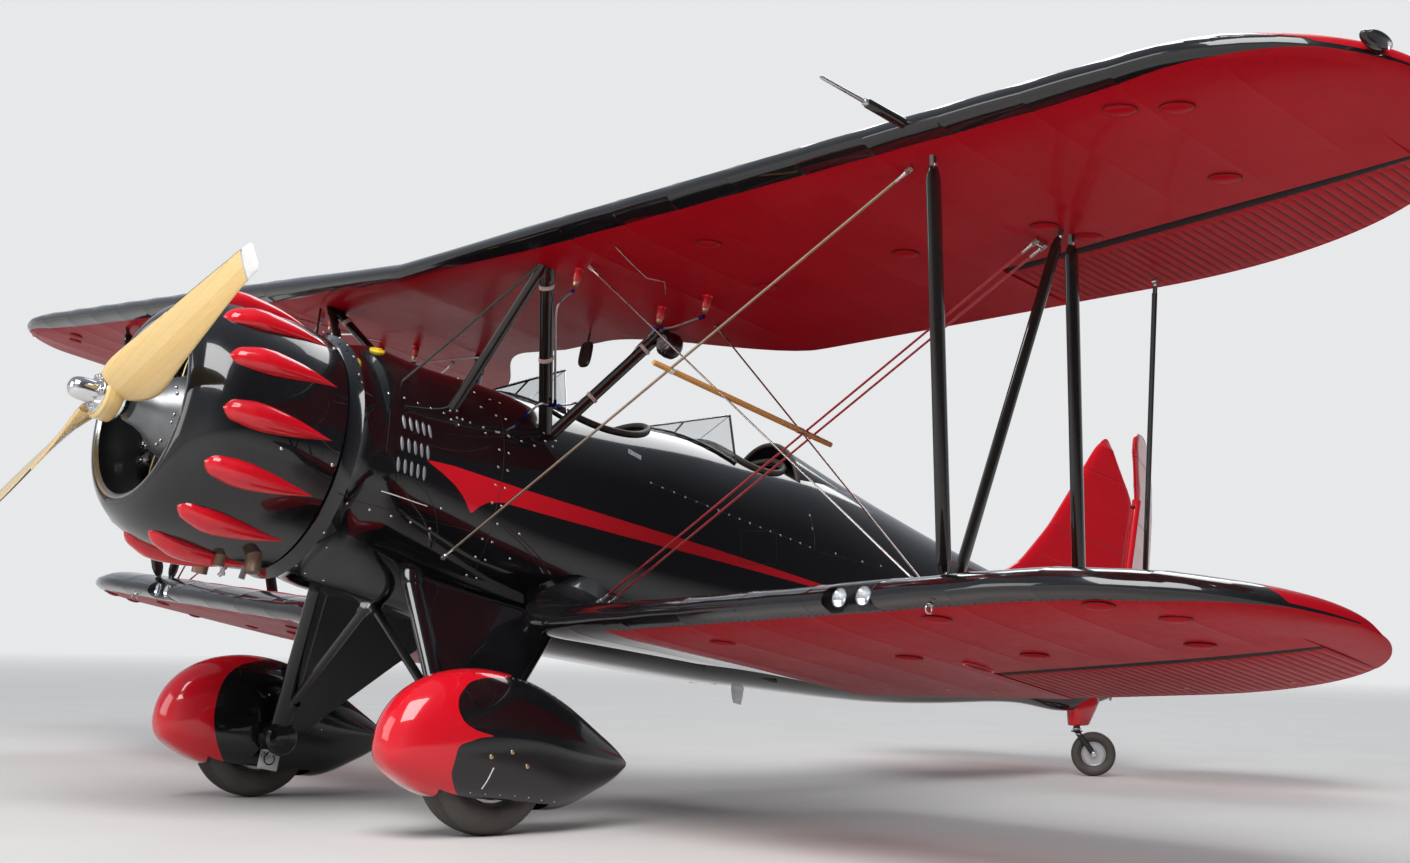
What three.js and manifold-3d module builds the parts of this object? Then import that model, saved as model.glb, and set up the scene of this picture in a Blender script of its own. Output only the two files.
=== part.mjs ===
// A two-cockpit biplane with a radial engine, parked on its main wheels and tailwheel.
// Millimetres. The airframe is drawn level (x to port, y aft, z up, origin between the main tyre
// contacts) and then set down on its three wheels, nose up.
import * as THREE from "three";
import { mergeVertices } from "three/addons/utils/BufferGeometryUtils.js";
import Module from "manifold-3d";

const wasm = await Module();
wasm.setup();

const rad = THREE.MathUtils.degToRad;

// Driving dimensions
const SEAT_GAP = 0.3;
const MOVING_GAP = 6;
const PIN_GAP = 0.5;
const PARKED_PITCH = rad(11.8);

const WING_CHORD = 1448;
const WING_THICKNESS = 0.117;
const UPPER_SPAN = 9144;
const LOWER_SPAN = 8180;
const UPPER_WING = { lead: -400, z: 2233, dihedral: rad(2.6), tip: UPPER_SPAN / 2, tipAt: 0.4,
  roundLead: 3900, roundTrail: 3000, inboard: 452 };
const LOWER_WING = { lead: 105, z: 745, dihedral: rad(3.9), tip: LOWER_SPAN / 2, tipAt: 0.55,
  roundLead: 3150, roundTrail: 3000, inboard: 330 };
const CUTOUT = { trail: 580, flat: 300, full: 1230 };
// The root of the lower wing: where its edges start to curve in, the chord left at the inner
// station, how far the leading edge sweeps back, and how far the section rises to meet the body
const ROOT = { inner: 500, trailFrom: 1275, trailInner: 775, leadFrom: 950, sweep: 300, rise: 120,
  crestFrom: 720, crest: 110, twistFrom: 2440, twistLength: 1440, twist: 55 };

// Aileron hinge lines: where the inner and outer ends lie along the span and behind the leading edge
const UPPER_AILERON = { inner: 2560, hingeInner: 1088, outer: 4290, hingeOuter: 900 };
const LOWER_AILERON = { inner: 2440, hingeInner: 1010, outer: 3870, hingeOuter: 880 };

const THRUST_Z = 1380;
const PROPELLER = { y: -1515, angle: rad(65) };
const COWL = { back: -730, radius: 527, mouth: 350, lip: 494, sides: 24, bumps: 14 };
const ENGINE = { y: -1030, cylinders: 7, case: 195, reach: 480, bore: 80 };

const TRACK = 1833;
const TYRE_RADIUS = 275;
const TYRE_WIDTH = 190;
const AXLE_RADIUS = 32;
const TAIL_TYRE = { radius: 127, swivel: rad(-50), trail: 95 };

const TAIL = { hingeY: 4925, hingeZ: 1800, rudderRest: rad(25) };

const COLOURS = {
  black: { color: 0x0b0b0c, roughness: 0.15, metalness: 0 },
  red: { color: 0xb00c1c, roughness: 0.2, metalness: 0 },
  brightRed: { color: 0xe01220, roughness: 0.2, metalness: 0 },
  tyre: { color: 0x3a3634, roughness: 0.85, metalness: 0 },
  wood: { color: 0xd9ae4e, roughness: 0.3, metalness: 0 },
  steel: { color: 0xb9bcc0, roughness: 0.3, metalness: 1 },
  darkSteel: { color: 0x4a4a4c, roughness: 0.5, metalness: 0.8 },
  exhaust: { color: 0x8f7256, roughness: 0.6, metalness: 0.7 },
  glass: { color: 0xdfe8ea, roughness: 0.05, metalness: 0, transparent: true, opacity: 0.35 },
  leather: { color: 0x241a16, roughness: 0.6, metalness: 0 },
  wireTan: { color: 0x9a8468, roughness: 0.4, metalness: 0.5 },
};

// Solids and geometry

function solid(geometry) {
  const bare = geometry.clone();
  bare.deleteAttribute("normal");
  bare.deleteAttribute("uv");
  const merged = mergeVertices(bare, 1e-3);
  const index = merged.index
    ? merged.index.array
    : Uint32Array.from({ length: merged.attributes.position.count }, (_, i) => i);
  return new wasm.Manifold(new wasm.Mesh({
    numProp: 3,
    vertProperties: Float32Array.from(merged.attributes.position.array),
    triVerts: Uint32Array.from(index),
  }));
}

function geometryOf(shape) {
  const pieces = shape.decompose();
  const largest = pieces.reduce((a, b) => (b.volume() > a.volume() ? b : a));
  const mesh = largest.getMesh();
  const geometry = new THREE.BufferGeometry();
  geometry.setAttribute("position", new THREE.BufferAttribute(Float32Array.from(mesh.vertProperties), 3));
  geometry.setIndex(new THREE.BufferAttribute(Uint32Array.from(mesh.triVerts), 1));
  return geometry;
}

function signedVolume(points, triangles) {
  const cross = new THREE.Vector3();
  return triangles.reduce((sum, [a, b, c]) => (
    sum + points[a].dot(cross.crossVectors(points[b], points[c]))
  ), 0);
}

// A closed solid through rings of equal point counts, each ring a list of Vector3
function loft(rings) {
  const count = rings[0].length;
  const points = rings.flat();
  const triangles = [];
  for (let r = 0; r < rings.length - 1; r += 1) {
    for (let i = 0; i < count; i += 1) {
      const a = r * count + i;
      const b = r * count + ((i + 1) % count);
      triangles.push([a, b, b + count], [a, b + count, a + count]);
    }
  }
  [0, rings.length - 1].forEach((r) => {
    const centre = points.length;
    const middle = rings[r].reduce((sum, p) => sum.add(p), new THREE.Vector3());
    points.push(middle.divideScalar(count));
    for (let i = 0; i < count; i += 1) {
      const a = r * count + i;
      const b = r * count + ((i + 1) % count);
      triangles.push(r === 0 ? [centre, b, a] : [centre, a, b]);
    }
  });
  if (signedVolume(points, triangles) < 0) {
    triangles.forEach((t) => t.reverse());
  }
  const geometry = new THREE.BufferGeometry();
  const places = points.flatMap((p) => p.toArray());
  geometry.setAttribute("position", new THREE.Float32BufferAttribute(places, 3));
  geometry.setIndex(triangles.flat());
  return solid(geometry);
}

function box(size, centre) {
  return solid(new THREE.BoxGeometry(...size).translate(...centre));
}

function vector(x, y, z) {
  return new THREE.Vector3(x, y, z);
}

// A straight rod of elliptic section between two points; the long side of the section points aft
function strut(from, to, width, chord, sides = 10) {
  const along = to.clone().sub(from).normalize();
  const aft = vector(0, 1, 0).addScaledVector(along, -along.y).normalize();
  const across = vector(0, 0, 0).crossVectors(along, aft);
  return loft([from, to].map((end) => (
    Array.from({ length: sides }, (_, i) => {
      const turn = (2 * Math.PI * i) / sides;
      return end.clone()
        .addScaledVector(aft, (chord / 2) * Math.cos(turn))
        .addScaledVector(across, (width / 2) * Math.sin(turn));
    })
  )));
}

// A round rod whose radius changes evenly from one end to the other
function taperedRod(from, to, radiusFrom, radiusTo, sides) {
  const along = to.clone().sub(from).normalize();
  const aside = Math.abs(along.z) < 0.9 ? vector(0, 0, 1) : vector(0, 1, 0);
  const u = aside.clone().addScaledVector(along, -aside.dot(along)).normalize();
  const v = vector(0, 0, 0).crossVectors(along, u);
  return loft([[from, radiusFrom], [to, radiusTo]].map(([centre, radius]) => (
    Array.from({ length: sides }, (_, i) => {
      const turn = (2 * Math.PI * i) / sides;
      return centre.clone()
        .addScaledVector(u, radius * Math.cos(turn))
        .addScaledVector(v, radius * Math.sin(turn));
    })
  )));
}

function rod(from, to, radius, sides = 8) {
  return taperedRod(from, to, radius, radius, sides);
}

// A turned solid whose axis lies along y, from a profile of [radius, y] pairs
function turned(profile, sides) {
  const points = profile.map(([r, y]) => new THREE.Vector2(r, y));
  return solid(new THREE.LatheGeometry(points, sides));
}

function mirrored(shape) {
  return shape.mirror([1, 0, 0]);
}

function union(shapes) {
  return shapes.reduce((a, b) => a.add(b));
}

function at(shape, x, y, z) {
  return shape.translate([x, y, z]);
}

// Radius of a faceted hole that a round pin of the given radius turns freely in
function holeRadius(pinRadius, sides) {
  return pinRadius / Math.cos(Math.PI / sides) + PIN_GAP;
}

// Model tree

const biplane = new THREE.Group();
const airframe = new THREE.Group();
airframe.rotation.x = -PARKED_PITCH;
biplane.add(airframe);

function piece(name, shape, colour, parent = airframe) {
  const mesh = new THREE.Mesh(geometryOf(shape), new THREE.MeshStandardMaterial(COLOURS[colour]));
  mesh.name = name;
  parent.add(mesh);
  return mesh;
}

function pivot(x, y, z, parent = airframe) {
  const group = new THREE.Group();
  group.position.set(x, y, z);
  parent.add(group);
  return group;
}

const SIDES = [{ name: "left", sign: 1 }, { name: "right", sign: -1 }];

function sided(shape, side) {
  return side.sign > 0 ? shape : mirrored(shape);
}

// Wings

// Flat-bottomed section: heights above and below the flat line at a fraction of the chord
function sectionTop(f) {
  const bulge = 0.2969 * Math.sqrt(f) - 0.126 * f - 0.3516 * f ** 2 + 0.2843 * f ** 3 - 0.1036 * f ** 4;
  return 0.3 * WING_THICKNESS * (1 - f) + 7.9 * WING_THICKNESS * bulge;
}

function sectionBottom(f) {
  const noseLength = 0.25;
  return f < noseLength ? 0.3 * WING_THICKNESS * (1 - Math.sqrt(f / noseLength)) ** 2 : 0;
}

const SECTION_TOP_STOPS = [1, 0.8, 0.6, 0.35, 0.18, 0.07, 0.015];
const SECTION_BOTTOM_STOPS = [0, 0.03, 0.12, 0.3, 0.65, 1];
const TRAILING_EDGE_HALF = 3;

// How far the leading edge has curved in at the lower wing's root, 0 to 1
function rootShare(wing, x) {
  const t = (ROOT.leadFrom - x) / (ROOT.leadFrom - ROOT.inner);
  return wing === LOWER_WING ? THREE.MathUtils.clamp(t, 0, 1) : 0;
}

// The leading and trailing edges of a wing panel, measured aft from its leading edge line
function wingEdges(wing, x) {
  const rounding = (start) => {
    const t = Math.min(Math.max((x - start) / (wing.tip - start), 0), 1);
    return 1 - Math.sqrt(1 - t * t);
  };
  const lead = wing.tipAt * WING_CHORD * rounding(wing.roundLead);
  let trail = WING_CHORD - (1 - wing.tipAt) * WING_CHORD * rounding(wing.roundTrail);
  if (wing === UPPER_WING && x < CUTOUT.full) {
    const t = THREE.MathUtils.clamp((x - CUTOUT.flat) / (CUTOUT.full - CUTOUT.flat), 0, 1);
    const cut = CUTOUT.trail - UPPER_WING.lead;
    trail = cut + (WING_CHORD - cut) * THREE.MathUtils.smoothstep(t, 0, 1);
  }
  if (wing === LOWER_WING && x < ROOT.trailFrom) {
    const s = THREE.MathUtils.clamp((x - ROOT.inner) / (ROOT.trailFrom - ROOT.inner), 0, 1);
    trail = ROOT.trailInner + (WING_CHORD - ROOT.trailInner) * (1 - Math.sqrt(1 - s ** 2.6));
  }
  return { lead: lead + ROOT.sweep * (1 - Math.sqrt(1 - rootShare(wing, x) ** 2)), trail };
}

function wingRing(wing, x, grow) {
  const { lead, trail } = wingEdges(wing, x);
  const chord = trail - lead;
  const lower = wing === LOWER_WING;
  const fullness = lower && x < ROOT.trailFrom ? 0.2 : 0.75;
  const depth = Math.min(1, Math.max(chord / WING_CHORD, 0.08)) ** fullness * WING_CHORD;
  const lift = 0.035 * (WING_CHORD - depth) + ROOT.rise * rootShare(wing, x) ** 2;
  const washout = lower
    ? ROOT.twist * THREE.MathUtils.clamp((ROOT.twistFrom - x) / ROOT.twistLength, 0, 1.15) : 0;
  const crest = lower
    ? ROOT.crest * THREE.MathUtils.clamp((ROOT.crestFrom - x) / (ROOT.crestFrom - ROOT.inner), 0, 1) ** 2
    : 0;
  const point = (f, height) => (
    vector(x, lead - grow + f * (chord + 2 * grow), height + washout * f));
  const top = SECTION_TOP_STOPS.map((f) => (
    point(f, lift + Math.max(sectionTop(f) * depth, TRAILING_EDGE_HALF * 2) + grow
      + crest * Math.max(Math.sin(Math.PI * f), 0) ** 0.8)
  ));
  const bottom = SECTION_BOTTOM_STOPS.map((f) => point(f, lift + sectionBottom(f) * depth - grow));
  return [...top, ...bottom];
}

// The whole panel from one station to the tip, in its own frame: x along the span, y aft of the
// leading edge line
function wingBlank(wing, from, to, grow = 0) {
  const tipStops = [0.35, 0.6, 0.78, 0.9, 0.965, 0.995].map((t) => (
    wing.roundTrail + t * (wing.tip - wing.roundTrail)));
  const cutStops = wing === UPPER_WING ? [0, 0.2, 0.4, 0.6, 0.8, 1].map((t) => (
    CUTOUT.flat + t * (CUTOUT.full - CUTOUT.flat)))
    : [500, 560, 640, 730, 830, 950, 1100, 1190, 1240, 1262, ROOT.trailFrom];
  const stops = [from, ...cutStops, wing.roundTrail, ...tipStops, to]
    .filter((x) => x >= from && x <= to)
    .sort((a, b) => a - b)
    .filter((x, i, all) => i === 0 || x - all[i - 1] > 15);
  return loft(stops.map((x) => wingRing(wing, x, grow)));
}

// A vertical prism over a plan outline of [x, y] corners
function prism(corners, low, high) {
  return loft([low, high].map((z) => corners.map(([x, y]) => vector(x, y, z))));
}

// Height of the middle of the section, and its depth, at a point of the panel's plan
function sectionAt(wing, x, y) {
  const ring = wingRing(wing, x, 0);
  const sample = (points) => {
    const sorted = [...points].sort((p, q) => p.y - q.y);
    const next = Math.max(sorted.findIndex((p) => p.y >= y), 1);
    const [p, q] = [sorted[next - 1], sorted[next]];
    return p.z + ((q.z - p.z) * (y - p.y)) / (q.y - p.y);
  };
  const top = sample(ring.slice(0, SECTION_TOP_STOPS.length));
  const bottom = sample(ring.slice(SECTION_TOP_STOPS.length));
  return { middle: (top + bottom) / 2, depth: top - bottom, top, bottom };
}

const NOSE_SHARE = 0.42;
const AILERON_PIN = 9;
const PIN_LENGTH = 34;

function aileronShapes(wing, aileron) {
  const inner = sectionAt(wing, aileron.inner, aileron.hingeInner);
  const outer = sectionAt(wing, aileron.outer, aileron.hingeOuter);
  const hingeIn = vector(aileron.inner, aileron.hingeInner, inner.middle);
  const hingeOut = vector(aileron.outer, aileron.hingeOuter, outer.middle);
  const along = hingeOut.clone().sub(hingeIn).normalize();
  const onHinge = (distance) => hingeIn.clone().addScaledVector(along, distance);
  const length = hingeOut.distanceTo(hingeIn);
  const far = 900;
  const behind = (start, end, shift) => prism([
    [onHinge(start).x, onHinge(start).y + shift],
    [onHinge(end).x, onHinge(end).y + shift],
    [onHinge(end).x, onHinge(end).y + far],
    [onHinge(start).x, onHinge(start).y + far],
  ], -200, 400);
  const blank = wingBlank(wing, aileron.inner - 60, wing.tip - 4);
  const noseRadius = NOSE_SHARE * inner.depth;
  const nose = taperedRod(hingeIn, hingeOut, noseRadius, NOSE_SHARE * outer.depth, 12);
  const pin = rod(onHinge(-PIN_LENGTH), onHinge(length / 2), AILERON_PIN);
  const pinHole = rod(onHinge(-PIN_LENGTH - 1), onHinge(1), holeRadius(AILERON_PIN, 8));
  const body = blank.intersect(behind(0, length, 0)).add(nose).add(pin);
  const bay = behind(-MOVING_GAP, length + MOVING_GAP, -noseRadius - MOVING_GAP);
  return { body, bay, pinHole, hingeIn, along };
}

// Link rods join the upper and lower ailerons at the same lever behind both hinges
const LINK = { upperX: 3050, lowerX: 2890, lever: 290, radius: 9, eye: 10, eyeWidth: 20, ear: 7,
  upperDrop: 30, lowerRise: 16, upperSlack: 8, lowerSlack: 4, pin: 4 };

// Two ears on an aileron's skin at the end of a link rod, and the place of its eye. The lower pair
// holds a pin through the eye.
function linkEars(wing, parts, x, level) {
  const hingeY = parts.hingeIn.y + ((x - parts.hingeIn.x) * parts.along.y) / parts.along.x;
  const y = hingeY + LINK.lever;
  const section = sectionAt(wing, x, y);
  const upper = level === "upper";
  const eyeZ = upper ? section.bottom - LINK.upperDrop : section.top + LINK.lowerRise;
  const slack = LINK.eyeWidth / 2 + (upper ? LINK.upperSlack : LINK.lowerSlack);
  const low = upper ? eyeZ - 12 : section.middle;
  const high = upper ? section.middle : eyeZ + 12;
  const ears = [-1, 1].map((sign) => box(
    [LINK.ear, 30, high - low], [x + sign * (slack + LINK.ear / 2), y, (high + low) / 2],
  ));
  const eye = vector(x, y, eyeZ);
  const reach = slack + LINK.ear - 1;
  const pin = rod(eye.clone().addScaledVector(parts.along, -reach),
    eye.clone().addScaledVector(parts.along, reach), LINK.pin);
  return { ears: union(upper ? ears : [...ears, pin]), eye };
}

const upperAileron = aileronShapes(UPPER_WING, UPPER_AILERON);
const lowerAileron = aileronShapes(LOWER_WING, LOWER_AILERON);
const upperEars = linkEars(UPPER_WING, upperAileron, LINK.upperX, "upper");
const lowerEars = linkEars(LOWER_WING, lowerAileron, LINK.lowerX, "lower");

function wingFrame(wing, sign) {
  const frame = pivot(0, wing.lead, wing.z);
  frame.rotation.y = -sign * wing.dihedral;
  return frame;
}

// Carries a shape from a wing panel's own frame into the airframe
function settled(shape, wing) {
  return shape.rotate([0, -THREE.MathUtils.radToDeg(wing.dihedral), 0]).translate([0, wing.lead, wing.z]);
}

const upperPanel = wingBlank(UPPER_WING, UPPER_WING.inboard, UPPER_WING.tip - 4)
  .subtract(upperAileron.bay)
  .subtract(upperAileron.pinHole);
const lowerPanel = wingBlank(LOWER_WING, LOWER_WING.inboard, LOWER_WING.tip - 4)
  .subtract(lowerAileron.bay)
  .subtract(lowerAileron.pinHole);

// Fuselage

// Sections along the body: y, half width, top, side, bottom, squareness above and below
const BODY_SECTIONS = [
  [-540, 512, 1906, 1380, 872, 2.0, 2.0],
  [-340, 505, 1915, 1380, 862, 2.05, 2.1],
  [0, 478, 1923, 1385, 854, 2.1, 2.4],
  [400, 466, 1940, 1390, 844, 2.1, 2.7],
  [800, 462, 1978, 1400, 851, 2.1, 2.9],
  [1200, 458, 2030, 1410, 876, 2.1, 3.0],
  [1650, 446, 2060, 1430, 908, 2.1, 3.0],
  [2050, 428, 2090, 1450, 950, 2.1, 3.0],
  [2400, 396, 2080, 1480, 988, 2.1, 3.0],
  [2950, 322, 2020, 1530, 1062, 2.1, 2.9],
  [3600, 222, 1955, 1580, 1190, 2.1, 2.7],
  [4200, 132, 1905, 1610, 1296, 2.1, 2.5],
  [4560, 82, 1878, 1620, 1334, 2.1, 2.4],
  [4720, 60, 1866, 1625, 1392, 2.1, 2.4],
  [4890, 34, 1850, 1630, 1466, 2.1, 2.4],
];
const BODY_SIDES = 24;

function bodyRing([y, half, top, side, bottom, squareTop, squareBottom], grow) {
  return Array.from({ length: BODY_SIDES }, (_, i) => {
    const turn = (2 * Math.PI * i) / BODY_SIDES;
    const c = Math.cos(turn);
    const s = Math.sin(turn);
    const power = 2 / (s > 0 ? squareTop : squareBottom);
    const rise = s > 0 ? top - side + grow : side - bottom + grow;
    return vector(
      (half + grow) * Math.sign(c) * Math.abs(c) ** power,
      y,
      side + rise * Math.sign(s) * Math.abs(s) ** power,
    );
  });
}

function bodyAt(y) {
  const next = BODY_SECTIONS.findIndex((row) => row[0] >= y);
  const [a, b] = [BODY_SECTIONS[Math.max(next - 1, 0)], BODY_SECTIONS[next]];
  const t = a === b ? 0 : (y - a[0]) / (b[0] - a[0]);
  return a.map((value, i) => value + t * (b[i] - value));
}

function bodyBlank(from, to, grow = 0) {
  const inner = BODY_SECTIONS.filter((row) => row[0] > from + 1 && row[0] < to - 1);
  return loft([bodyAt(from), ...inner, bodyAt(to)].map((row) => bodyRing(row, grow)));
}

const FIREWALL_Y = 60;
const WALL = 32;
// The two cockpit openings: centre, half length, half width
const COCKPITS = [
  { name: "front", y: 770, length: 290, width: 262, seatY: 830 },
  { name: "rear", y: 1690, length: 245, width: 262, seatY: 1720 },
];

function ovalPrism({ y, length, width }, low, high) {
  const corners = Array.from({ length: 20 }, (_, i) => {
    const turn = (2 * Math.PI * i) / 20;
    return [
      width * Math.sign(Math.cos(turn)) * Math.abs(Math.cos(turn)) ** 0.8,
      y + length * Math.sign(Math.sin(turn)) * Math.abs(Math.sin(turn)) ** 0.8,
    ];
  });
  return prism(corners, low, high);
}

const bodyOuter = bodyBlank(FIREWALL_Y, 4890);
const bodyGrown = bodyBlank(-540, 4890, SEAT_GAP + 0.2);
const cabinHollow = bodyBlank(FIREWALL_Y + 90, 2260, -WALL);
const cabinClear = bodyBlank(FIREWALL_Y + 91, 2259, -WALL - SEAT_GAP);
// The raised deck behind the rear cockpit: y, half width, base, crest
const HEADREST_SECTIONS = [
  [1937, 268, 1850, 2178],
  [2400, 240, 1830, 2100],
  [2900, 192, 1800, 2034],
  [3680, 90, 1760, 1950],
];
const headrest = loft(HEADREST_SECTIONS.map(([y, half, base, crest]) => (
  Array.from({ length: 16 }, (_, i) => {
    const turn = (2 * Math.PI * i) / 16;
    const rise = Math.sin(turn) > 0 ? crest - base : 100;
    return vector(half * Math.cos(turn), y, base + rise * Math.sin(turn));
  })
)));

// Tail surfaces: plan outlines of [x, y] corners, thickness tapering to the edges
function plate(outline, thickness, axis, grow = 0) {
  const shape = new THREE.Shape(outline.map(([u, v]) => new THREE.Vector2(u, v)));
  const geometry = new THREE.ExtrudeGeometry(shape, {
    depth: thickness * 0.3, bevelEnabled: true, bevelThickness: thickness * 0.35,
    bevelSize: thickness * 0.5, bevelOffset: grow - thickness * 0.5, bevelSegments: 1,
  });
  geometry.translate(0, 0, -thickness * 0.15);
  if (axis === "x") {
    geometry.rotateX(Math.PI / 2);
    geometry.rotateZ(Math.PI / 2);
  }
  return solid(geometry);
}

const FIN_OUTLINE = [
  [3700, 1900], [3950, 2075], [4150, 2330], [4330, 2640], [4470, 2890], [4545, 2976],
  [4596, 2964], [4895, 2655], [4895, 1850], [4300, 1850],
];
// The rudder about its hinge line: distance aft of the hinge, height
const RUDDER_OUTLINE = [
  [20, 1507], [260, 1540], [470, 1650], [590, 1850], [625, 2120], [590, 2400], [490, 2680],
  [330, 2900], [120, 3045], [-60, 3075], [-230, 3050], [-300, 2985], [20, 2660],
];
const STABILISER_OUTLINE = [
  [0, 3960], [420, 3985], [1150, 4120], [1500, 4270], [1640, 4460], [1660, 4640], [1600, 4712],
  [-1600, 4712], [-1660, 4640], [-1640, 4460], [-1500, 4270], [-1150, 4120], [-420, 3985],
];
// An elevator about its hinge line: along the span, distance aft of the hinge
const ELEVATOR_OUTLINE = [
  [80, 0], [1615, 0], [1640, 90], [1560, 260], [1330, 400], [1000, 450], [430, 440],
];
const ELEVATOR_HINGE_Y = 4750;
const TAIL_NOSE = 24;
const TAIL_PLATE = 56;

// Landing gear

const WHEEL = {
  x: TRACK / 2,
  y: -TYRE_RADIUS * Math.sin(PARKED_PITCH),
  z: TYRE_RADIUS * Math.cos(PARKED_PITCH),
};
// Wheel fairing sections along the body: y, half width, low, high
const FAIRING_SECTIONS = [
  [-548, 22, 262, 322],
  [-522, 78, 195, 402],
  [-440, 128, 140, 498],
  [-300, 162, 102, 588],
  [-100, 180, 108, 632],
  [110, 172, 128, 612],
  [300, 136, 150, 556],
  [480, 80, 238, 482],
  [600, 30, 330, 424],
  [638, 8, 374, 400],
];
const WELL_RADIUS = TYRE_RADIUS + 13;
const WELL_HALF = TYRE_WIDTH / 2 + 17;
const LEG_INNER = 700;
const LEG_TOP = vector(352, -205, 985);
const LEG_FOOT = vector(LEG_INNER - 8, WHEEL.y, WHEEL.z + 10);

function acrossRod(x0, x1, y, z, radius, sides = 12) {
  return taperedRod(vector(x0, y, z), vector(x1, y, z), radius, radius, sides);
}

function wheelFairing() {
  const skin = loft(FAIRING_SECTIONS.map(([y, half, low, high]) => (
    Array.from({ length: 16 }, (_, i) => {
      const turn = (2 * Math.PI * i) / 16;
      const c = Math.cos(turn);
      const s = Math.sin(turn);
      const power = s < 0 ? 2 / 3 : 1;
      return vector(
        WHEEL.x + half * Math.sign(c) * Math.abs(c) ** power,
        y,
        (low + high) / 2 + ((high - low) / 2) * Math.sign(s) * Math.abs(s) ** power,
      );
    })
  )));
  const well = acrossRod(WHEEL.x - WELL_HALF, WHEEL.x + WELL_HALF, WHEEL.y, WHEEL.z, WELL_RADIUS, 20);
  const axleHole = acrossRod(LEG_INNER, WHEEL.x, WHEEL.y, WHEEL.z, AXLE_RADIUS + SEAT_GAP);
  const fairing = skin.subtract(well).subtract(axleHole);
  return { skin, fairing };
}

// The tyre and hub: radius, distance from the wheel's middle plane
const WHEEL_PROFILE = [
  [AXLE_RADIUS + PIN_GAP, -70], [125, -58], [205, -95], [250, -78], [271, -40], [275, 0],
  [271, 40], [250, 78], [205, 95], [125, 58], [AXLE_RADIUS + PIN_GAP, 70], [AXLE_RADIUS + PIN_GAP, -70],
];

function tyred(profile, sides) {
  const along = solid(new THREE.LatheGeometry(
    profile.map(([r, w]) => new THREE.Vector2(r, w)), sides,
  ));
  return along.rotate([0, 0, 90]);
}

// Fuselage pieces

const stabiliserSkin = plate(STABILISER_OUTLINE, TAIL_PLATE, "z");
const stabiliserSlot = at(plate(STABILISER_OUTLINE, TAIL_PLATE + 2 * SEAT_GAP, "z", 2 * SEAT_GAP),
  0, 0, TAIL.hingeZ);
const TORQUE_TUBE = 12;
const elevatorHole = acrossRod(-90, 90, ELEVATOR_HINGE_Y, TAIL.hingeZ, holeRadius(TORQUE_TUBE, 12));
const RUDDER_PIN = 8;
const bearingSize = [32, 80, 14];
const bearingPlace = [0, TAIL.hingeY - 20, 1480];
const rudderBearing = box(bearingSize, bearingPlace)
  .subtract(rod(vector(0, TAIL.hingeY, 1400), vector(0, TAIL.hingeY, 1560),
    holeRadius(RUDDER_PIN, 12), 12));

const fuselage = COCKPITS.reduce(
  (body, cockpit) => body.subtract(ovalPrism(cockpit, 1620, 2300)),
  bodyOuter.add(headrest).subtract(cabinHollow),
).subtract(stabiliserSlot).subtract(elevatorHole).add(rudderBearing);
piece("fuselage", fuselage, "black");

const COLLAR_FRONT = COWL.back - 30;
const collar = turned([
  [0, COLLAR_FRONT], [COWL.lip - SEAT_GAP, COLLAR_FRONT], [COWL.lip - SEAT_GAP, COWL.back + SEAT_GAP],
  [503, COWL.back + SEAT_GAP], [508, -640], [510, -520], [0, -520],
], COWL.sides);
const accessoryCowl = bodyBlank(-540, FIREWALL_Y - SEAT_GAP).add(at(collar, 0, 0, THRUST_Z));
piece("accessory_cowl", accessoryCowl, "black");

// Exhaust pipes: out of the front wall of the accessory cowl and down through the cowl's lower side
const EXHAUST = { x: 205, z: 975, elbowY: -850, outX: 225, outY: -845, outZ: 830, radius: 34 };

function exhaustPipe(radius) {
  const start = vector(EXHAUST.x, COLLAR_FRONT + 30, EXHAUST.z);
  const elbow = vector(EXHAUST.x, EXHAUST.elbowY, EXHAUST.z);
  const bend = vector(EXHAUST.x, EXHAUST.elbowY + radius / 2, EXHAUST.z + radius / 2);
  const outlet = vector(EXHAUST.outX, EXHAUST.outY, EXHAUST.outZ);
  return rod(start, elbow, radius, 10).add(rod(bend, outlet, radius, 10));
}

const frontWall = at(turned([
  [0, COLLAR_FRONT - SEAT_GAP], [700, COLLAR_FRONT - SEAT_GAP], [700, 0], [0, 0],
], 28), 0, 0, THRUST_Z);
SIDES.forEach((side) => {
  piece(`exhaust_${side.name}`, sided(exhaustPipe(EXHAUST.radius), side).subtract(frontWall), "exhaust");
});
const exhaustHoles = SIDES.map((side) => sided(exhaustPipe(EXHAUST.radius + 12), side));

// Cowl wall: radius, y, round the outside from the mouth to the back and home along the inside
const COWL_PROFILE = [
  [COWL.mouth, -1355], [366, -1368], [398, -1364], [442, -1330], [487, -1262], [520, -1150],
  [COWL.radius, -950], [506, COWL.back], [COWL.lip, COWL.back], [COWL.lip, COLLAR_FRONT - 5],
  [515, -950], [508, -1150], [475, -1256], [430, -1318], [COWL.mouth, -1355],
];
// A cowl bump: y, the cowl's outer radius there, share of the full width and height
const BUMP_SECTIONS = [
  [-1252, 489.8, 0.36],
  [-1208, 502.9, 0.84],
  [-1150, 520, 1],
  [-950, COWL.radius, 0.62],
  [-784, 511.2, 0.04],
];
const BUMP = { half: 54, height: 44, sunk: 7 };

// A teardrop bump lying on the cowl's side, round at the front and drawn out to a point behind
function cowlBump() {
  return loft(BUMP_SECTIONS.map(([y, radius, size]) => (
    [1, 0.7, 0, -0.7, -1].map((across) => vector(
      BUMP.half * size * across,
      y,
      radius - BUMP.sunk + (BUMP.height * size + BUMP.sunk) * Math.sqrt(1 - across ** 2),
    ))
  )));
}

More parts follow.
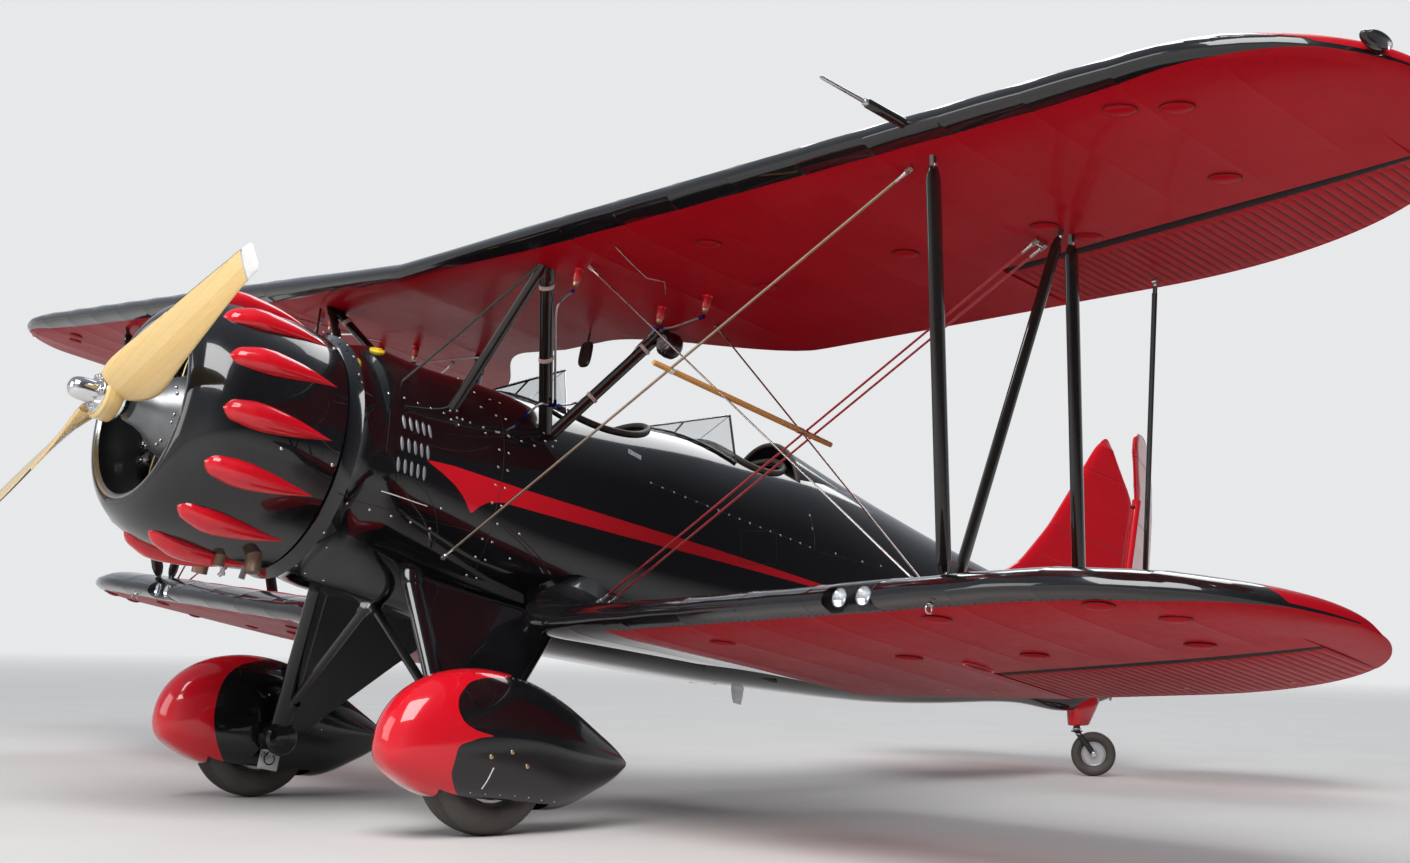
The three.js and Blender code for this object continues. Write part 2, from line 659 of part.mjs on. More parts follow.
const bumps = Array.from({ length: COWL.bumps }, (_, i) => (
  cowlBump().rotate([0, ((i + 0.5) * 360) / COWL.bumps, 0])
));
const cowling = turned(COWL_PROFILE, COWL.sides).add(union(bumps));
piece("engine_cowling",
  exhaustHoles.reduce((shape, hole) => shape.subtract(hole), at(cowling, 0, 0, THRUST_Z)), "black");

const SHAFT = 30;
const CRANKCASE_PROFILE = [
  [0, -1481], [SHAFT, -1481], [SHAFT, -1425], [70, -1415], [95, -1340], [150, -1270], [ENGINE.case, -1160],
  [ENGINE.case, -900], [230, -880], [230, COLLAR_FRONT - SEAT_GAP], [0, COLLAR_FRONT - SEAT_GAP],
];
const engine = Array.from({ length: ENGINE.cylinders }, (_, i) => (
  taperedRod(vector(0, ENGINE.y, 100), vector(0, ENGINE.y, ENGINE.reach), ENGINE.bore, ENGINE.bore - 8, 10)
    .rotate([0, (i * 360) / ENGINE.cylinders, 0])
)).reduce((a, b) => a.add(b), turned(CRANKCASE_PROFILE, 16));
piece("engine", at(engine, 0, 0, THRUST_Z), "darkSteel");

// Propeller

const BOSS = { half: 36, radius: 98 };
// Blade sections: distance from the hub, chord, thickness, pitch in degrees,
// and how far the section lies towards its trailing edge
const BLADE_SECTIONS = [
  [60, 150, 66, 58, 0],
  [140, 200, 62, 50, 10],
  [213, 225, 56, 45, 20],
  [405, 210, 42, 35, 18],
  [580, 187, 30, 28, 10],
  [770, 160, 21, 23, 2],
  [950, 130, 14, 19, -4],
  [1050, 118, 10, 17, -4],
  [1074, 112, 8, 17, -4],
  [1085, 84, 6, 17, -4],
];

function blade() {
  return loft(BLADE_SECTIONS.map(([r, chord, thickness, pitch, sweep]) => {
    const lead = vector(0, -Math.sin(rad(pitch)), Math.cos(rad(pitch)));
    const face = vector(0, Math.cos(rad(pitch)), Math.sin(rad(pitch)));
    return Array.from({ length: 10 }, (_, i) => {
      const turn = (2 * Math.PI * i) / 10;
      return vector(r, 0, 0)
        .addScaledVector(lead, (chord / 2) * Math.cos(turn) - sweep)
        .addScaledVector(face, (thickness / 2) * Math.sin(turn));
    });
  }));
}

const hubTube = 42;
const propellerPivot = pivot(0, PROPELLER.y, THRUST_Z);
const boss = turned([
  [hubTube + SEAT_GAP, -BOSS.half], [BOSS.radius, -BOSS.half], [BOSS.radius, BOSS.half],
  [hubTube + SEAT_GAP, BOSS.half], [hubTube + SEAT_GAP, -BOSS.half],
], 18);
// Room in the blades for the hub's tube and its two plates
const PLATE_ROOM = 92;
const hubRoom = turned([
  [0, -120], [PLATE_ROOM, -120], [PLATE_ROOM, -BOSS.half], [hubTube + SEAT_GAP, -BOSS.half],
  [hubTube + SEAT_GAP, BOSS.half], [PLATE_ROOM, BOSS.half], [PLATE_ROOM, 120], [0, 120],
], 18);
const blades = union([blade(), blade().rotate([0, 180, 0])]).subtract(hubRoom).add(boss);
propellerPivot.rotation.y = -(Math.PI / 2 - PROPELLER.angle);
piece("propeller", blades, "wood", propellerPivot);
const hub = turned([
  [0, -160], [20, -157], [34, -145], [42, -125], [46, -95], [46, -48], [80, -46],
  [80, -BOSS.half - SEAT_GAP],
  [hubTube, -BOSS.half - SEAT_GAP], [hubTube, BOSS.half + SEAT_GAP], [88, BOSS.half + SEAT_GAP],
  [88, 48], [52, 52], [52, 82], [holeRadius(SHAFT, 18), 82], [holeRadius(SHAFT, 18), 20], [0, 20],
], 18);
piece("propeller_hub", hub, "steel", propellerPivot);

// Wings, ailerons and their struts

// Both panels of a wing, grown by the seat gap
function grownWings(wing, from) {
  const blank = settled(wingBlank(wing, from, wing.tip - 4, SEAT_GAP), wing);
  return SIDES.map((side) => sided(blank, side));
}
const upperGrown = grownWings(UPPER_WING, 0.01);
const lowerGrown = grownWings(LOWER_WING, LOWER_WING.inboard);

const centreHalf = settled(wingBlank(UPPER_WING, 0.01, UPPER_WING.inboard - SEAT_GAP), UPPER_WING);
const centreCap = box([60, 200, 40], [0, 40, UPPER_WING.z + 70]);
piece("upper_wing_centre", union([centreHalf, mirrored(centreHalf), centreCap]), "red");

SIDES.forEach((side, i) => {
  piece(`upper_wing_${side.name}`, sided(settled(upperPanel, UPPER_WING), side), "red");
  piece(`lower_wing_${side.name}`,
    sided(settled(lowerPanel, LOWER_WING), side).subtract(bodyGrown), "red");
  const levels = [[UPPER_WING, upperAileron, "upper"], [LOWER_WING, lowerAileron, "lower"]];
  levels.forEach(([wing, parts, level]) => {
    const hinge = parts.hingeIn.clone();
    const frame = wingFrame(wing, side.sign);
    const local = pivot(side.sign * hinge.x, hinge.y, hinge.z, frame);
    const ears = level === "upper" ? upperEars : lowerEars;
    const shape = parts.body.add(ears.ears).translate([-hinge.x, -hinge.y, -hinge.z]);
    piece(`aileron_${level}_${side.name}`, sided(shape, side), "red", local);
  });
});

const SPARS = { front: 0.106, rear: 0.614 };

function flatToBody(wing, point) {
  return point.clone().applyAxisAngle(vector(0, 1, 0), -wing.dihedral).add(vector(0, wing.lead, wing.z));
}

function onWing(wing, x, fraction, height) {
  return flatToBody(wing, vector(x, fraction * WING_CHORD, height));
}

function betweenWings(shape, i) {
  return shape.subtract(upperGrown[i]).subtract(lowerGrown[i]);
}

const STRUT = { width: 32, chord: 68 };
const DIAGONAL = { width: 26, chord: 54 };
const BAY = { upper: 3000, lower: 2890 };

SIDES.forEach((side, i) => {
  const members = {
    front: [onWing(LOWER_WING, BAY.lower, SPARS.front, 90), onWing(UPPER_WING, BAY.upper, SPARS.front, 60)],
    rear: [onWing(LOWER_WING, BAY.lower, SPARS.rear, 60), onWing(UPPER_WING, BAY.upper, SPARS.rear, 50)],
  };
  Object.entries(members).forEach(([name, [low, high]]) => {
    const member = sided(strut(low, high, STRUT.width, STRUT.chord), side);
    piece(`interplane_strut_${name}_${side.name}`, betweenWings(member, i), "black");
  });
  const low = onWing(LOWER_WING, BAY.lower, SPARS.front + 0.046, 100);
  const high = onWing(UPPER_WING, BAY.upper, SPARS.rear - 0.046, 20);
  const diagonal = sided(strut(low, high, DIAGONAL.width, DIAGONAL.chord), side);
  piece(`interplane_strut_diagonal_${side.name}`, betweenWings(diagonal, i), "black");
});

// Aileron links, drawn about the eye at the lower aileron
const eyeLow = flatToBody(LOWER_WING, lowerEars.eye);
const eyeHigh = flatToBody(UPPER_WING, upperEars.eye);
const pinAlong = lowerAileron.along.clone().applyAxisAngle(vector(0, 1, 0), -LOWER_WING.dihedral);
SIDES.forEach((side) => {
  const reach = eyeHigh.clone().sub(eyeLow);
  const half = vector(LINK.eyeWidth / 2, 0, 0);
  const link = union([
    rod(vector(0, 0, 0), reach, LINK.radius),
    rod(half.clone().negate(), half, LINK.eye),
    rod(reach.clone().sub(half), reach.clone().add(half), LINK.eye),
  ]).subtract(rod(pinAlong.clone().multiplyScalar(-LINK.eyeWidth),
    pinAlong.clone().multiplyScalar(LINK.eyeWidth), holeRadius(LINK.pin, 8)));
  const frame = pivot(side.sign * eyeLow.x, eyeLow.y, eyeLow.z);
  piece(`aileron_link_${side.name}`, sided(link, side), "black", frame);
});

// Cabane: the feet on the body and the tops under the upper wing's spars
const CABANE_TOP = { x: 855, fraction: 0.14 };
const CABANE_REAR_TOP = { x: 715, fraction: 0.69 };
SIDES.forEach((side, i) => {
  const top = onWing(UPPER_WING, CABANE_TOP.x, CABANE_TOP.fraction, 40);
  const rearTop = onWing(UPPER_WING, CABANE_REAR_TOP.x, CABANE_REAR_TOP.fraction, 40);
  const foot = vector(350, 318, 1740);
  const frontFoot = vector(385, -205, 1680);
  const members = [
    strut(foot, top, 34, 62),
    strut(frontFoot, top, 28, 52),
    strut(foot.clone().add(vector(0, 26, 0)), rearTop, 34, 60),
  ];
  const cabane = sided(union(members), side).subtract(bodyGrown).subtract(upperGrown[i]);
  piece(`cabane_struts_${side.name}`, cabane, "black");
});

// Wires: a flying wire and a pair from the lower body up to the bay, two landing wires from the
// cabane down to the foot of the front strut, and a wooden rod that holds all of them apart
const WIRE = 5;
const PAIR_SPREAD = vector(0, 46, 0);
const WIRE_ENDS = {
  flyingFront: [vector(440, -150, 1046), onWing(UPPER_WING, BAY.upper - 75, SPARS.front + 0.02, 20)],
  flyingRear: [vector(455, 560, 930), onWing(UPPER_WING, BAY.upper - 75, SPARS.rear - 0.02, 20)],
  landingFront: [onWing(UPPER_WING, 1020, 0.188, 20),
    onWing(LOWER_WING, BAY.lower - 90, SPARS.front + 0.02, 90)],
  landingRear: [onWing(UPPER_WING, 972, 0.71, 20),
    onWing(LOWER_WING, BAY.lower - 90, SPARS.front + 0.04, 90)],
};

// Where two wires cross as seen from ahead, halfway between them
function crossing([a, b], [c, d]) {
  const slope = (p, q) => (q.z - p.z) / (q.x - p.x);
  const x = (c.z - a.z + slope(a, b) * a.x - slope(c, d) * c.x) / (slope(a, b) - slope(c, d));
  return vector(x, 0, a.z + slope(a, b) * (x - a.x));
}

function wireSet(grow) {
  const line = ([from, to], shift = vector(0, 0, 0)) => (
    rod(from.clone().add(shift), to.clone().add(shift), WIRE + grow, 6)
  );
  const { flyingFront, flyingRear, landingFront, landingRear } = WIRE_ENDS;
  const tie = flyingRear[0].clone().lerp(flyingRear[1], 0.975);
  return {
    flying_wire_front: line(flyingFront),
    flying_wires_rear: union([
      line(flyingRear), line(flyingRear, PAIR_SPREAD), rod(tie, tie.clone().add(PAIR_SPREAD), WIRE, 6),
    ]),
    landing_wires: union([
      line(landingFront), line(landingRear),
      rod(landingFront[1].clone().lerp(landingFront[0], 0.04),
        landingRear[1].clone().lerp(landingRear[0], 0.04), WIRE + 3, 6),
    ]),
  };
}

const frontCrossing = crossing(WIRE_ENDS.flyingFront, WIRE_ENDS.landingFront).setY(-180);
const rearCrossing = crossing(WIRE_ENDS.flyingRear, WIRE_ENDS.landingRear).setY(500);
const SPREADER_RADIUS = 12;
SIDES.forEach((side, i) => {
  Object.entries(wireSet(0)).forEach(([name, shape]) => {
    const cut = betweenWings(sided(shape, side).subtract(bodyGrown), i);
    piece(`${name}_${side.name}`, cut, name === "flying_wires_rear" ? "red" : "wireTan");
  });
  const spreader = rod(
    frontCrossing.clone().lerp(rearCrossing, -0.12),
    frontCrossing.clone().lerp(rearCrossing, 1.22), SPREADER_RADIUS,
  );
  const notched = Object.values(wireSet(SEAT_GAP)).reduce((a, b) => a.subtract(b), spreader);
  piece(`wire_spreader_${side.name}`, sided(notched, side), "wood");
});

// Windshields: a vee of two panes from a tip on the deck up to a peak
const WINDSHIELDS = [
  { name: "front", tip: [240, 1950], peak: [600, 2160], half: 285, side: [480, 1830] },
  { name: "rear", tip: [1094, 2022], peak: [1634, 2250], half: 280, side: [1515, 1890] },
];
WINDSHIELDS.forEach(({ name, tip, peak, half, side }) => {
  const pane = (shift) => {
    const [front, middle, foot] = [tip[0] + shift, peak[0] + shift, side[0] + shift];
    return loft([
      [vector(0, front, tip[1] - 60), vector(0.5, front, tip[1] - 60), vector(0, front, tip[1] - 59)],
      [vector(-half, foot, side[1]), vector(half, foot, side[1]), vector(0, middle, peak[1])],
    ]);
  };
  piece(`windshield_${name}`, pane(0).subtract(pane(14)).subtract(bodyGrown), "glass");
});

// A solid pulled across the body, as wide as given, from a side outline of [y, z] corners
function acrossBody(outline, width) {
  const shape = new THREE.Shape(outline.map(([y, z]) => new THREE.Vector2(y, z)));
  const geometry = new THREE.ExtrudeGeometry(shape, { depth: width, bevelEnabled: false });
  geometry.translate(0, 0, -width / 2).rotateX(Math.PI / 2).rotateZ(Math.PI / 2);
  return solid(geometry);
}

COCKPITS.forEach(({ name, seatY, width }) => {
  const floor = bodyAt(seatY)[4];
  const pan = acrossBody([
    [seatY - 260, 1235], [seatY - 270, 1305], [seatY + 90, 1285], [seatY + 190, 1700],
    [seatY + 250, 1700], [seatY + 160, 1220],
  ], width * 1.45);
  const stand = acrossBody([
    [seatY - 120, 1250], [seatY + 60, 1250], [seatY + 60, floor], [seatY - 120, floor],
  ], 200);
  piece(`seat_${name}`, pan.add(stand).intersect(cabinClear), "leather");
});

// Landing gear pieces
SIDES.forEach((side, i) => {
  const { skin, fairing } = wheelFairing();
  piece(`wheel_fairing_${side.name}`, sided(fairing, side), "brightRed");
  const front = strut(LEG_TOP, LEG_FOOT, 62, 100, 12);
  const thickness = 8;
  const corners = [LEG_TOP, vector(395, 560, 960), vector(640, 190, 500), vector(668, 60, 330), LEG_FOOT];
  const panel = loft([-thickness, thickness].map((shift) => corners.map((p) => (
    p.clone().add(vector(shift * 0.86, 0, shift * 0.5))
  ))));
  const knuckle = acrossRod(LEG_INNER - 60, LEG_INNER + 34, WHEEL.y, WHEEL.z, 78, 16);
  const axle = acrossRod(LEG_INNER, WHEEL.x + 92, WHEEL.y, WHEEL.z, AXLE_RADIUS);
  const leg = sided(union([front, panel, knuckle]).subtract(skin).add(axle), side);
  piece(`gear_leg_${side.name}`, leg.subtract(bodyGrown).subtract(lowerGrown[i]), "black");
  const hubPivot = pivot(side.sign * WHEEL.x, WHEEL.y, WHEEL.z);
  piece(`wheel_${side.name}`, sided(tyred(WHEEL_PROFILE, 24), side), "tyre", hubPivot);
});

// Inner braces from the keel to both legs
SIDES.forEach((side) => {
  const brace = rod(vector(16, -150, 868), vector(640, WHEEL.y - 10, 400), 21);
  const legSkin = strut(LEG_TOP, LEG_FOOT, 64, 102, 12);
  piece(`gear_brace_${side.name}`, sided(brace.subtract(legSkin), side).subtract(bodyGrown), "black");
});

// Tail
const tailPivot = pivot(0, TAIL.hingeY, 0);
const fin = plate(FIN_OUTLINE, 60, "x").subtract(bodyGrown).subtract(stabiliserSlot);
const hornSwing = rod(vector(0, TAIL.hingeY, 1300), vector(0, TAIL.hingeY, 3200), 34 + MOVING_GAP, 16);
piece("fin", fin.subtract(hornSwing), "brightRed");
const rudder = plate(RUDDER_OUTLINE, 50, "x");
const rudderPost = rod(vector(0, 0, 1499), vector(0, 0, 2690), 28, 12);
const rudderPin = rod(vector(0, 0, 1465), vector(0, 0, 1513), RUDDER_PIN, 12);
const rudderMesh = piece("rudder", union([rudder, rudderPost, rudderPin]), "brightRed", tailPivot);
rudderMesh.rotation.z = TAIL.rudderRest;

piece("stabiliser", at(plate(STABILISER_OUTLINE, TAIL_PLATE, "z"), 0, 0, TAIL.hingeZ), "brightRed");
SIDES.forEach((side) => {
  const outline = plate(ELEVATOR_OUTLINE, TAIL_PLATE - 8, "z");
  const nose = acrossRod(80, 1600, 0, 0, TAIL_NOSE, 12);
  const tube = acrossRod(12, 120, 0, 0, TORQUE_TUBE);
  const frame = pivot(0, ELEVATOR_HINGE_Y, TAIL.hingeZ);
  piece(`elevator_${side.name}`, sided(union([outline, nose, tube]), side), "brightRed", frame);
  const tailStrut = sided(strut(vector(60, 4300, 1440), vector(980, 4420, TAIL.hingeZ), 20, 40, 8), side)
    .subtract(bodyGrown)
    .subtract(stabiliserSlot);
  piece(`tail_strut_${side.name}`, tailStrut, "black");
});

// Tailwheel: the fork turns on an upright stem under a fairing, the wheel trails behind the stem
const FORK = { y: 4809, top: 262, halfWidth: 52, stem: 20, stemTop: 335 };
// The fairing in the parked frame: height, front, back, half width
const TAIL_FAIRING_SECTIONS = [
  [452, 4762, 4984, 46],
  [418, 4745, 4984, 55],
  [360, 4746, 4945, 50],
  [286, 4750, 4899, 40],
];
const tailFairing = loft(TAIL_FAIRING_SECTIONS.map(([z, front, back, half]) => (
  Array.from({ length: 16 }, (_, i) => {
    const turn = (2 * Math.PI * i) / 16;
    return vector(half * Math.cos(turn), (front + back) / 2 + ((back - front) / 2) * Math.sin(turn), z);
  })
)));

function toParked(shape) {
  return shape.rotate([-THREE.MathUtils.radToDeg(PARKED_PITCH), 0, 0]);
}

const stemHole = rod(vector(0, FORK.y, 0), vector(0, FORK.y, FORK.stemTop + 1),
  holeRadius(FORK.stem, 12), 12);
const forkPlateRoom = rod(vector(0, FORK.y, 0), vector(0, FORK.y, FORK.top + 5), 90, 12);
const fairingBlank = tailFairing.subtract(toParked(bodyGrown));
piece("tailwheel_fairing", fairingBlank.subtract(stemHole).subtract(forkPlateRoom), "brightRed", biplane);

const swivel = pivot(0, FORK.y, 0, biplane);
swivel.rotation.z = TAIL_TYRE.swivel;
const arms = SIDES.map((side) => strut(
  vector(side.sign * (FORK.halfWidth + 6), 0, FORK.top - 14),
  vector(side.sign * (FORK.halfWidth + 6), TAIL_TYRE.trail, TAIL_TYRE.radius), 12, 34, 8,
));
const crown = box([2 * FORK.halfWidth + 24, 60, 14], [0, 0, FORK.top - 8]);
const stem = rod(vector(0, 0, FORK.top - 12), vector(0, 0, FORK.stemTop), FORK.stem, 12);
const tailAxle = acrossRod(-FORK.halfWidth - 12, FORK.halfWidth + 12, TAIL_TYRE.trail,
  TAIL_TYRE.radius, 12);
piece("tailwheel_fork", union([...arms, crown, stem, tailAxle]), "black", swivel);
const tailWheelPivot = pivot(0, TAIL_TYRE.trail, TAIL_TYRE.radius, swivel);
const TAIL_WHEEL_PROFILE = [
  [12 + PIN_GAP, -34], [62, -28], [95, -43], [120, -30], [127, 0], [120, 30], [95, 43], [62, 28],
  [12 + PIN_GAP, 34], [12 + PIN_GAP, -34],
];
piece("tailwheel", tyred(TAIL_WHEEL_PROFILE, 20), "tyre", tailWheelPivot);

// Pitot boom on the port upper wing's leading edge
const boomRoot = onWing(UPPER_WING, BAY.upper, 0.02, 62);
const boomShoulder = boomRoot.clone().add(vector(0, -200, 0));
const boomTip = boomRoot.clone().add(vector(0, -415, 0));
const boom = taperedRod(boomRoot, boomShoulder, 19, 16, 8).add(taperedRod(boomShoulder, boomTip, 8, 6, 8));
piece("pitot_boom", boom.subtract(upperGrown[0]), "black");

// The park position is measured from the middle of the whole outline on the ground
biplane.updateMatrixWorld(true);
const outline = new THREE.Box3().setFromObject(biplane, true);
const middle = outline.getCenter(new THREE.Vector3());
biplane.position.set(-middle.x, -middle.y, -outline.min.z);

export default biplane;
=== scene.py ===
"""Biplane with a radial engine: skins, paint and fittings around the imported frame."""

import math

import bmesh
import bpy
import numpy as np
from bpy.props import FloatProperty, FloatVectorProperty, IntProperty, PointerProperty
from mathutils import Matrix, Vector


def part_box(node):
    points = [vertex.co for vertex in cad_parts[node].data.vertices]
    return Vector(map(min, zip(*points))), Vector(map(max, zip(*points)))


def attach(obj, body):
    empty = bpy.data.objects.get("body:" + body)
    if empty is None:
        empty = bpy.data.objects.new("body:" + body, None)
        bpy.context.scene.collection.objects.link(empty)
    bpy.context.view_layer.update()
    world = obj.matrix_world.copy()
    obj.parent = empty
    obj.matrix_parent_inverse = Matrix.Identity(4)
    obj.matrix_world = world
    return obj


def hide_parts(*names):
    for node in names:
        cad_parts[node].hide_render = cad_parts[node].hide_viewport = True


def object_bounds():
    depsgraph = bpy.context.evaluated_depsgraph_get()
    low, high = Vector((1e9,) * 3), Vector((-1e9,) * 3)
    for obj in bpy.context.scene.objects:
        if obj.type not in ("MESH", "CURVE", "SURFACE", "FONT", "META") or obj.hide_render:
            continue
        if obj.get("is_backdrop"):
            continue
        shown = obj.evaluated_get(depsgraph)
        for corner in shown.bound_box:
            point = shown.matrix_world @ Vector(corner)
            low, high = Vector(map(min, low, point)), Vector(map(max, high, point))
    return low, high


bl_info = {
    "name": "Biplane",
    "version": (1, 0, 0),
    "blender": (4, 5, 0),
    "location": "View3D > Sidebar > Biplane",
    "description": "Skins, paint and fittings of a two-cockpit biplane",
    "category": "Object",
}

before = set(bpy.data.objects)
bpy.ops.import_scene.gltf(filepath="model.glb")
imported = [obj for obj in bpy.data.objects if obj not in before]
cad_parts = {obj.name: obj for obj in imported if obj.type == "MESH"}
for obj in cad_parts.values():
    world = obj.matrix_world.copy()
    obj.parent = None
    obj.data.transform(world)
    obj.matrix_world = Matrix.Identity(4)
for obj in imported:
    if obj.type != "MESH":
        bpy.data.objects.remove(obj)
CAD_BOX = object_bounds()

# The airframe is drawn level, in millimetres, x to port, y aft and z up, and parked nose-up
MM = 0.001
PARKED_PITCH = math.radians(11.8)


def clamp(value, low=0.0, high=1.0):
    return min(max(value, low), high)


def box_middle(node):
    low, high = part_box(node)
    return (Vector(low) + Vector(high)) / 2


GROUND = Matrix.Translation((0, box_middle("wheel_left").y, 0)) @ Matrix.Scale(MM, 4)
LEVEL = GROUND @ Matrix.Rotation(-PARKED_PITCH, 4, "X")

# Dimensions

CHORD = 1448
THICKNESS = 0.117
UPPER = {"lead": -400, "z": 2233, "dihedral": math.radians(2.6), "tip": 4568, "tip_at": 0.4,
         "round_lead": 3900, "round_trail": 3000, "inboard": 452}
LOWER = {"lead": 105, "z": 745, "dihedral": math.radians(3.9), "tip": 4086, "tip_at": 0.55,
         "round_lead": 3150, "round_trail": 3000, "inboard": 330}
CUTOUT = {"trail": 580, "flat": 300, "full": 1230}
# The lower wing's root: its edges curve in and its section rises to meet the body
ROOT = {"inner": 500, "trail_from": 1275, "trail_inner": 775, "lead_from": 950, "sweep": 300, "rise": 120,
        "crest_from": 720, "crest": 110, "twist_from": 2440, "twist_length": 1440, "twist": 55}
ROOT_BLACK = 1220
UPPER_AILERON = {"inner": 2560, "hinge_inner": 1088, "outer": 4290, "hinge_outer": 900}
LOWER_AILERON = {"inner": 2440, "hinge_inner": 1010, "outer": 3870, "hinge_outer": 880}
THRUST_Z = 1380
PROPELLER_Y = -1515
PROPELLER_ANGLE = math.radians(65)
WHEEL_X = 916.5
TYRE_RADIUS = 275
WHEEL_Y = -TYRE_RADIUS * math.sin(PARKED_PITCH)
WHEEL_Z = TYRE_RADIUS * math.cos(PARKED_PITCH)
HINGE_Y = 4925
HINGE_Z = 1800
ELEVATOR_Y = 4750
RUDDER_REST = math.radians(25)
FIREWALL_Y = 60
TAIL_Y = 4890

# Body sections: y, half width, top, side, bottom, squareness above and below
BODY_SECTIONS = [
    [-540, 512, 1906, 1380, 872, 2.0, 2.0],
    [-340, 505, 1915, 1380, 862, 2.05, 2.1],
    [0, 478, 1923, 1385, 854, 2.1, 2.4],
    [400, 466, 1940, 1390, 844, 2.1, 2.7],
    [800, 462, 1978, 1400, 851, 2.1, 2.9],
    [1200, 458, 2030, 1410, 876, 2.1, 3.0],
    [1650, 446, 2060, 1430, 908, 2.1, 3.0],
    [2050, 428, 2090, 1450, 950, 2.1, 3.0],
    [2400, 396, 2080, 1480, 988, 2.1, 3.0],
    [2950, 322, 2020, 1530, 1062, 2.1, 2.9],
    [3600, 222, 1955, 1580, 1190, 2.1, 2.7],
    [4200, 132, 1905, 1610, 1296, 2.1, 2.5],
    [4560, 82, 1878, 1620, 1334, 2.1, 2.4],
    [4720, 60, 1866, 1625, 1392, 2.1, 2.4],
    [4890, 34, 1850, 1630, 1466, 2.1, 2.4],
]
# The nose ahead of the firewall, round where it meets the cowl
NOSE_SECTIONS = [
    [-760, 488, 1868, 1380, 892, 2.0, 2.0],
    [-728, 490, 1870, 1380, 890, 2.0, 2.0],
    [-722, 502, 1882, 1380, 878, 2.0, 2.0],
    [-640, 508, 1890, 1380, 872, 2.0, 2.0],
    *BODY_SECTIONS[:3],
]
# The raised deck behind the rear cockpit: y, half width, base, crest
DECK_SECTIONS = [
    [1937, 268, 1850, 2178],
    [2400, 240, 1830, 2100],
    [2900, 192, 1800, 2034],
    [3680, 90, 1760, 1950],
]
# Cockpit openings: y of the centre, half length, half width
COCKPITS = {"front": (770, 290, 262), "rear": (1690, 245, 262)}

# Scene settings


class BiplaneColours(bpy.types.PropertyGroup):
    """Colours of the paint and trim"""
    black: FloatVectorProperty(name="Black", description="Gloss enamel of the body and struts",
                               default=(0.0045, 0.0045, 0.0055), subtype="COLOR", size=3)
    red: FloatVectorProperty(name="Red", description="Gloss enamel of the tail, stripe and fairings",
                             default=(0.62, 0.006, 0.016), subtype="COLOR", size=3)
    # The wings' red is set darker than the tail's: painted shade of the wings' undersides, on top of the
    # fabric's own red
    wing_red: FloatVectorProperty(name="Wing red", description="Doped fabric of the wings",
                                  default=(0.40, 0.004, 0.012), subtype="COLOR", size=3)
    wood: FloatVectorProperty(name="Wood", description="Varnished laminations of the propeller",
                              default=(0.78, 0.53, 0.19), subtype="COLOR", size=3)
    floor: FloatVectorProperty(name="Floor", description="Studio floor",
                               default=(0.62, 0.61, 0.59), subtype="COLOR", size=3)


class BiplaneSizes(bpy.types.PropertyGroup):
    """Sizes of the finer fittings"""
    rib_pitch: FloatProperty(name="Rib pitch", description="Distance between wing ribs",
                             default=0.33, min=0.1, unit="LENGTH")
    ridge_pitch: FloatProperty(name="Ridge pitch", description="Distance between aileron ridges",
                               default=0.042, min=0.02, unit="LENGTH")
    screw_radius: FloatProperty(name="Screw radius", description="Radius of a nose screw's head",
                                default=0.0064, min=0.001, unit="LENGTH")
    cylinders: IntProperty(name="Cylinders", description="Cylinders of the radial engine", default=7, min=3)
    lens: FloatProperty(name="Lens", description="Focal length on a 36 mm sensor", default=50.97)


def colours():
    return bpy.context.scene.biplane_colours


def sizes():
    return bpy.context.scene.biplane_sizes


# Shapes


class Shape:
    """Vertices, faces and a finish for each face"""
    def __init__(self, verts, faces, finish="black"):
        self.verts = np.asarray(verts, float).reshape(-1, 3)
        self.faces = [tuple(int(i) for i in f) for f in faces]
        self.finish = [finish] * len(self.faces) if isinstance(finish, str) else list(finish)

    def moved(self, matrix):
        m = np.array(matrix)
        return Shape(self.verts @ m[:3, :3].T + m[:3, 3], self.faces, self.finish)

    def shifted(self, x, y, z):
        return self.moved(Matrix.Translation((x, y, z)))

    def mirrored(self):
        return Shape(self.verts * (-1, 1, 1), [f[::-1] for f in self.faces], self.finish)

    def painted(self, finish):
        return Shape(self.verts, self.faces, finish)


def joined(shapes):
    verts, faces, finish, start = [], [], [], 0
    for shape in shapes:
        verts.append(shape.verts)
        faces += [tuple(i + start for i in f) for f in shape.faces]
        finish += shape.finish
        start += len(shape.verts)
    return Shape(np.vstack(verts), faces, finish)


def loft(rings, finish="black", closed=True, caps=(True, True), painter=None):
    """A skin through rings of equal point counts. painter(ring, point) names a face's finish."""
    rings = np.asarray(rings, float)
    count = rings.shape[1]
    faces, paint = [], []
    for r in range(len(rings) - 1):
        for i in range(count if closed else count - 1):
            j = (i + 1) % count
            faces.append((r * count + i, r * count + j, (r + 1) * count + j, (r + 1) * count + i))
            paint.append(painter(r, i) if painter else finish)
    for end, wanted in zip((0, len(rings) - 1), caps):
        if wanted:
            faces.append(tuple(range(end * count, (end + 1) * count)))
            paint.append(painter(max(end - 1, 0), 0) if painter else finish)
    return Shape(rings.reshape(-1, 3), faces, paint)


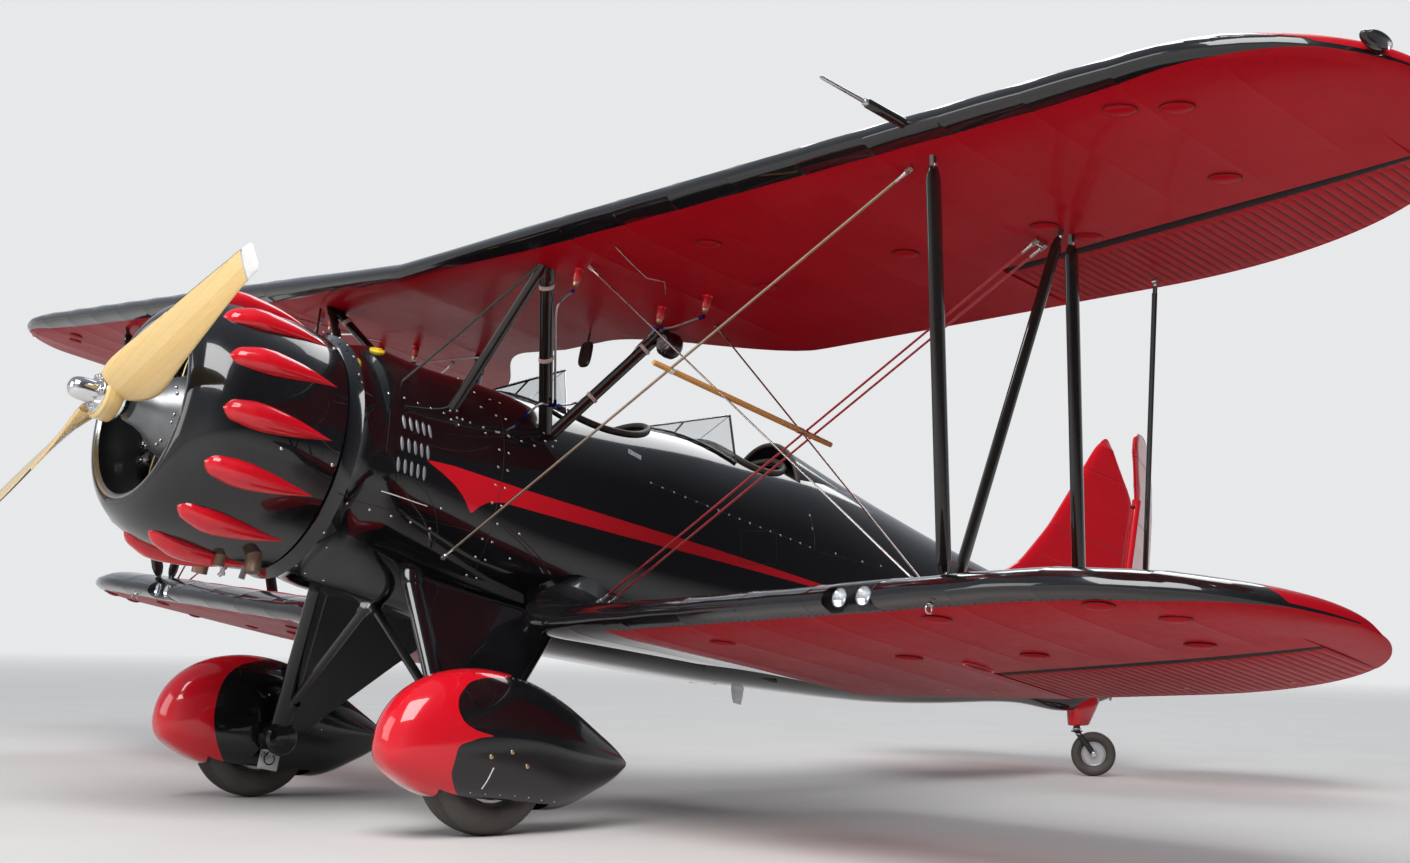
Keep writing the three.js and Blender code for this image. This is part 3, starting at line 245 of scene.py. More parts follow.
def turned(profile, sides, finish="black", axis="y", closed=False):
    """A turned shape from (radius, distance along the axis) pairs; an open end at zero radius closes.
    finish may be a list with one name for each step of the profile."""
    verts, rows = [], []
    for radius, along in profile:
        if radius < 1e-6:
            rows.append([len(verts)] * sides)
            verts.append((0, along, 0))
            continue
        rows.append(list(range(len(verts), len(verts) + sides)))
        for i in range(sides):
            turn = 2 * math.pi * i / sides
            verts.append((radius * math.cos(turn), along, radius * math.sin(turn)))
    if closed:
        rows.append(rows[0])
    faces, paint = [], []
    steps = [finish] * len(rows) if isinstance(finish, str) else finish
    for a, b, name in zip(rows, rows[1:], steps):
        for i in range(sides):
            j = (i + 1) % sides
            corners = [a[i], a[j], b[j], b[i]]
            face = [c for k, c in enumerate(corners) if c != corners[k - 1]]
            if len(face) > 2:
                faces.append(face)
                paint.append(name)
    if not closed:
        for row, name in ((rows[0], steps[0]), (rows[-1], steps[len(rows) - 2])):
            if row[0] != row[1]:
                faces.append(row)
                paint.append(name)
    shape = Shape(verts, faces, paint)
    if axis == "x":
        return shape.moved(Matrix.Rotation(-math.pi / 2, 4, "Z"))
    if axis == "z":
        return shape.moved(Matrix.Rotation(math.pi / 2, 4, "X"))
    return shape


def drum(radius, low, high, sides, finish="black", axis="y"):
    """A plain cylinder between two places on an axis"""
    return turned([(0, low), (radius, low), (radius, high), (0, high)], sides, finish, axis)


def washer(inner, outer, low, high, sides, finish="black", axis="y"):
    return turned([(inner, low), (outer, low), (outer, high), (inner, high)], sides, finish, axis,
                  closed=True)


def ring_angles(count):
    return 2 * np.pi * np.arange(count) / count


def signed_power(value, power):
    """Raises the size of a value to a power and keeps its sign"""
    return np.sign(value) * np.abs(value) ** power


def aimed(place, direction, axis="Y", up="Z"):
    """A frame at a place, one of its axes along a direction"""
    return Matrix.Translation(place) @ Vector(direction).to_track_quat(axis, up).to_matrix().to_4x4()


def smooth_path(points, steps=8):
    """Points along a Catmull-Rom curve through the given points"""
    p = np.asarray(points, float)
    if len(p) < 3:
        return p
    p = np.vstack([2 * p[0] - p[1], p, 2 * p[-1] - p[-2]])
    out = []
    for a, b, c, d in zip(p, p[1:], p[2:], p[3:]):
        for t in np.arange(steps) / steps:
            out.append(0.5 * (2 * b + (c - a) * t + (2 * a - 5 * b + 4 * c - d) * t**2
                              + (3 * b - a - 3 * c + d) * t**3))
    return np.array([*out, p[-2]])


def tube(points, radius, finish="black", sides=12, wide=None, aft=(0, 1, 0), caps=(True, True)):
    """A tube along a path. radius may be a list; with wide, the section is an ellipse whose long
    half axis is wide and lies towards aft."""
    p = np.asarray(points, float)
    radii = np.broadcast_to(radius, len(p)).astype(float)
    widths = radii if wide is None else np.broadcast_to(wide, len(p)).astype(float)
    tangents = np.gradient(p, axis=0)
    tangents /= np.linalg.norm(tangents, axis=1)[:, None]
    side = np.asarray(aft, float)
    if wide is None and abs(tangents[0] @ side) > 0.9:
        side = np.array((0.0, 0.0, 1.0))
    rings = []
    for centre, along, r, w in zip(p, tangents, radii, widths):
        u = side - along * (along @ side)
        u /= np.linalg.norm(u)
        if wide is None:
            side = u
        v = np.cross(along, u)
        turn = ring_angles(sides)
        rings.append(centre + np.outer(np.cos(turn) * w, u) + np.outer(np.sin(turn) * r, v))
    return loft(rings, finish, caps=caps)


def ball(centre, radii, finish="black", rings=12, sides=20):
    radii = np.broadcast_to(radii, 3).astype(float)
    profile = [(math.sin(math.pi * i / rings), -math.cos(math.pi * i / rings)) for i in range(rings + 1)]
    shape = turned(profile, sides, finish)
    return Shape(shape.verts * radii + np.asarray(centre, float), shape.faces, finish)


def block(size, centre, finish="black"):
    x, y, z = np.asarray(size, float) / 2
    corners = [(-x, -y), (x, -y), (x, y), (-x, y)]
    return loft([[(a, b, h) for a, b in corners] for h in (-z, z)], finish).shifted(*centre)


def disc_on(centre, facing, radius, height, finish, sides=20):
    """A low round boss standing on a surface"""
    profile = [(0, height), (radius * 0.82, height), (radius, height * 0.55), (radius, -height),
               (0, -height)]
    return turned(profile, sides, finish).moved(aimed(centre, Vector(facing).normalized()))


def spline_columns(table, at):
    """Natural cubic spline of each column of a table against its first column"""
    rows = np.asarray(table, float)
    x, y = rows[:, 0], rows[:, 1:]
    n = len(x)
    h = np.diff(x)
    a = np.zeros((n, n))
    b = np.zeros_like(y)
    a[0, 0] = a[-1, -1] = 1
    for i in range(1, n - 1):
        a[i, i - 1 : i + 2] = h[i - 1], 2 * (h[i - 1] + h[i]), h[i]
        b[i] = 6 * ((y[i + 1] - y[i]) / h[i] - (y[i] - y[i - 1]) / h[i - 1])
    curve = np.linalg.solve(a, b)
    at = np.asarray(at, float)
    k = np.clip(np.searchsorted(x, at) - 1, 0, n - 2)
    t = (at - x[k])[:, None]
    hk = h[k][:, None]
    slope = (y[k + 1] - y[k]) / hk - hk * (2 * curve[k] + curve[k + 1]) / 6
    return y[k] + slope * t + curve[k] / 2 * t**2 + (curve[k + 1] - curve[k]) / (6 * hk) * t**3


# Finishes

FINISHES = {}


def finish(name):
    """The material of a finish, made when it is first asked for"""
    if name not in FINISHES:
        maker, *values, settings = FINISH_TABLE[name]
        values = [getattr(colours(), value) if isinstance(value, str) else value for value in values]
        FINISHES[name] = maker(name, *values, **settings)
    return FINISHES[name]


def smooth_mesh(mesh, crease=35):
    for polygon in mesh.polygons:
        polygon.use_smooth = True
    mesh.set_sharp_from_angle(angle=math.radians(crease))


def mesh_object(name, shape, space=LEVEL, crease=35):
    mesh = bpy.data.meshes.new(name)
    mesh.from_pydata(shape.verts.tolist(), [], shape.faces)
    names = sorted(set(shape.finish))
    for n in names:
        mesh.materials.append(finish(n))
    index = {n: i for i, n in enumerate(names)}
    mesh.polygons.foreach_set("material_index", [index[n] for n in shape.finish])
    mesh.transform(space)
    bm = bmesh.new()
    bm.from_mesh(mesh)
    bmesh.ops.remove_doubles(bm, verts=bm.verts, dist=2e-6)
    bmesh.ops.dissolve_degenerate(bm, edges=bm.edges, dist=1e-6)
    bmesh.ops.recalc_face_normals(bm, faces=bm.faces)
    bm.to_mesh(mesh)
    bm.free()
    smooth_mesh(mesh, crease)
    obj = bpy.data.objects.new(name, mesh)
    bpy.context.scene.collection.objects.link(obj)
    return obj


def baked(obj):
    """Puts the result of an object's modifiers in its mesh"""
    bpy.context.view_layer.update()
    evaluated = obj.evaluated_get(bpy.context.evaluated_depsgraph_get())
    mesh = bpy.data.meshes.new_from_object(evaluated)
    old = obj.data
    obj.modifiers.clear()
    obj.data = mesh
    bpy.data.meshes.remove(old)
    return obj


def settle(obj, body, slot, nodes=()):
    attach(obj, body)
    if nodes:
        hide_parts(*nodes)
    return obj


def piece(name, shapes, body="airframe", slot="black_paint", nodes=(), space=LEVEL, crease=35, bevel=0):
    """One piece of the visual model: its body and the CAD nodes that it replaces; its slot is not used"""
    shape = shapes if isinstance(shapes, Shape) else joined(shapes)
    obj = mesh_object(name, shape, space, crease)
    if bevel:
        modifier = obj.modifiers.new("Edges", "BEVEL")
        modifier.width = bevel * MM
        modifier.segments = 2
        modifier.limit_method = "ANGLE"
        modifier.angle_limit = math.radians(40)
        baked(obj)
        smooth_mesh(obj.data, crease)
    return settle(obj, body, slot, nodes)


def cut(obj, cutter, space=LEVEL):
    """Takes a solid out of a piece"""
    tool = mesh_object("cutter", cutter, space)
    modifier = obj.modifiers.new("Opening", "BOOLEAN")
    modifier.operation = "DIFFERENCE"
    modifier.solver = "EXACT"
    modifier.object = tool
    baked(obj)
    bpy.data.objects.remove(tool)


SIDES = ("left", "right")


def both(shape, side):
    return shape if side == "left" else shape.mirrored()


def pair(name, shapes, body="airframe", slot="black_paint", nodes=(), space=LEVEL, crease=35, bevel=0):
    """A piece on the left and its mirror image on the right; SIDE in a name stands for the side"""
    shape = shapes if isinstance(shapes, Shape) else joined(shapes)
    for side in SIDES:
        piece(name.replace("SIDE", side), both(shape, side), body.replace("SIDE", side), slot,
              [node.replace("SIDE", side) for node in nodes], space, crease, bevel)


# Shader groups and materials


class Nodes:
    """Short names for the nodes of one tree"""

    def __init__(self, tree):
        self.tree = tree

    def add(self, kind, inputs=None, **settings):
        node = self.tree.nodes.new(kind)
        for key, value in settings.items():
            setattr(node, key, value)
        for key, value in (inputs or {}).items():
            self.plug(value, node.inputs[key])
        return node

    def place(self):
        return self.add("ShaderNodeTexCoord").outputs["Object"]

    def plug(self, value, socket):
        if isinstance(value, bpy.types.NodeSocket):
            self.tree.links.new(value, socket)
        else:
            socket.default_value = value

    def maths(self, operation, *values, clamp=False):
        node = self.tree.nodes.new("ShaderNodeMath")
        node.operation = operation
        node.use_clamp = clamp
        for i, value in enumerate(values):
            self.plug(value, node.inputs[i])
        return node.outputs[0]

    def mix(self, factor, a, b):
        node = self.tree.nodes.new("ShaderNodeMix")
        node.data_type = "RGBA"
        self.plug(factor, node.inputs["Factor"])
        self.plug(colour4(a), node.inputs[6])
        self.plug(colour4(b), node.inputs[7])
        return node.outputs[2]

    def span(self, value, low, high, to_low=0.0, to_high=1.0):
        node = self.add("ShaderNodeMapRange", {"Value": value, "From Min": low, "From Max": high,
                                               "To Min": to_low, "To Max": to_high})
        return node.outputs["Result"]

    def noise(self, coordinates, scale, detail=2.0, roughness=0.5):
        node = self.add("ShaderNodeTexNoise", {"Vector": coordinates, "Scale": scale, "Detail": detail,
                                               "Roughness": roughness})
        return node.outputs["Fac"]


def colour4(value):
    if isinstance(value, bpy.types.NodeSocket):
        return value
    return (*value[:3], 1.0)


def shader_group(name, inputs, outputs, build):
    """A node group made once, from (name, socket type, default) rows"""
    if name in bpy.data.node_groups:
        return bpy.data.node_groups[name]
    tree = bpy.data.node_groups.new(name, "ShaderNodeTree")
    for label, kind, default in inputs:
        socket = tree.interface.new_socket(label, in_out="INPUT", socket_type=kind)
        if default is not None:
            socket.default_value = default
    for label, kind in outputs:
        tree.interface.new_socket(label, in_out="OUTPUT", socket_type=kind)
    n = Nodes(tree)
    source = n.add("NodeGroupInput").outputs
    sink = n.add("NodeGroupOutput").inputs
    build(n, source, sink)
    return tree


FLOAT, COLOR, VECTOR = "NodeSocketFloat", "NodeSocketColor", "NodeSocketVector"


def build_mottle(n, source, sink):
    """Broad and fine variation of a painted or worn surface"""
    place = n.place()
    broad = n.noise(place, source["Scale"], 3.0)
    fine = n.noise(place, n.maths("MULTIPLY", source["Scale"], 14.0), 4.0, 0.6)
    both_scales = n.maths("ADD", n.maths("MULTIPLY", broad, 0.6), n.maths("MULTIPLY", fine, 0.4))
    tint = n.span(both_scales, 0.3, 0.7)
    n.plug(n.mix(n.maths("MULTIPLY", tint, source["Amount"]), source["Colour"], source["Shade"]),
           sink["Colour"])
    n.plug(n.span(both_scales, 0.3, 0.7, source["Smooth"], source["Rough"]), sink["Roughness"])
    n.plug(n.maths("ADD", n.maths("MULTIPLY", broad, source["Broad"]),
                   n.maths("MULTIPLY", n.noise(place, source["Grain"], 2.0), source["Fine"])),
           sink["Height"])


def mottle_group():
    return shader_group(
        "Mottled surface",
        [("Colour", COLOR, None), ("Shade", COLOR, None), ("Amount", FLOAT, 0.5), ("Scale", FLOAT, 3.0),
         ("Smooth", FLOAT, 0.1), ("Rough", FLOAT, 0.3), ("Grain", FLOAT, 800.0), ("Broad", FLOAT, 0.0),
         ("Fine", FLOAT, 1.0)],
        [("Colour", COLOR), ("Roughness", FLOAT), ("Height", FLOAT)], build_mottle)


def build_worn_edge(n, source, sink):
    """A mask of the sharp outer edges, broken up by noise"""
    geometry = n.add("ShaderNodeNewGeometry")
    place = n.place()
    edge = n.span(geometry.outputs["Pointiness"], source["Start"], n.maths("ADD", source["Start"], 0.08))
    broken = n.span(n.noise(place, source["Scale"], 4.0), 0.42, 0.62)
    n.plug(n.maths("MULTIPLY", n.maths("MULTIPLY", edge, broken), source["Amount"], clamp=True),
           sink["Mask"])


def worn_edge_group():
    return shader_group("Worn edge", [("Start", FLOAT, 0.54), ("Scale", FLOAT, 60.0),
                                      ("Amount", FLOAT, 1.0)],
                        [("Mask", FLOAT)], build_worn_edge)


SOCKETS = {"ior": "IOR", "specular_ior_level": "Specular IOR Level"}


def surface(name, build, **constants):
    """A material with one Principled BSDF: build wires what varies, constants sit on its sockets"""
    material = bpy.data.materials.new(name)
    material.use_nodes = True
    shader = material.node_tree.nodes["Principled BSDF"]
    for key, value in constants.items():
        shader.inputs[SOCKETS.get(key, key.replace("_", " ").title())].default_value = value
    build(Nodes(material.node_tree), shader.inputs)
    return material


def bumped(n, inputs, height, strength, distance=0.001):
    node = n.add("ShaderNodeBump", {"Height": height, "Strength": strength, "Distance": distance})
    n.plug(node.outputs["Normal"], inputs["Normal"])


def mottled(n, colour, shade, **values):
    node = n.add("ShaderNodeGroup", node_tree=mottle_group())
    n.plug(colour4(colour), node.inputs["Colour"])
    n.plug(colour4(shade), node.inputs["Shade"])
    for key, value in values.items():
        n.plug(value, node.inputs[key.title()])
    return node.outputs


def dusted(n, colour, amount=0.25):
    """Pale dust on what faces up"""
    normal = n.add("ShaderNodeNewGeometry").outputs["Normal"]
    up = n.add("ShaderNodeSeparateXYZ", {"Vector": normal}).outputs["Z"]
    place = n.place()
    patch = n.span(n.noise(place, 5.0, 5.0, 0.65), 0.45, 0.75)
    return n.mix(n.maths("MULTIPLY", n.maths("MULTIPLY", n.span(up, 0.3, 1.0), patch), amount, clamp=True),
                 colour, (0.30, 0.27, 0.24))


def plug_surface(n, inputs, out, tint, strength, distance):
    """Wires a mottled surface's roughness and height, and a colour, into a shader"""
    n.plug(tint, inputs["Base Color"])
    n.plug(out["Roughness"], inputs["Roughness"])
    bumped(n, inputs, out["Height"], strength, distance)


def gloss(name, colour, shade, waves=0.35, amount=0.5, smooth=0.12, rough=0.24, coat=1.0, shine=0.15,
          scale=2.2, dust=0.05, red_where=None):
    """Enamel under clear varnish, red where the mask that red_where makes is 1"""
    def build(n, inputs):
        out = mottled(n, colour, shade, amount=amount, scale=scale, smooth=smooth, rough=rough, grain=420.0,
                      broad=waves, fine=0.018)
        tint = dusted(n, out["Colour"], dust)
        if red_where:
            tint = n.mix(red_where(n), tint, colours().red)
        plug_surface(n, inputs, out, tint, 0.35, 0.02)
    return surface(name, build, coat_weight=coat, coat_roughness=0.03, specular_ior_level=shine)


def level_place(n):
    """Object coordinates turned into the level frame, in metres: x, y, z outputs"""
    back = LEVEL.inverted()
    mapping = n.add("ShaderNodeMapping", {"Vector": n.place()})
    mapping.inputs["Rotation"].default_value = (PARKED_PITCH, 0, 0)
    mapping.inputs["Location"].default_value = [c * MM for c in back.to_translation()]
    return n.add("ShaderNodeSeparateXYZ", {"Vector": mapping.outputs["Vector"]}).outputs


# The body's red stripe: (y, height) points of its edges in metres
STRIPE = {"start": -0.36, "end": 2.45,
          "top": [(-0.34, 1.432), (-0.2, 1.446), (0.17, 1.45), (0.74, 1.46), (1.3, 1.471), (2.0, 1.478),
                  (2.4, 1.479)],
          "bottom": [(-0.34, 1.428), (-0.25, 1.402), (-0.17, 1.37), (-0.11, 1.33), (-0.06, 1.276),
                     (-0.03, 1.315), (0.01, 1.344), (0.09, 1.366), (0.24, 1.372), (0.74, 1.392),
                     (1.33, 1.422), (1.93, 1.45), (2.4, 1.478)]}


def curve_of(n, value, points, low, high, sharp=None):
    """A float curve through (position, height) points, both in metres: straight between them, or
    smooth where sharp lists the points that stay corners"""
    share = n.span(value, low, high)
    node = n.add("ShaderNodeFloatCurve", {"Value": share})
    curve = node.mapping.curves[0]
    heights = [z for _, z in points]
    floor, top = min(heights) - 0.01, max(heights) + 0.01
    while len(curve.points) < len(points):
        curve.points.new(0.5, 0.5)
    for i, (target, (y, z)) in enumerate(zip(curve.points, points)):
        target.location = ((y - low) / (high - low), (z - floor) / (top - floor))
        target.handle_type = "VECTOR" if sharp is None or i in sharp else "AUTO_CLAMPED"
    node.mapping.update()
    return n.span(node.outputs[0], 0.0, 1.0, floor, top)


def crisp(n, value, edge=0.0006):
    """1 where value is above zero, with a soft edge narrower than a pixel"""
    return n.span(value, -edge, edge)


def stripe_mask(n):
    place = level_place(n)
    low, high = STRIPE["start"], STRIPE["end"]
    top = curve_of(n, place["Y"], STRIPE["top"], low, high)
    bottom = curve_of(n, place["Y"], STRIPE["bottom"], low, high)
    inside = n.maths("MULTIPLY", crisp(n, n.maths("SUBTRACT", top, place["Z"])),
                     crisp(n, n.maths("SUBTRACT", place["Z"], bottom)))
    along = n.maths("MULTIPLY", crisp(n, n.maths("SUBTRACT", place["Y"], low + 0.02)),
                    crisp(n, n.maths("SUBTRACT", high - 0.05, place["Y"])))
    return n.maths("MULTIPLY", inside, along)


# A wheel fairing's red nose ends here: (height, y) in metres, from the bottom up, outboard and inboard
NOSE_OUTBOARD = [(0.09, -0.13), (0.116, -0.20), (0.153, -0.262), (0.219, -0.298), (0.279, -0.298),
                 (0.334, -0.24), (0.366, -0.155), (0.376, -0.25), (0.41, -0.305), (0.454, -0.32),
                 (0.522, -0.288), (0.572, -0.21), (0.602, -0.08), (0.64, 0.02)]
NOSE_INBOARD = [(0.09, -0.16), (0.15, -0.26), (0.25, -0.33), (0.36, -0.352), (0.45, -0.338), (0.53, -0.282),
                (0.59, -0.17), (0.64, 0.02)]
NOSE_CORNER = 6


def nose_mask(n):
    place = level_place(n)
    outer, inner = (curve_of(n, place["Z"], line, line[0][0], line[-1][0], sharp)
                    for line, sharp in ((NOSE_OUTBOARD, (NOSE_CORNER,)), (NOSE_INBOARD, ())))
    inboard = crisp(n, n.maths("SUBTRACT", WHEEL_X * MM, n.maths("ABSOLUTE", place["X"])))
    edge = n.maths("ADD", n.maths("MULTIPLY", inner, inboard),
                   n.maths("MULTIPLY", outer, n.maths("SUBTRACT", 1.0, inboard)))
    return crisp(n, n.maths("SUBTRACT", edge, place["Y"]))


def metal(name, colour, shade, smooth, rough, grain=900.0, fine=0.03, metallic=1.0, wear=None, amount=0.8,
          scale=9.0):
    """Bare or coated metal; wear is the colour of its rubbed edges"""
    def build(n, inputs):
        out = mottled(n, colour, shade, amount=amount, scale=scale, smooth=smooth, rough=rough, grain=grain,
                      broad=0.0, fine=fine)
        tint = out["Colour"]
        if wear:
            mask = n.add("ShaderNodeGroup", node_tree=worn_edge_group()).outputs["Mask"]
            tint = n.mix(mask, tint, wear)
        plug_surface(n, inputs, out, tint, 0.4, 0.004)
    return surface(name, build, metallic=metallic)


def matt(name, colour, shade, smooth=0.45, rough=0.7, grain=600.0, dust=0.0, amount=0.8, scale=6.0):
    def build(n, inputs):
        out = mottled(n, colour, shade, amount=amount, scale=scale, smooth=smooth, rough=rough, grain=grain,
                      broad=0.0, fine=0.12)
        tint = dusted(n, out["Colour"], dust) if dust else out["Colour"]
        plug_surface(n, inputs, out, tint, 0.5, 0.004)
    return surface(name, build)


def wood_finish(name):
    """Laminations that run along the blade, with fine grain under varnish"""
    c = colours()

    def build(n, inputs):
        turn = n.add("ShaderNodeMapping", {"Vector": n.place()})
        turn.inputs["Rotation"].default_value = (PARKED_PITCH, math.pi / 2 - PROPELLER_ANGLE, 0)
        split = n.add("ShaderNodeSeparateXYZ", {"Vector": turn.outputs["Vector"]}).outputs
        layers = n.maths("MULTIPLY", split["Y"], 52.0)
        layer = n.maths("FLOOR", layers)
        tone = n.add("ShaderNodeTexWhiteNoise", {"W": layer}, noise_dimensions="1D").outputs["Value"]
        line = n.span(n.maths("ABSOLUTE", n.maths("SUBTRACT", n.maths("FRACT", layers), 0.5)), 0.46, 0.5)
        stretched = n.add("ShaderNodeMapping", {"Vector": turn.outputs["Vector"]})
        stretched.inputs["Scale"].default_value = (3.0, 60.0, 60.0)
        grain = n.noise(stretched.outputs["Vector"], 6.0, 5.0, 0.6)
        pores = n.span(n.noise(stretched.outputs["Vector"], 30.0, 3.0), 0.55, 0.75)
        warm = n.mix(n.span(grain, 0.3, 0.7), c.wood, (0.62, 0.36, 0.10))
        toned = n.mix(n.maths("MULTIPLY", tone, 0.45), warm, (0.86, 0.66, 0.32))
        lined = n.mix(n.maths("MULTIPLY", line, 0.35), toned, (0.30, 0.15, 0.04))
        n.plug(n.mix(n.maths("MULTIPLY", pores, 0.25), lined, (0.36, 0.19, 0.06)), inputs["Base Color"])
        n.plug(n.span(grain, 0.3, 0.7, 0.22, 0.36), inputs["Roughness"])
        bumped(n, inputs, grain, 0.15, 0.0006)
    return surface(name, build, coat_weight=0.8, coat_roughness=0.08)


def dowel_finish(name):
    """Bare wood, streaked along the body's length and breadth"""
    def build(n, inputs):
        place = n.place()
        grain = n.noise(place, 70.0, 5.0, 0.65)
        streak = n.add("ShaderNodeMapping", {"Vector": place})
        streak.inputs["Scale"].default_value = (4.0, 30.0, 30.0)
        lines = n.noise(streak.outputs["Vector"], 20.0, 4.0)
        base = n.mix(n.span(lines, 0.35, 0.65), (0.62, 0.33, 0.10), (0.44, 0.20, 0.05))
        n.plug(n.mix(n.maths("MULTIPLY", n.span(grain, 0.5, 0.8), 0.4), base, (0.25, 0.11, 0.03)),
               inputs["Base Color"])
        n.plug(n.span(grain, 0.3, 0.7, 0.35, 0.55), inputs["Roughness"])
        bumped(n, inputs, lines, 0.2, 0.0008)
    return surface(name, build, coat_weight=0.3)


def leather_finish(name):
    """Dark leather with small creases between its cells, painted darker as painted shade"""
    def build(n, inputs):
        place = n.place()
        cells = n.add("ShaderNodeTexVoronoi", {"Vector": place, "Scale": 380.0}, feature="DISTANCE_TO_EDGE")
        crease = n.span(cells.outputs["Distance"], 0.0, 0.2)
        out = mottled(n, (0.026, 0.018, 0.014), (0.07, 0.045, 0.03), amount=0.8, scale=12.0, smooth=0.38,
                      rough=0.6, grain=900.0, broad=0.0, fine=0.05)
        # The creases are painted darker: painted shade
        n.plug(n.mix(crease, (0.01, 0.007, 0.005), out["Colour"]), inputs["Base Color"])
        n.plug(out["Roughness"], inputs["Roughness"])
        bumped(n, inputs, crease, 0.5, 0.0008)
    return surface(name, build)


def glass_finish(name):
    def build(n, inputs):
        n.plug(n.span(n.noise(n.place(), 9.0, 4.0), 0.4, 0.8, 0.0, 0.03), inputs["Roughness"])
    return surface(name, build, base_color=(0.98, 0.99, 0.99, 1), transmission_weight=1.0, ior=1.05)


def lamp_glass(name):
    def build(n, inputs):
        ribs = n.noise(n.place(), 300.0, 2.0)
        n.plug(n.span(ribs, 0.3, 0.7, 0.03, 0.15), inputs["Roughness"])
        bumped(n, inputs, ribs, 0.3, 0.001)
    return surface(name, build, base_color=(0.95, 0.97, 1.0, 1), transmission_weight=1.0, ior=1.45)


# Finishes: the function that makes it, its values, and the settings that differ from that function's defaults
FINISH_TABLE = {
    "black": (gloss, "black", (0.009, 0.009, 0.010), {}),
    "strut_black": (gloss, (0.010, 0.008, 0.007), (0.018, 0.014, 0.012), {"waves": 0.1}),
    "body_black": (gloss, "black", (0.008, 0.008, 0.009),
                   {"waves": 0.5, "smooth": 0.06, "rough": 0.14, "scale": 1.6, "red_where": stripe_mask}),
    "fairing": (gloss, "black", (0.008, 0.008, 0.009),
                {"waves": 0.08, "dust": 0.06, "red_where": nose_mask}),
    "red": (gloss, "red", (0.50, 0.004, 0.012), {}),
    # The wings' darker red: painted shade of their undersides
    "wing_red": (gloss, "wing_red", (0.32, 0.002, 0.007),
                 {"waves": 0.6, "amount": 0.8, "smooth": 0.3, "rough": 0.42, "coat": 0.06, "shine": 0.06}),
    # Darker red for the aileron grooves: painted shade
    "wing_seam": (gloss, (0.075, 0.002, 0.004), (0.05, 0.001, 0.003),
                  {"waves": 0.4, "smooth": 0.4, "rough": 0.5, "coat": 0.05}),
    "wing_black": (gloss, "black", (0.009, 0.009, 0.010), {"waves": 0.3}),
    "wire_red": (gloss, (0.45, 0.02, 0.03), (0.35, 0.02, 0.03), {"waves": 0.0}),
    "yellow": (gloss, (0.85, 0.60, 0.02), (0.7, 0.48, 0.02), {"waves": 0.0}),
    "wire_tan": (metal, (0.46, 0.38, 0.29), (0.34, 0.27, 0.20), 0.28, 0.42, {"metallic": 0.8}),
    "wire_steel": (metal, (0.62, 0.60, 0.57), (0.5, 0.48, 0.45), 0.2, 0.35, {}),
    "chrome": (metal, (0.80, 0.80, 0.81), (0.70, 0.70, 0.72), 0.04, 0.14, {"fine": 0.01}),
    "tip_metal": (metal, (0.16, 0.15, 0.14), (0.09, 0.085, 0.08), 0.3, 0.5, {}),
    "alloy": (metal, (0.62, 0.63, 0.64), (0.48, 0.49, 0.50), 0.24, 0.42, {}),
    "screw": (metal, (0.80, 0.79, 0.76), (0.62, 0.60, 0.56), 0.16, 0.34, {}),
    "brass": (metal, (0.62, 0.50, 0.28), (0.45, 0.34, 0.18), 0.25, 0.45, {}),
    "engine_black": (metal, (0.035, 0.035, 0.037), (0.075, 0.073, 0.07), 0.38, 0.6,
                     {"metallic": 0.6, "wear": (0.30, 0.29, 0.28)}),
    "crankcase": (metal, (0.30, 0.31, 0.32), (0.20, 0.20, 0.21), 0.32, 0.5, {"metallic": 0.8}),
    "baffle": (metal, (0.52, 0.54, 0.57), (0.42, 0.44, 0.47), 0.18, 0.32, {"metallic": 0.9}),
    "louvre": (metal, (0.36, 0.37, 0.39), (0.24, 0.25, 0.26), 0.35, 0.5, {"metallic": 0.5}),
    "exhaust": (metal, (0.40, 0.27, 0.18), (0.16, 0.12, 0.10), 0.35, 0.6,
                {"grain": 700.0, "fine": 0.06, "metallic": 0.75, "amount": 1.0, "scale": 16.0}),
    "blue": (metal, (0.02, 0.05, 0.40), (0.01, 0.03, 0.25), 0.2, 0.35, {}),
    "mirror": (metal, (0.9, 0.9, 0.9), (0.85, 0.85, 0.85), 0.02, 0.06, {"fine": 0.0}),
    "tyre": (matt, (0.032, 0.029, 0.027), (0.085, 0.075, 0.066), 0.55, 0.85,
             {"grain": 500.0, "dust": 0.5, "amount": 1.0, "scale": 7.0}),
    "rubber": (matt, (0.012, 0.012, 0.012), (0.025, 0.024, 0.023), {}),
    # Near-black for seams, dial faces and small dark parts, and painted shade in the aileron hinge gap and
    # round the louvres
    "seam": (matt, (0.003, 0.003, 0.003), (0.008, 0.008, 0.008), {}),
    "red_seam": (matt, (0.10, 0.002, 0.004), (0.16, 0.003, 0.006), {}),
    "lining": (matt, (0.20, 0.20, 0.19), (0.14, 0.14, 0.13), {}),
    "panel_grey": (matt, (0.03, 0.03, 0.032), (0.05, 0.05, 0.05), {}),
    "white": (matt, (0.72, 0.71, 0.68), (0.60, 0.58, 0.55), 0.3, 0.5, {}),
    "band": (matt, (0.62, 0.50, 0.46), (0.5, 0.36, 0.34), 0.4, 0.6, {}),
    "wood": (wood_finish, {}),
    "dowel": (dowel_finish, {}),
    "leather": (leather_finish, {}),
    "glass": (glass_finish, {}),
    "lens": (lamp_glass, {}),
}

# Geometry Nodes trees


def node_tree(name, inputs):
    tree = bpy.data.node_groups.new(name, "GeometryNodeTree")
    tree.interface.new_socket("Geometry", in_out="INPUT", socket_type="NodeSocketGeometry")
    for label, kind in inputs:
        tree.interface.new_socket(label, in_out="INPUT", socket_type=kind)
    tree.interface.new_socket("Geometry", in_out="OUTPUT", socket_type="NodeSocketGeometry")
    n = Nodes(tree)
    return n, n.add("NodeGroupInput").outputs, n.add("NodeGroupOutput").inputs


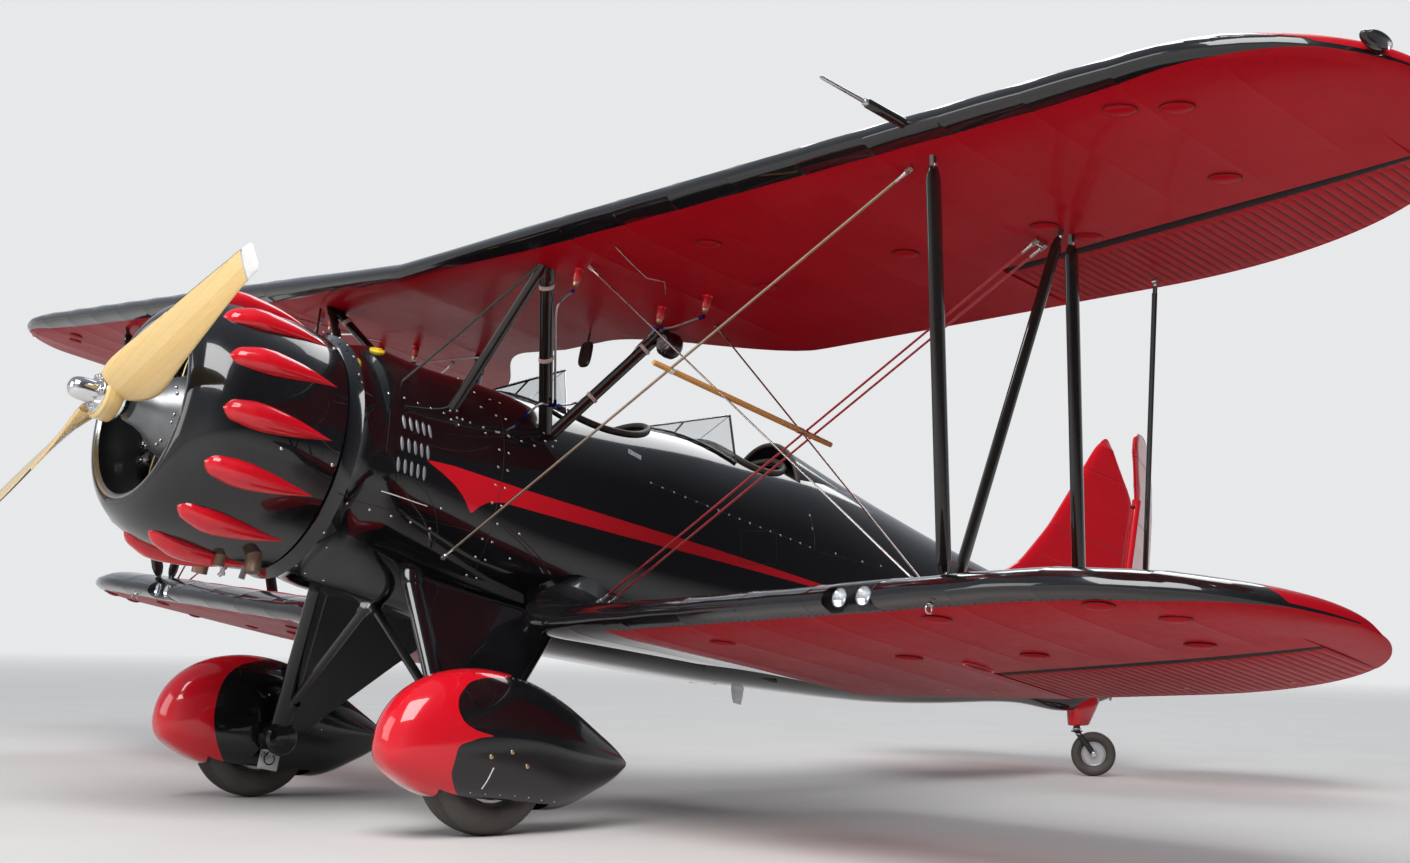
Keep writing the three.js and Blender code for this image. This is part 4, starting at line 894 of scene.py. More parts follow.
def heads_tree():
    """Round heads, one on each point, facing the way the point's facing attribute says"""
    name = "Screw heads"
    if name in bpy.data.node_groups:
        return bpy.data.node_groups[name]
    n, source, sink = node_tree(name, [("Size", VECTOR), ("Sides", "NodeSocketInt"),
                                       ("Rings", "NodeSocketInt"), ("Material", "NodeSocketMaterial")])
    head = n.add("GeometryNodeMeshUVSphere", {"Segments": source["Sides"], "Rings": source["Rings"],
                                              "Radius": 1.0})
    scaled = n.add("GeometryNodeTransform", {"Geometry": head.outputs["Mesh"], "Scale": source["Size"]})
    place_on_points(n, source, sink, scaled.outputs["Geometry"])
    return n.tree


def place_on_points(n, source, sink, instance):
    """Puts an instance on each point, its z along the facing attribute and its y upright"""
    facing = n.add("GeometryNodeInputNamedAttribute", {"Name": "facing"}, data_type="FLOAT_VECTOR")
    turn = n.add("FunctionNodeAlignRotationToVector", {"Vector": facing.outputs["Attribute"]}, axis="Z")
    upright = n.add("FunctionNodeAlignRotationToVector",
                    {"Rotation": turn.outputs["Rotation"], "Vector": (0.0, 0.0, 1.0)}, axis="Y",
                    pivot_axis="Z")
    placed = n.add("GeometryNodeInstanceOnPoints", {"Points": source["Geometry"], "Instance": instance,
                                                    "Rotation": upright.outputs["Rotation"]})
    real = n.add("GeometryNodeRealizeInstances", {"Geometry": placed.outputs["Instances"]})
    shade = n.add("GeometryNodeSetShadeSmooth", {"Geometry": real.outputs["Geometry"]})
    painted = n.add("GeometryNodeSetMaterial", {"Geometry": shade.outputs["Geometry"],
                                                "Material": source["Material"]})
    n.plug(painted.outputs["Geometry"], sink["Geometry"])


def fins_tree():
    """A stack of round plates on each point, along the point's facing attribute"""
    name = "Cooling fins"
    if name in bpy.data.node_groups:
        return bpy.data.node_groups[name]
    n, source, sink = node_tree(name, [("Radius", FLOAT), ("Thickness", FLOAT), ("Pitch", FLOAT),
                                       ("Count", "NodeSocketInt"), ("Material", "NodeSocketMaterial")])
    plate = n.add("GeometryNodeMeshCylinder", {"Vertices": 40, "Radius": source["Radius"],
                                               "Depth": source["Thickness"]})
    step = n.add("ShaderNodeCombineXYZ", {"Z": source["Pitch"]})
    line = n.add("GeometryNodeMeshLine", {"Count": source["Count"], "Offset": step.outputs[0]})
    stack = n.add("GeometryNodeInstanceOnPoints", {"Points": line.outputs["Mesh"],
                                                   "Instance": plate.outputs["Mesh"]})
    place_on_points(n, source, sink, stack.outputs["Instances"])
    return n.tree


def run_tree(obj, tree, values):
    """Runs a Geometry Nodes tree on an object and keeps the resulting mesh"""
    modifier = obj.modifiers.new("Pattern", "NODES")
    modifier.node_group = tree
    for item in tree.interface.items_tree:
        if item.item_type == "SOCKET" and item.in_out == "INPUT" and item.name in values:
            modifier[item.identifier] = values[item.name]
    return baked(obj)


def points_object(name, spots):
    """Points at (place, facing) pairs of the level frame"""
    mesh = bpy.data.meshes.new(name)
    mesh.from_pydata([tuple(place) for place, _ in spots], [], [])
    mesh.transform(LEVEL)
    turn = LEVEL.to_3x3().normalized()
    attribute = mesh.attributes.new("facing", "FLOAT_VECTOR", "POINT")
    attribute.data.foreach_set("vector", np.array([turn @ Vector(f).normalized() for _, f in spots]).ravel())
    obj = bpy.data.objects.new(name, mesh)
    bpy.context.scene.collection.objects.link(obj)
    return obj


SCREW_FLATNESS = 0.40625


def heads(name, spots, size=None, colour="screw", sides=10, rings=4):
    """Domed heads at (place, facing) pairs; size is width, height and rise in millimetres"""
    radius = sizes().screw_radius
    size = [c * MM for c in size] if size else (radius, radius, radius * SCREW_FLATNESS)
    obj = points_object(name, spots)
    run_tree(obj, heads_tree(), {"Size": size, "Sides": sides, "Rings": rings, "Material": finish(colour)})
    return settle(obj, "airframe", "polished_steel")


def mirrored_spots(spots):
    return [(Vector((-p.x, p.y, p.z)), Vector((-f.x, f.y, f.z))) for p, f in spots]


def both_sides(spots):
    return spots + mirrored_spots(spots)


def head_pair(name, spots, **settings):
    """Heads on the left and their mirror images on the right, as two pieces"""
    heads(f"{name}_left", spots, **settings)
    heads(f"{name}_right", mirrored_spots(spots), **settings)


# Body surface


def section_ring(row, y, count=96, grow=0.0):
    """Evenly spaced points round a body section"""
    half, top, side, bottom, square_top, square_bottom = row
    turn = ring_angles(720)
    c, s = np.cos(turn), np.sin(turn)
    power = np.where(s > 0, 2 / square_top, 2 / square_bottom)
    rise = np.where(s > 0, top - side, side - bottom) + grow
    ring = np.stack([(half + grow) * signed_power(c, power), np.full_like(c, y),
                     side + rise * signed_power(s, power)], axis=1)
    closed = np.vstack([ring, ring[:1]])
    length = np.concatenate([[0], np.cumsum(np.linalg.norm(np.diff(closed, axis=0), axis=1))])
    at = np.linspace(0, length[-1], count + 1)[:-1]
    return np.stack([np.interp(at, length, closed[:, k]) for k in range(3)], axis=1)


def body_blank(start, end, step, grow=0.0):
    ys = np.linspace(start, end, max(int((end - start) / step), 2))
    rows = spline_columns(BODY_SECTIONS, ys)
    return loft([section_ring(row, y, grow=grow) for y, row in zip(ys, rows)], "body_black")


def skin_at(y, z, table=None):
    """The body's port surface at a height: its x and outward direction"""
    def x_at(y, z):
        half, top, side, bottom, square_top, square_bottom = spline_columns(table or BODY_SECTIONS, [y])[0]
        rise, power = (top - side, square_top) if z > side else (side - bottom, square_bottom)
        share = min(abs(z - side) / rise, 0.999)
        return half * (1 - share**power) ** (1 / power)
    x = x_at(y, z)
    normal = Vector((1, -(x_at(y + 5, z) - x_at(y - 5, z)) / 10, -(x_at(y, z + 5) - x_at(y, z - 5)) / 10))
    return Vector((x, y, z)), normal.normalized()


def deck_at(y, x, table=None):
    """The body's upper surface at a distance from the middle: its place and outward direction"""
    def z_at(y, x):
        half, top, side, _, power, _ = spline_columns(table or BODY_SECTIONS, [y])[0]
        return side + (top - side) * (1 - min(abs(x) / half, 0.999) ** power) ** (1 / power)
    z = z_at(y, x)
    normal = Vector((-(z_at(y, x + 5) - z_at(y, x - 5)) / 10, -(z_at(y + 5, x) - z_at(y - 5, x)) / 10, 1))
    return Vector((x, y, z)), normal.normalized()


def oval(centre_y, length, width, count=64):
    turn = ring_angles(count)
    return np.stack([width * signed_power(np.cos(turn), 0.8),
                     centre_y + length * signed_power(np.sin(turn), 0.8)], axis=1)


# Wing surface


def root_share(wing, x):
    """How far the lower wing's leading edge has curved in, 0 to 1"""
    return clamp((ROOT["lead_from"] - x) / (ROOT["lead_from"] - ROOT["inner"])) if wing is LOWER else 0.0


def wing_edges(wing, x):
    """Leading and trailing edge at a distance from the middle, both aft of the leading edge line"""
    def rounding(start):
        t = clamp((x - start) / (wing["tip"] - start))
        return 1 - math.sqrt(1 - t * t)
    lead = wing["tip_at"] * CHORD * rounding(wing["round_lead"])
    trail = CHORD - (1 - wing["tip_at"]) * CHORD * rounding(wing["round_trail"])
    if wing is UPPER and x < CUTOUT["full"]:
        t = clamp((x - CUTOUT["flat"]) / (CUTOUT["full"] - CUTOUT["flat"]))
        inner = CUTOUT["trail"] - UPPER["lead"]
        trail = inner + (CHORD - inner) * t * t * (3 - 2 * t)
    if wing is LOWER and x < ROOT["trail_from"]:
        s = clamp((x - ROOT["inner"]) / (ROOT["trail_from"] - ROOT["inner"]))
        trail = ROOT["trail_inner"] + (CHORD - ROOT["trail_inner"]) * (1 - math.sqrt(1 - s**2.6))
    return lead + ROOT["sweep"] * (1 - math.sqrt(1 - root_share(wing, x) ** 2)), trail


def section_top(f):
    bulge = 0.2969 * np.sqrt(f) - 0.126 * f - 0.3516 * f**2 + 0.2843 * f**3 - 0.1036 * f**4
    return 0.3 * THICKNESS * (1 - f) + 7.9 * THICKNESS * bulge


def section_bottom(f):
    return np.where(f < 0.25, 0.3 * THICKNESS * (1 - np.sqrt(np.minimum(f, 0.25) / 0.25)) ** 2, 0)


def wing_heights(wing, x, y):
    """Heights of the top and bottom skins at distances aft of the leading edge line"""
    lead, trail = wing_edges(wing, x)
    chord = max(trail - lead, 0.5)
    fullness = 0.2 if wing is LOWER and x < ROOT["trail_from"] else 0.75
    depth = min(1, chord / CHORD) ** fullness * CHORD
    lift = 0.035 * (CHORD - max(depth, 0.15 * CHORD)) + ROOT["rise"] * root_share(wing, x) ** 2
    f = np.clip((np.asarray(y, float) - lead) / chord, 0, 1)
    edge = 3 * min(1, chord / 300)
    twist = crest = 0.0
    if wing is LOWER:
        twist = ROOT["twist"] * clamp((ROOT["twist_from"] - x) / ROOT["twist_length"], 0, 1.15)
        crest = ROOT["crest"] * clamp((ROOT["crest_from"] - x) / (ROOT["crest_from"] - ROOT["inner"])) ** 2
    base = lift + twist * f
    crown = crest * np.maximum(np.sin(np.pi * f), 0) ** 0.8
    return (base + crown + np.maximum(section_top(f) * depth, edge * 2 * np.sqrt(f)),
            base + section_bottom(f) * depth)


def band_share(wing, x, full):
    """Share of the chord that the black leading edge covers: it fades out towards the tip"""
    margin, run = (90, 420) if wing is LOWER else (180, 900)
    fade = clamp((wing["tip"] - margin - x) / run)
    return 0.002 + full * math.sin(fade * math.pi / 2)


# Steps round a wing section, forwards over the top and back below
TOP_REAR, TOP_NOSE, LOW_NOSE, LOW_REAR = 22, 14, 12, 22
BAY_GAP = 6


def hinge_at(aileron, x):
    t = (x - aileron["inner"]) / (aileron["outer"] - aileron["inner"])
    return aileron["hinge_inner"] + t * (aileron["hinge_outer"] - aileron["hinge_inner"])


def nose_radius(wing, aileron, x):
    y = hinge_at(aileron, x)
    top, bottom = wing_heights(wing, x, [y])
    return 0.44 * float(top[0] - bottom[0])


def wing_ring(wing, x, end=None):
    """The section at a distance from the middle, cut off at end"""
    lead, trail = wing_edges(wing, x)
    chord = trail - lead
    last = 1.0 if end is None else (end - lead) / chord
    widening = 0.24 * clamp((x - 2700) / 700) if wing is LOWER else 0
    top_band, low_band = band_share(wing, x, 0.10 + widening), band_share(wing, x, 0.05)
    nose_top = top_band * np.linspace(1, 0, TOP_NOSE + 1) ** 2
    rear_top = top_band + (last - top_band) * np.linspace(1, 0, TOP_REAR + 1)[:-1] ** 1.3
    nose_low = low_band * np.linspace(0, 1, LOW_NOSE + 1)[1:] ** 2
    rear_low = low_band + (last - low_band) * np.linspace(0, 1, LOW_REAR + 1)[1:] ** 1.3
    f_top, f_low = np.concatenate([rear_top, nose_top]), np.concatenate([nose_low, rear_low])
    z_top = wing_heights(wing, x, lead + f_top * chord)[0]
    z_low = wing_heights(wing, x, lead + f_low * chord)[1]
    f, z = np.concatenate([f_top, f_low]), np.concatenate([z_top, z_low])
    return np.stack([np.full_like(f, x), lead + f * chord, z], axis=1)


TAPE_RISE, TAPE_HALF = 1.3, 7
FABRIC_SAG = 2.0
SKIN_OFFSET = 2.0
TIP_TRIM = 4


def rib_lift(x, ribs, pitch):
    """A rib's tape stands proud and the fabric between ribs sinks, all below the CAD's skin"""
    distance = min(abs(x - r) for r in ribs)
    tape = TAPE_RISE * math.exp(-((distance / TAPE_HALF) ** 2))
    return tape - FABRIC_SAG * math.sin(min(distance / pitch, 0.5) * math.pi) ** 2 - SKIN_OFFSET


def wing_stations(wing, start, end, extra):
    """Distances from the middle that need a section, with the ribs and their pitch"""
    pitch = sizes().rib_pitch / MM
    ribs = np.arange(wing["inboard"] + 60, wing["tip"] - 250, pitch)
    offsets = (-16, -TAPE_HALF, 0, TAPE_HALF, 16, pitch * 0.25, pitch * 0.5, pitch * 0.75)
    stops = [start, end, *extra, *(rib + offset for rib in ribs for offset in offsets)]
    tip_run = wing["tip"] - 260
    reach = wing["tip"] - TIP_TRIM - tip_run
    stops += [tip_run + reach * math.sin(t * math.pi / 2) for t in np.linspace(0, 1, 16)]
    stops = sorted(s for s in stops if start <= s <= end)
    kept = [stops[0]]
    for s in stops[1:]:
        if s - kept[-1] > 2.5 or s in extra or (s == end and s > kept[-1]):
            kept.append(s)
    return kept, ribs, pitch


def wing_painter(wing, xs):
    def paint(r, i):
        nose = TOP_REAR <= i < TOP_REAR + TOP_NOSE + LOW_NOSE
        return "wing_black" if nose or (wing is LOWER and xs[r] < ROOT_BLACK) else "wing_red"
    return paint


def ribbed(ring, x, ribs, pitch, fade):
    """Raises and sinks a section's skins by the rib lift, fading out at its ends"""
    lift = rib_lift(x, ribs, pitch) * fade
    middle = (ring[:, 2].max() + ring[:, 2].min()) / 2
    ends = np.minimum(np.arange(len(ring)), np.arange(len(ring))[::-1]) / 4
    ring[:, 2] += np.where(ring[:, 2] > middle, lift, -lift) * np.clip(ends, 0, 1)
    return ring


# Stations where the lower wing's root curves
ROOT_STATIONS = (500, 560, 640, 730, 780, 830, 890, 950, 1020, 1100, 1150, 1190, ROOT_BLACK, 1240, 1255,
                 1265, 1272, 1275)


def wing_panel(wing, start, end, aileron):
    """A wing's skin from root to tip, cut back along its aileron's bay"""
    bay = (aileron["inner"] - BAY_GAP, aileron["outer"] + BAY_GAP)
    root = ROOT_STATIONS if wing is LOWER else ()
    stations, ribs, pitch = wing_stations(wing, start, end, (*bay, *root))
    rings, xs = [], []
    for x in stations:
        fade = clamp((wing["tip"] - 60 - x) / 200) * clamp((x - start - 500) / 200)
        sections = [wing_ring(wing, x)]
        if bay[0] <= x <= bay[1]:
            inside = clamp(x, aileron["inner"], aileron["outer"])
            stop = hinge_at(aileron, inside) - nose_radius(wing, aileron, inside) - BAY_GAP
            trimmed = wing_ring(wing, x, stop)
            # Whole and trimmed sections meet at the bay's ends
            sections = {bay[0]: [*sections, trimmed], bay[1]: [trimmed, *sections]}.get(x, [trimmed])
        rings += [ribbed(ring, x, ribs, pitch, fade) for ring in sections]
        xs += [x] * len(sections)
    return loft(rings, painter=wing_painter(wing, xs))


def wing_space(wing):
    return Matrix.Translation((0, wing["lead"], wing["z"])) @ Matrix.Rotation(-wing["dihedral"], 4, "Y")


def on_wing(wing, x, y, height):
    """A point of a wing's own frame, in the level frame"""
    return wing_space(wing) @ Vector((x, y, height))


RIDGE = 4.0
SKIN_POINTS, NOSE_POINTS = 15, 9


def aileron_shape(wing, aileron):
    """Ridged skins behind a round nose; the grooves between the ridges are painted a darker red as painted
    shade
    """
    pitch = sizes().ridge_pitch / MM
    grooves = np.arange(aileron["inner"], aileron["outer"], pitch)
    xs = np.unique(np.concatenate([grooves + pitch * t for t in (-0.09, 0.0, 0.09, 0.25, 0.5, 0.75)]))
    xs = np.append(xs[(xs > aileron["inner"] + 5) & (xs < aileron["outer"] - 2)], aileron["outer"])
    xs = np.insert(xs, 0, aileron["inner"])
    rings, in_groove = [], []
    for x in xs:
        y = hinge_at(aileron, x)
        _, trail = wing_edges(wing, x)
        top, bottom = wing_heights(wing, x, [y])
        middle, radius = (top[0] + bottom[0]) / 2, nose_radius(wing, aileron, x)
        share = np.append(np.linspace(1, 0.016, SKIN_POINTS - 1), 0)
        ys = y + share * (trail - y)
        z_top, _ = wing_heights(wing, x, ys)
        _, z_low = wing_heights(wing, x, ys[::-1])
        phase = (x - aileron["inner"]) / pitch % 1
        # Stations in a groove are painted darker: painted shade
        in_groove.append(phase < 0.01 or 0.88 < phase < 0.94 or phase > 0.99)
        ridge = RIDGE * abs(math.sin(math.pi * phase)) ** 0.8
        room = np.clip(np.minimum(share * 9, (1 - share) * 12 + 0.1), 0, 1)
        z_top = z_top - RIDGE + ridge * room
        z_low = z_low + RIDGE - ridge * room[::-1]
        z_top[-1], z_low[0] = middle + radius, middle - radius
        turn = np.linspace(math.pi / 2, 3 * math.pi / 2, NOSE_POINTS + 2)[1:-1]
        nose = np.stack([np.full(NOSE_POINTS, x), y + radius * np.cos(turn),
                         middle + radius * np.sin(turn)], axis=1)
        upper = np.stack([np.full(SKIN_POINTS, x), ys, z_top], axis=1)
        lower = np.stack([np.full(SKIN_POINTS, x), ys[::-1], z_low], axis=1)
        rings.append(np.vstack([upper, nose, lower]))
    # The strips round the nose are painted near-black: painted shade of the gap at the hinge
    gap_shade_from, gap_shade_to = SKIN_POINTS - 2, SKIN_POINTS + NOSE_POINTS + 1
    last = 2 * SKIN_POINTS + NOSE_POINTS - 2

    def paint(r, i):
        if gap_shade_from <= i < gap_shade_to:
            return "seam"
        return "wing_seam" if in_groove[r] and (0 < i < gap_shade_from or gap_shade_to < i < last) else "wing_red"
    return loft(rings, painter=paint)


# Operators


class PieceOperator:
    """What every step shares: it runs the step's make"""
    bl_options = {"REGISTER"}

    def execute(self, context):
        self.make()
        return {"FINISHED"}


STUDIO = {"horizon": (0.75, 0.75, 0.75), "middle": (0.40, 0.42, 0.46), "top": (0.26, 0.29, 0.34),
          "behind": (0.07, 0.07, 0.08), "backdrop": (0.80, 0.81, 0.82)}


class BIPLANE_OT_stage(PieceOperator, bpy.types.Operator):
    """Pale floor, soft studio light and the camera"""
    bl_idname = "biplane.stage"
    bl_label = "Stage"

    def make(self):
        scene = bpy.context.scene
        bpy.ops.mesh.primitive_circle_add(vertices=96, radius=160, fill_type="NGON", location=(0, 0, 0))
        floor = bpy.context.object
        floor.name = "studio_floor"
        tint = tuple(colours().floor)

        def build(n, inputs):
            place = n.place()
            n.plug(n.mix(n.span(n.noise(place, 1.4, 4.0), 0.3, 0.7), tint, tuple(c * 0.95 for c in tint)),
                   inputs["Base Color"])
            away = n.add("ShaderNodeVectorMath", {0: place}, operation="LENGTH").outputs["Value"]
            n.plug(n.span(away, 5.5, 28.0, 1.0, 0.0), inputs["Alpha"])
        floor.data.materials.append(surface("floor", build, roughness=0.85))
        floor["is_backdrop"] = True
        self.make_world(scene)
        scene.view_settings.view_transform = "Standard"
        # Lamp: place, aim, size and power
        for name, place, aim, size, power in (
            ("key", (7, -9, 13), (0, 0, 1), 10, 2900),
            ("fill", (-4, -14, 6), (0, -2, 1), 7, 500),
            ("rim", (-6, 10, 13), (0, 0, 1), 10, 900),
        ):
            lamp = bpy.data.lights.new(name, "AREA")
            lamp.energy = power
            lamp.size = size
            obj = bpy.data.objects.new(name, lamp)
            obj.location = place
            obj.rotation_euler = (Vector(aim) - Vector(place)).to_track_quat("-Z", "Y").to_euler()
            obj.visible_camera = False
            scene.collection.objects.link(obj)
        self.make_camera(scene)

    def make_world(self, scene):
        """A pale studio: darker behind the camera, so that black paint stays black"""
        world = bpy.data.worlds.new("studio")
        scene.world = world
        world.use_nodes = True
        n = Nodes(world.node_tree)
        back = world.node_tree.nodes["Background"]
        place = n.add("ShaderNodeTexCoord").outputs["Generated"]
        up = n.add("ShaderNodeSeparateXYZ", {"Vector": place}).outputs["Z"]
        ramp = n.add("ShaderNodeValToRGB", {"Fac": n.span(up, -0.1, 0.9)})
        ramp.color_ramp.elements[0].color = (*STUDIO["horizon"], 1)
        ramp.color_ramp.elements[1].color = (*STUDIO["top"], 1)
        middle = ramp.color_ramp.elements.new(0.35)
        middle.color = (*STUDIO["middle"], 1)
        toward = n.add("ShaderNodeVectorMath", {0: place, 1: (0.86, 0.50, 0.08)}, operation="DOT_PRODUCT")
        lit = n.mix(n.span(toward.outputs["Value"], 0.3, 0.85), ramp.outputs["Color"], STUDIO["behind"])
        seen = n.add("ShaderNodeLightPath").outputs["Is Camera Ray"]
        n.plug(n.mix(seen, lit, STUDIO["backdrop"]), back.inputs["Color"])
        back.inputs["Strength"].default_value = 1.0

    def make_camera(self, scene):
        """The photograph's place and aim: 8.6 m off the port bow at knee height"""
        yaw, pitch, roll = 0.8540, 0.0939, 0.0232
        place = GROUND @ Vector((7364.3, -4519.5, 848.1))
        ahead = Vector((-math.sin(yaw) * math.cos(pitch), math.cos(yaw) * math.cos(pitch), math.sin(pitch)))
        right = Vector((math.cos(yaw), math.sin(yaw), 0))
        up = right.cross(ahead)
        across = right * math.cos(roll) + up * math.sin(roll)
        above = -right * math.sin(roll) + up * math.cos(roll)
        turn = Matrix((across, above, -ahead)).transposed()
        camera = bpy.data.objects.new("camera", bpy.data.cameras.new("camera"))
        camera.matrix_world = Matrix.Translation(place) @ turn.to_4x4()
        camera.data.sensor_width = 36
        camera.data.lens = sizes().lens
        camera.data.clip_end = 500
        scene.collection.objects.link(camera)
        scene.camera = camera


class BIPLANE_OT_body(PieceOperator, bpy.types.Operator):
    """Fuselage and nose skins with both cockpit openings"""
    bl_idname = "biplane.body"
    bl_label = "Body"

    def make(self):
        shell = mesh_object("fuselage_skin", body_blank(FIREWALL_Y, TAIL_Y, 42))
        cut(shell, body_blank(FIREWALL_Y + 90, 2260, 60, grow=-16).painted("lining"))
        low, high = 1620, 2300
        for centre, length, width in COCKPITS.values():
            ring = oval(centre, length, width)
            cut(shell, loft([[(x, y, z) for x, y in ring] for z in (low, high)], "body_black"))
        smooth_mesh(shell.data)
        settle(shell, "airframe", "black_paint", ["fuselage"])
        # The first three sections and a fourth keep the step at the cowl sharp
        ys = np.concatenate([[-760, -728, -722], np.linspace(-712, FIREWALL_Y - 1, 20)])
        rows = spline_columns(NOSE_SECTIONS, ys)
        rows[:4] = [r[1:] for r in NOSE_SECTIONS[:3]] + [[503, 1883, 1380, 877, 2, 2]]
        nose = loft([section_ring(row, y) for y, row in zip(ys, rows)], "body_black")
        piece("nose_skin", nose, nodes=["accessory_cowl"])
        self.raised_deck()

    def raised_deck(self):
        """The hood behind the rear cockpit: a shell open at the front"""
        ys = np.linspace(DECK_SECTIONS[0][0], DECK_SECTIONS[-1][0], 40)
        rows = spline_columns(DECK_SECTIONS, ys)
        turn = np.linspace(-0.25, math.pi + 0.25, 41)

        def arch(y, half, base, crest, grow):
            rise = np.where(np.sin(turn) > 0, crest - base + grow, 100)
            return np.stack([(half + grow) * np.cos(turn), np.full_like(turn, y),
                             base + rise * np.sin(turn)], axis=1)
        rings = [arch(y, *row, 0) for y, row in zip(ys, rows)]
        inner = [arch(y, *row, -10) for y, row in zip(ys[:14], rows[:14])]
        outer_skin = loft(rings, "black", closed=False, caps=(False, True))
        inner_skin = loft(inner, "panel_grey", closed=False, caps=(False, True))
        lip = loft([rings[0], inner[0]], "black", closed=False, caps=(False, False))
        piece("raised_deck", [outer_skin, inner_skin, lip])
        path = np.array(arch(DECK_SECTIONS[0][0] - 2, 266, 1850, 2174, 0))[2:-2]
        piece("hood_pad", tube(path, 13, "leather", wide=17, sides=14), slot="leather")


class BIPLANE_OT_wings(PieceOperator, bpy.types.Operator):
    """Wing panels with taped ribs and black leading edges"""
    bl_idname = "biplane.wings"
    bl_label = "Wings"

    def make(self):
        for level, wing, aileron in (("upper", UPPER, UPPER_AILERON), ("lower", LOWER, LOWER_AILERON)):
            panel = wing_panel(wing, wing["inboard"], wing["tip"] - TIP_TRIM,
                               aileron).moved(wing_space(wing))
            for side in SIDES:
                skin = mesh_object(f"{level}_wing_skin_{side}", both(panel, side), crease=28)
                if level == "lower":
                    cut(skin, both(light_bay_cutter(), side))
                    smooth_mesh(skin.data, 28)
                settle(skin, "airframe", "wing_red", [f"{level}_wing_{side}"])
        xs = np.linspace(0, UPPER["inboard"] - 0.3, 14)
        half = loft([wing_ring(UPPER, x) for x in xs], painter=wing_painter(UPPER, xs), caps=(False, True))
        half = half.moved(wing_space(UPPER))
        half.verts[:, 0] = np.where(half.verts[:, 0] < 3, 0, half.verts[:, 0])
        piece("upper_wing_centre_skin", [half, half.mirrored()], slot="wing_red",
              nodes=["upper_wing_centre"], crease=28)


class BIPLANE_OT_ailerons(PieceOperator, bpy.types.Operator):
    """Ridged ailerons on their hinges"""
    bl_idname = "biplane.ailerons"
    bl_label = "Ailerons"

    def make(self):
        for level, wing, aileron in (("upper", UPPER, UPPER_AILERON), ("lower", LOWER, LOWER_AILERON)):
            shape = aileron_shape(wing, aileron).moved(wing_space(wing))
            pair(f"{level}_aileron_skin_SIDE", shape, f"{level}_SIDE_aileron", "wing_red",
                 [f"aileron_{level}_SIDE"], crease=50)


# Cowl, engine and propeller


COWL_OUTER = [(352, -1357), (366, -1368), (398, -1364), (442, -1330), (487, -1262), (516, -1160),
              (527, -960), (521, -840), (508, -738)]
COWL_INNER = [(498, -738), (508, -850), (514, -950), (504, -1150), (474, -1254), (430, -1316), (385, -1350)]
# A cowl bump: y, the cowl's outer radius there, share of the full width and height
BUMP_SECTIONS = [(-1262, 485, 0.02), (-1250, 490, 0.4), (-1208, 503, 0.84), (-1150, 518, 1),
                 (-1060, 524, 0.94), (-950, 526, 0.64), (-860, 522, 0.3), (-784, 512, 0.03)]
BUMP = {"half": 54, "height": 44, "sunk": 7, "count": 14}
CYLINDER_Y = -1030


def about_thrust(degrees):
    """Turns a shape drawn above the thrust line around it"""
    return Matrix.Translation((0, 0, THRUST_Z)) @ Matrix.Rotation(math.radians(degrees), 4, "Y")


def cowl_bump():
    ys = np.linspace(BUMP_SECTIONS[0][0], BUMP_SECTIONS[-1][0], 40)
    rows = spline_columns(BUMP_SECTIONS, ys)
    turn = np.linspace(0, math.pi, 21)
    rings = []
    for y, (radius, size) in zip(ys, rows):
        size = clamp(size, 0.02)
        rise = (BUMP["height"] * size + BUMP["sunk"]) * np.sin(turn) ** 0.9
        rings.append(np.stack([BUMP["half"] * size * np.cos(turn), np.full_like(turn, y),
                               radius - BUMP["sunk"] + rise], axis=1))
    return loft(rings, "red")


def pipe_end(path, radius, colour, sides=28):
    """A pipe with an open mouth at its last point"""
    p = np.asarray(path, float)
    mouth = turned([(radius, -4), (radius, 0), (radius - 4, 0), (radius - 4, -30), (0, -30)], sides,
                   [colour, colour, "seam", "seam"])
    along = Vector(p[-1] - p[-2]).normalized()
    return [tube(p, radius, colour, sides), mouth.moved(aimed(p[-1], along))]


class BIPLANE_OT_cowl(PieceOperator, bpy.types.Operator):
    """Engine cowl with its bumps and fasteners, and the exhausts"""
    bl_idname = "biplane.cowl"
    bl_label = "Cowl"

    def make(self):
        outer = [tuple(q) for q in smooth_path(COWL_OUTER, 7)]
        profile = [*outer, *COWL_INNER]
        paint = ["alloy"] * 9 + ["black"] * (len(outer) - 9) + ["seam"] * (len(COWL_INNER) - 1) + ["alloy"]
        wall = turned(profile, 168, paint, closed=True).moved(about_thrust(0))
        step = 360 / BUMP["count"]
        bumps = [cowl_bump().moved(about_thrust((i + 0.5) * step)) for i in range(BUMP["count"])]
        piece("cowl_skin", [wall, *bumps], nodes=["engine_cowling"])
        spots = []
        for degrees in (100, 260, 37, 323):
            for radius, y in ((502, -1200), (529, -1000), (514, -760)):
                turn = about_thrust(degrees)
                spots.append((turn @ Vector((0, y, radius)), turn.to_3x3() @ Vector((0, 0, 1))))
        heads("cowl_fasteners", spots, size=(9, 9, 4))
        path = smooth_path([(205, -745, 975), (205, -820, 975), (208, -849, 955), (216, -849, 895),
                            (226, -845, 836)], 6)
        pair("exhaust_pipe_SIDE", pipe_end(path, 33, "exhaust"), slot="exhaust", nodes=["exhaust_SIDE"])
        drains = [*pipe_end([(150, -960, 900), (150, -960, 838)], 24, "exhaust"),
                  tube([(90, -900, 900), (90, -905, 822), (82, -912, 808)], 9, "alloy"),
                  drum(15, 0, 26, 14, "alloy", "z").shifted(90, -903, 838),
                  drum(12, 0, 14, 6, "chrome", "z").shifted(90, -903, 812),
                  *pipe_end([(40, -780, 900), (40, -790, 826)], 13, "alloy")]
        piece("cowl_drains", drains, slot="exhaust")


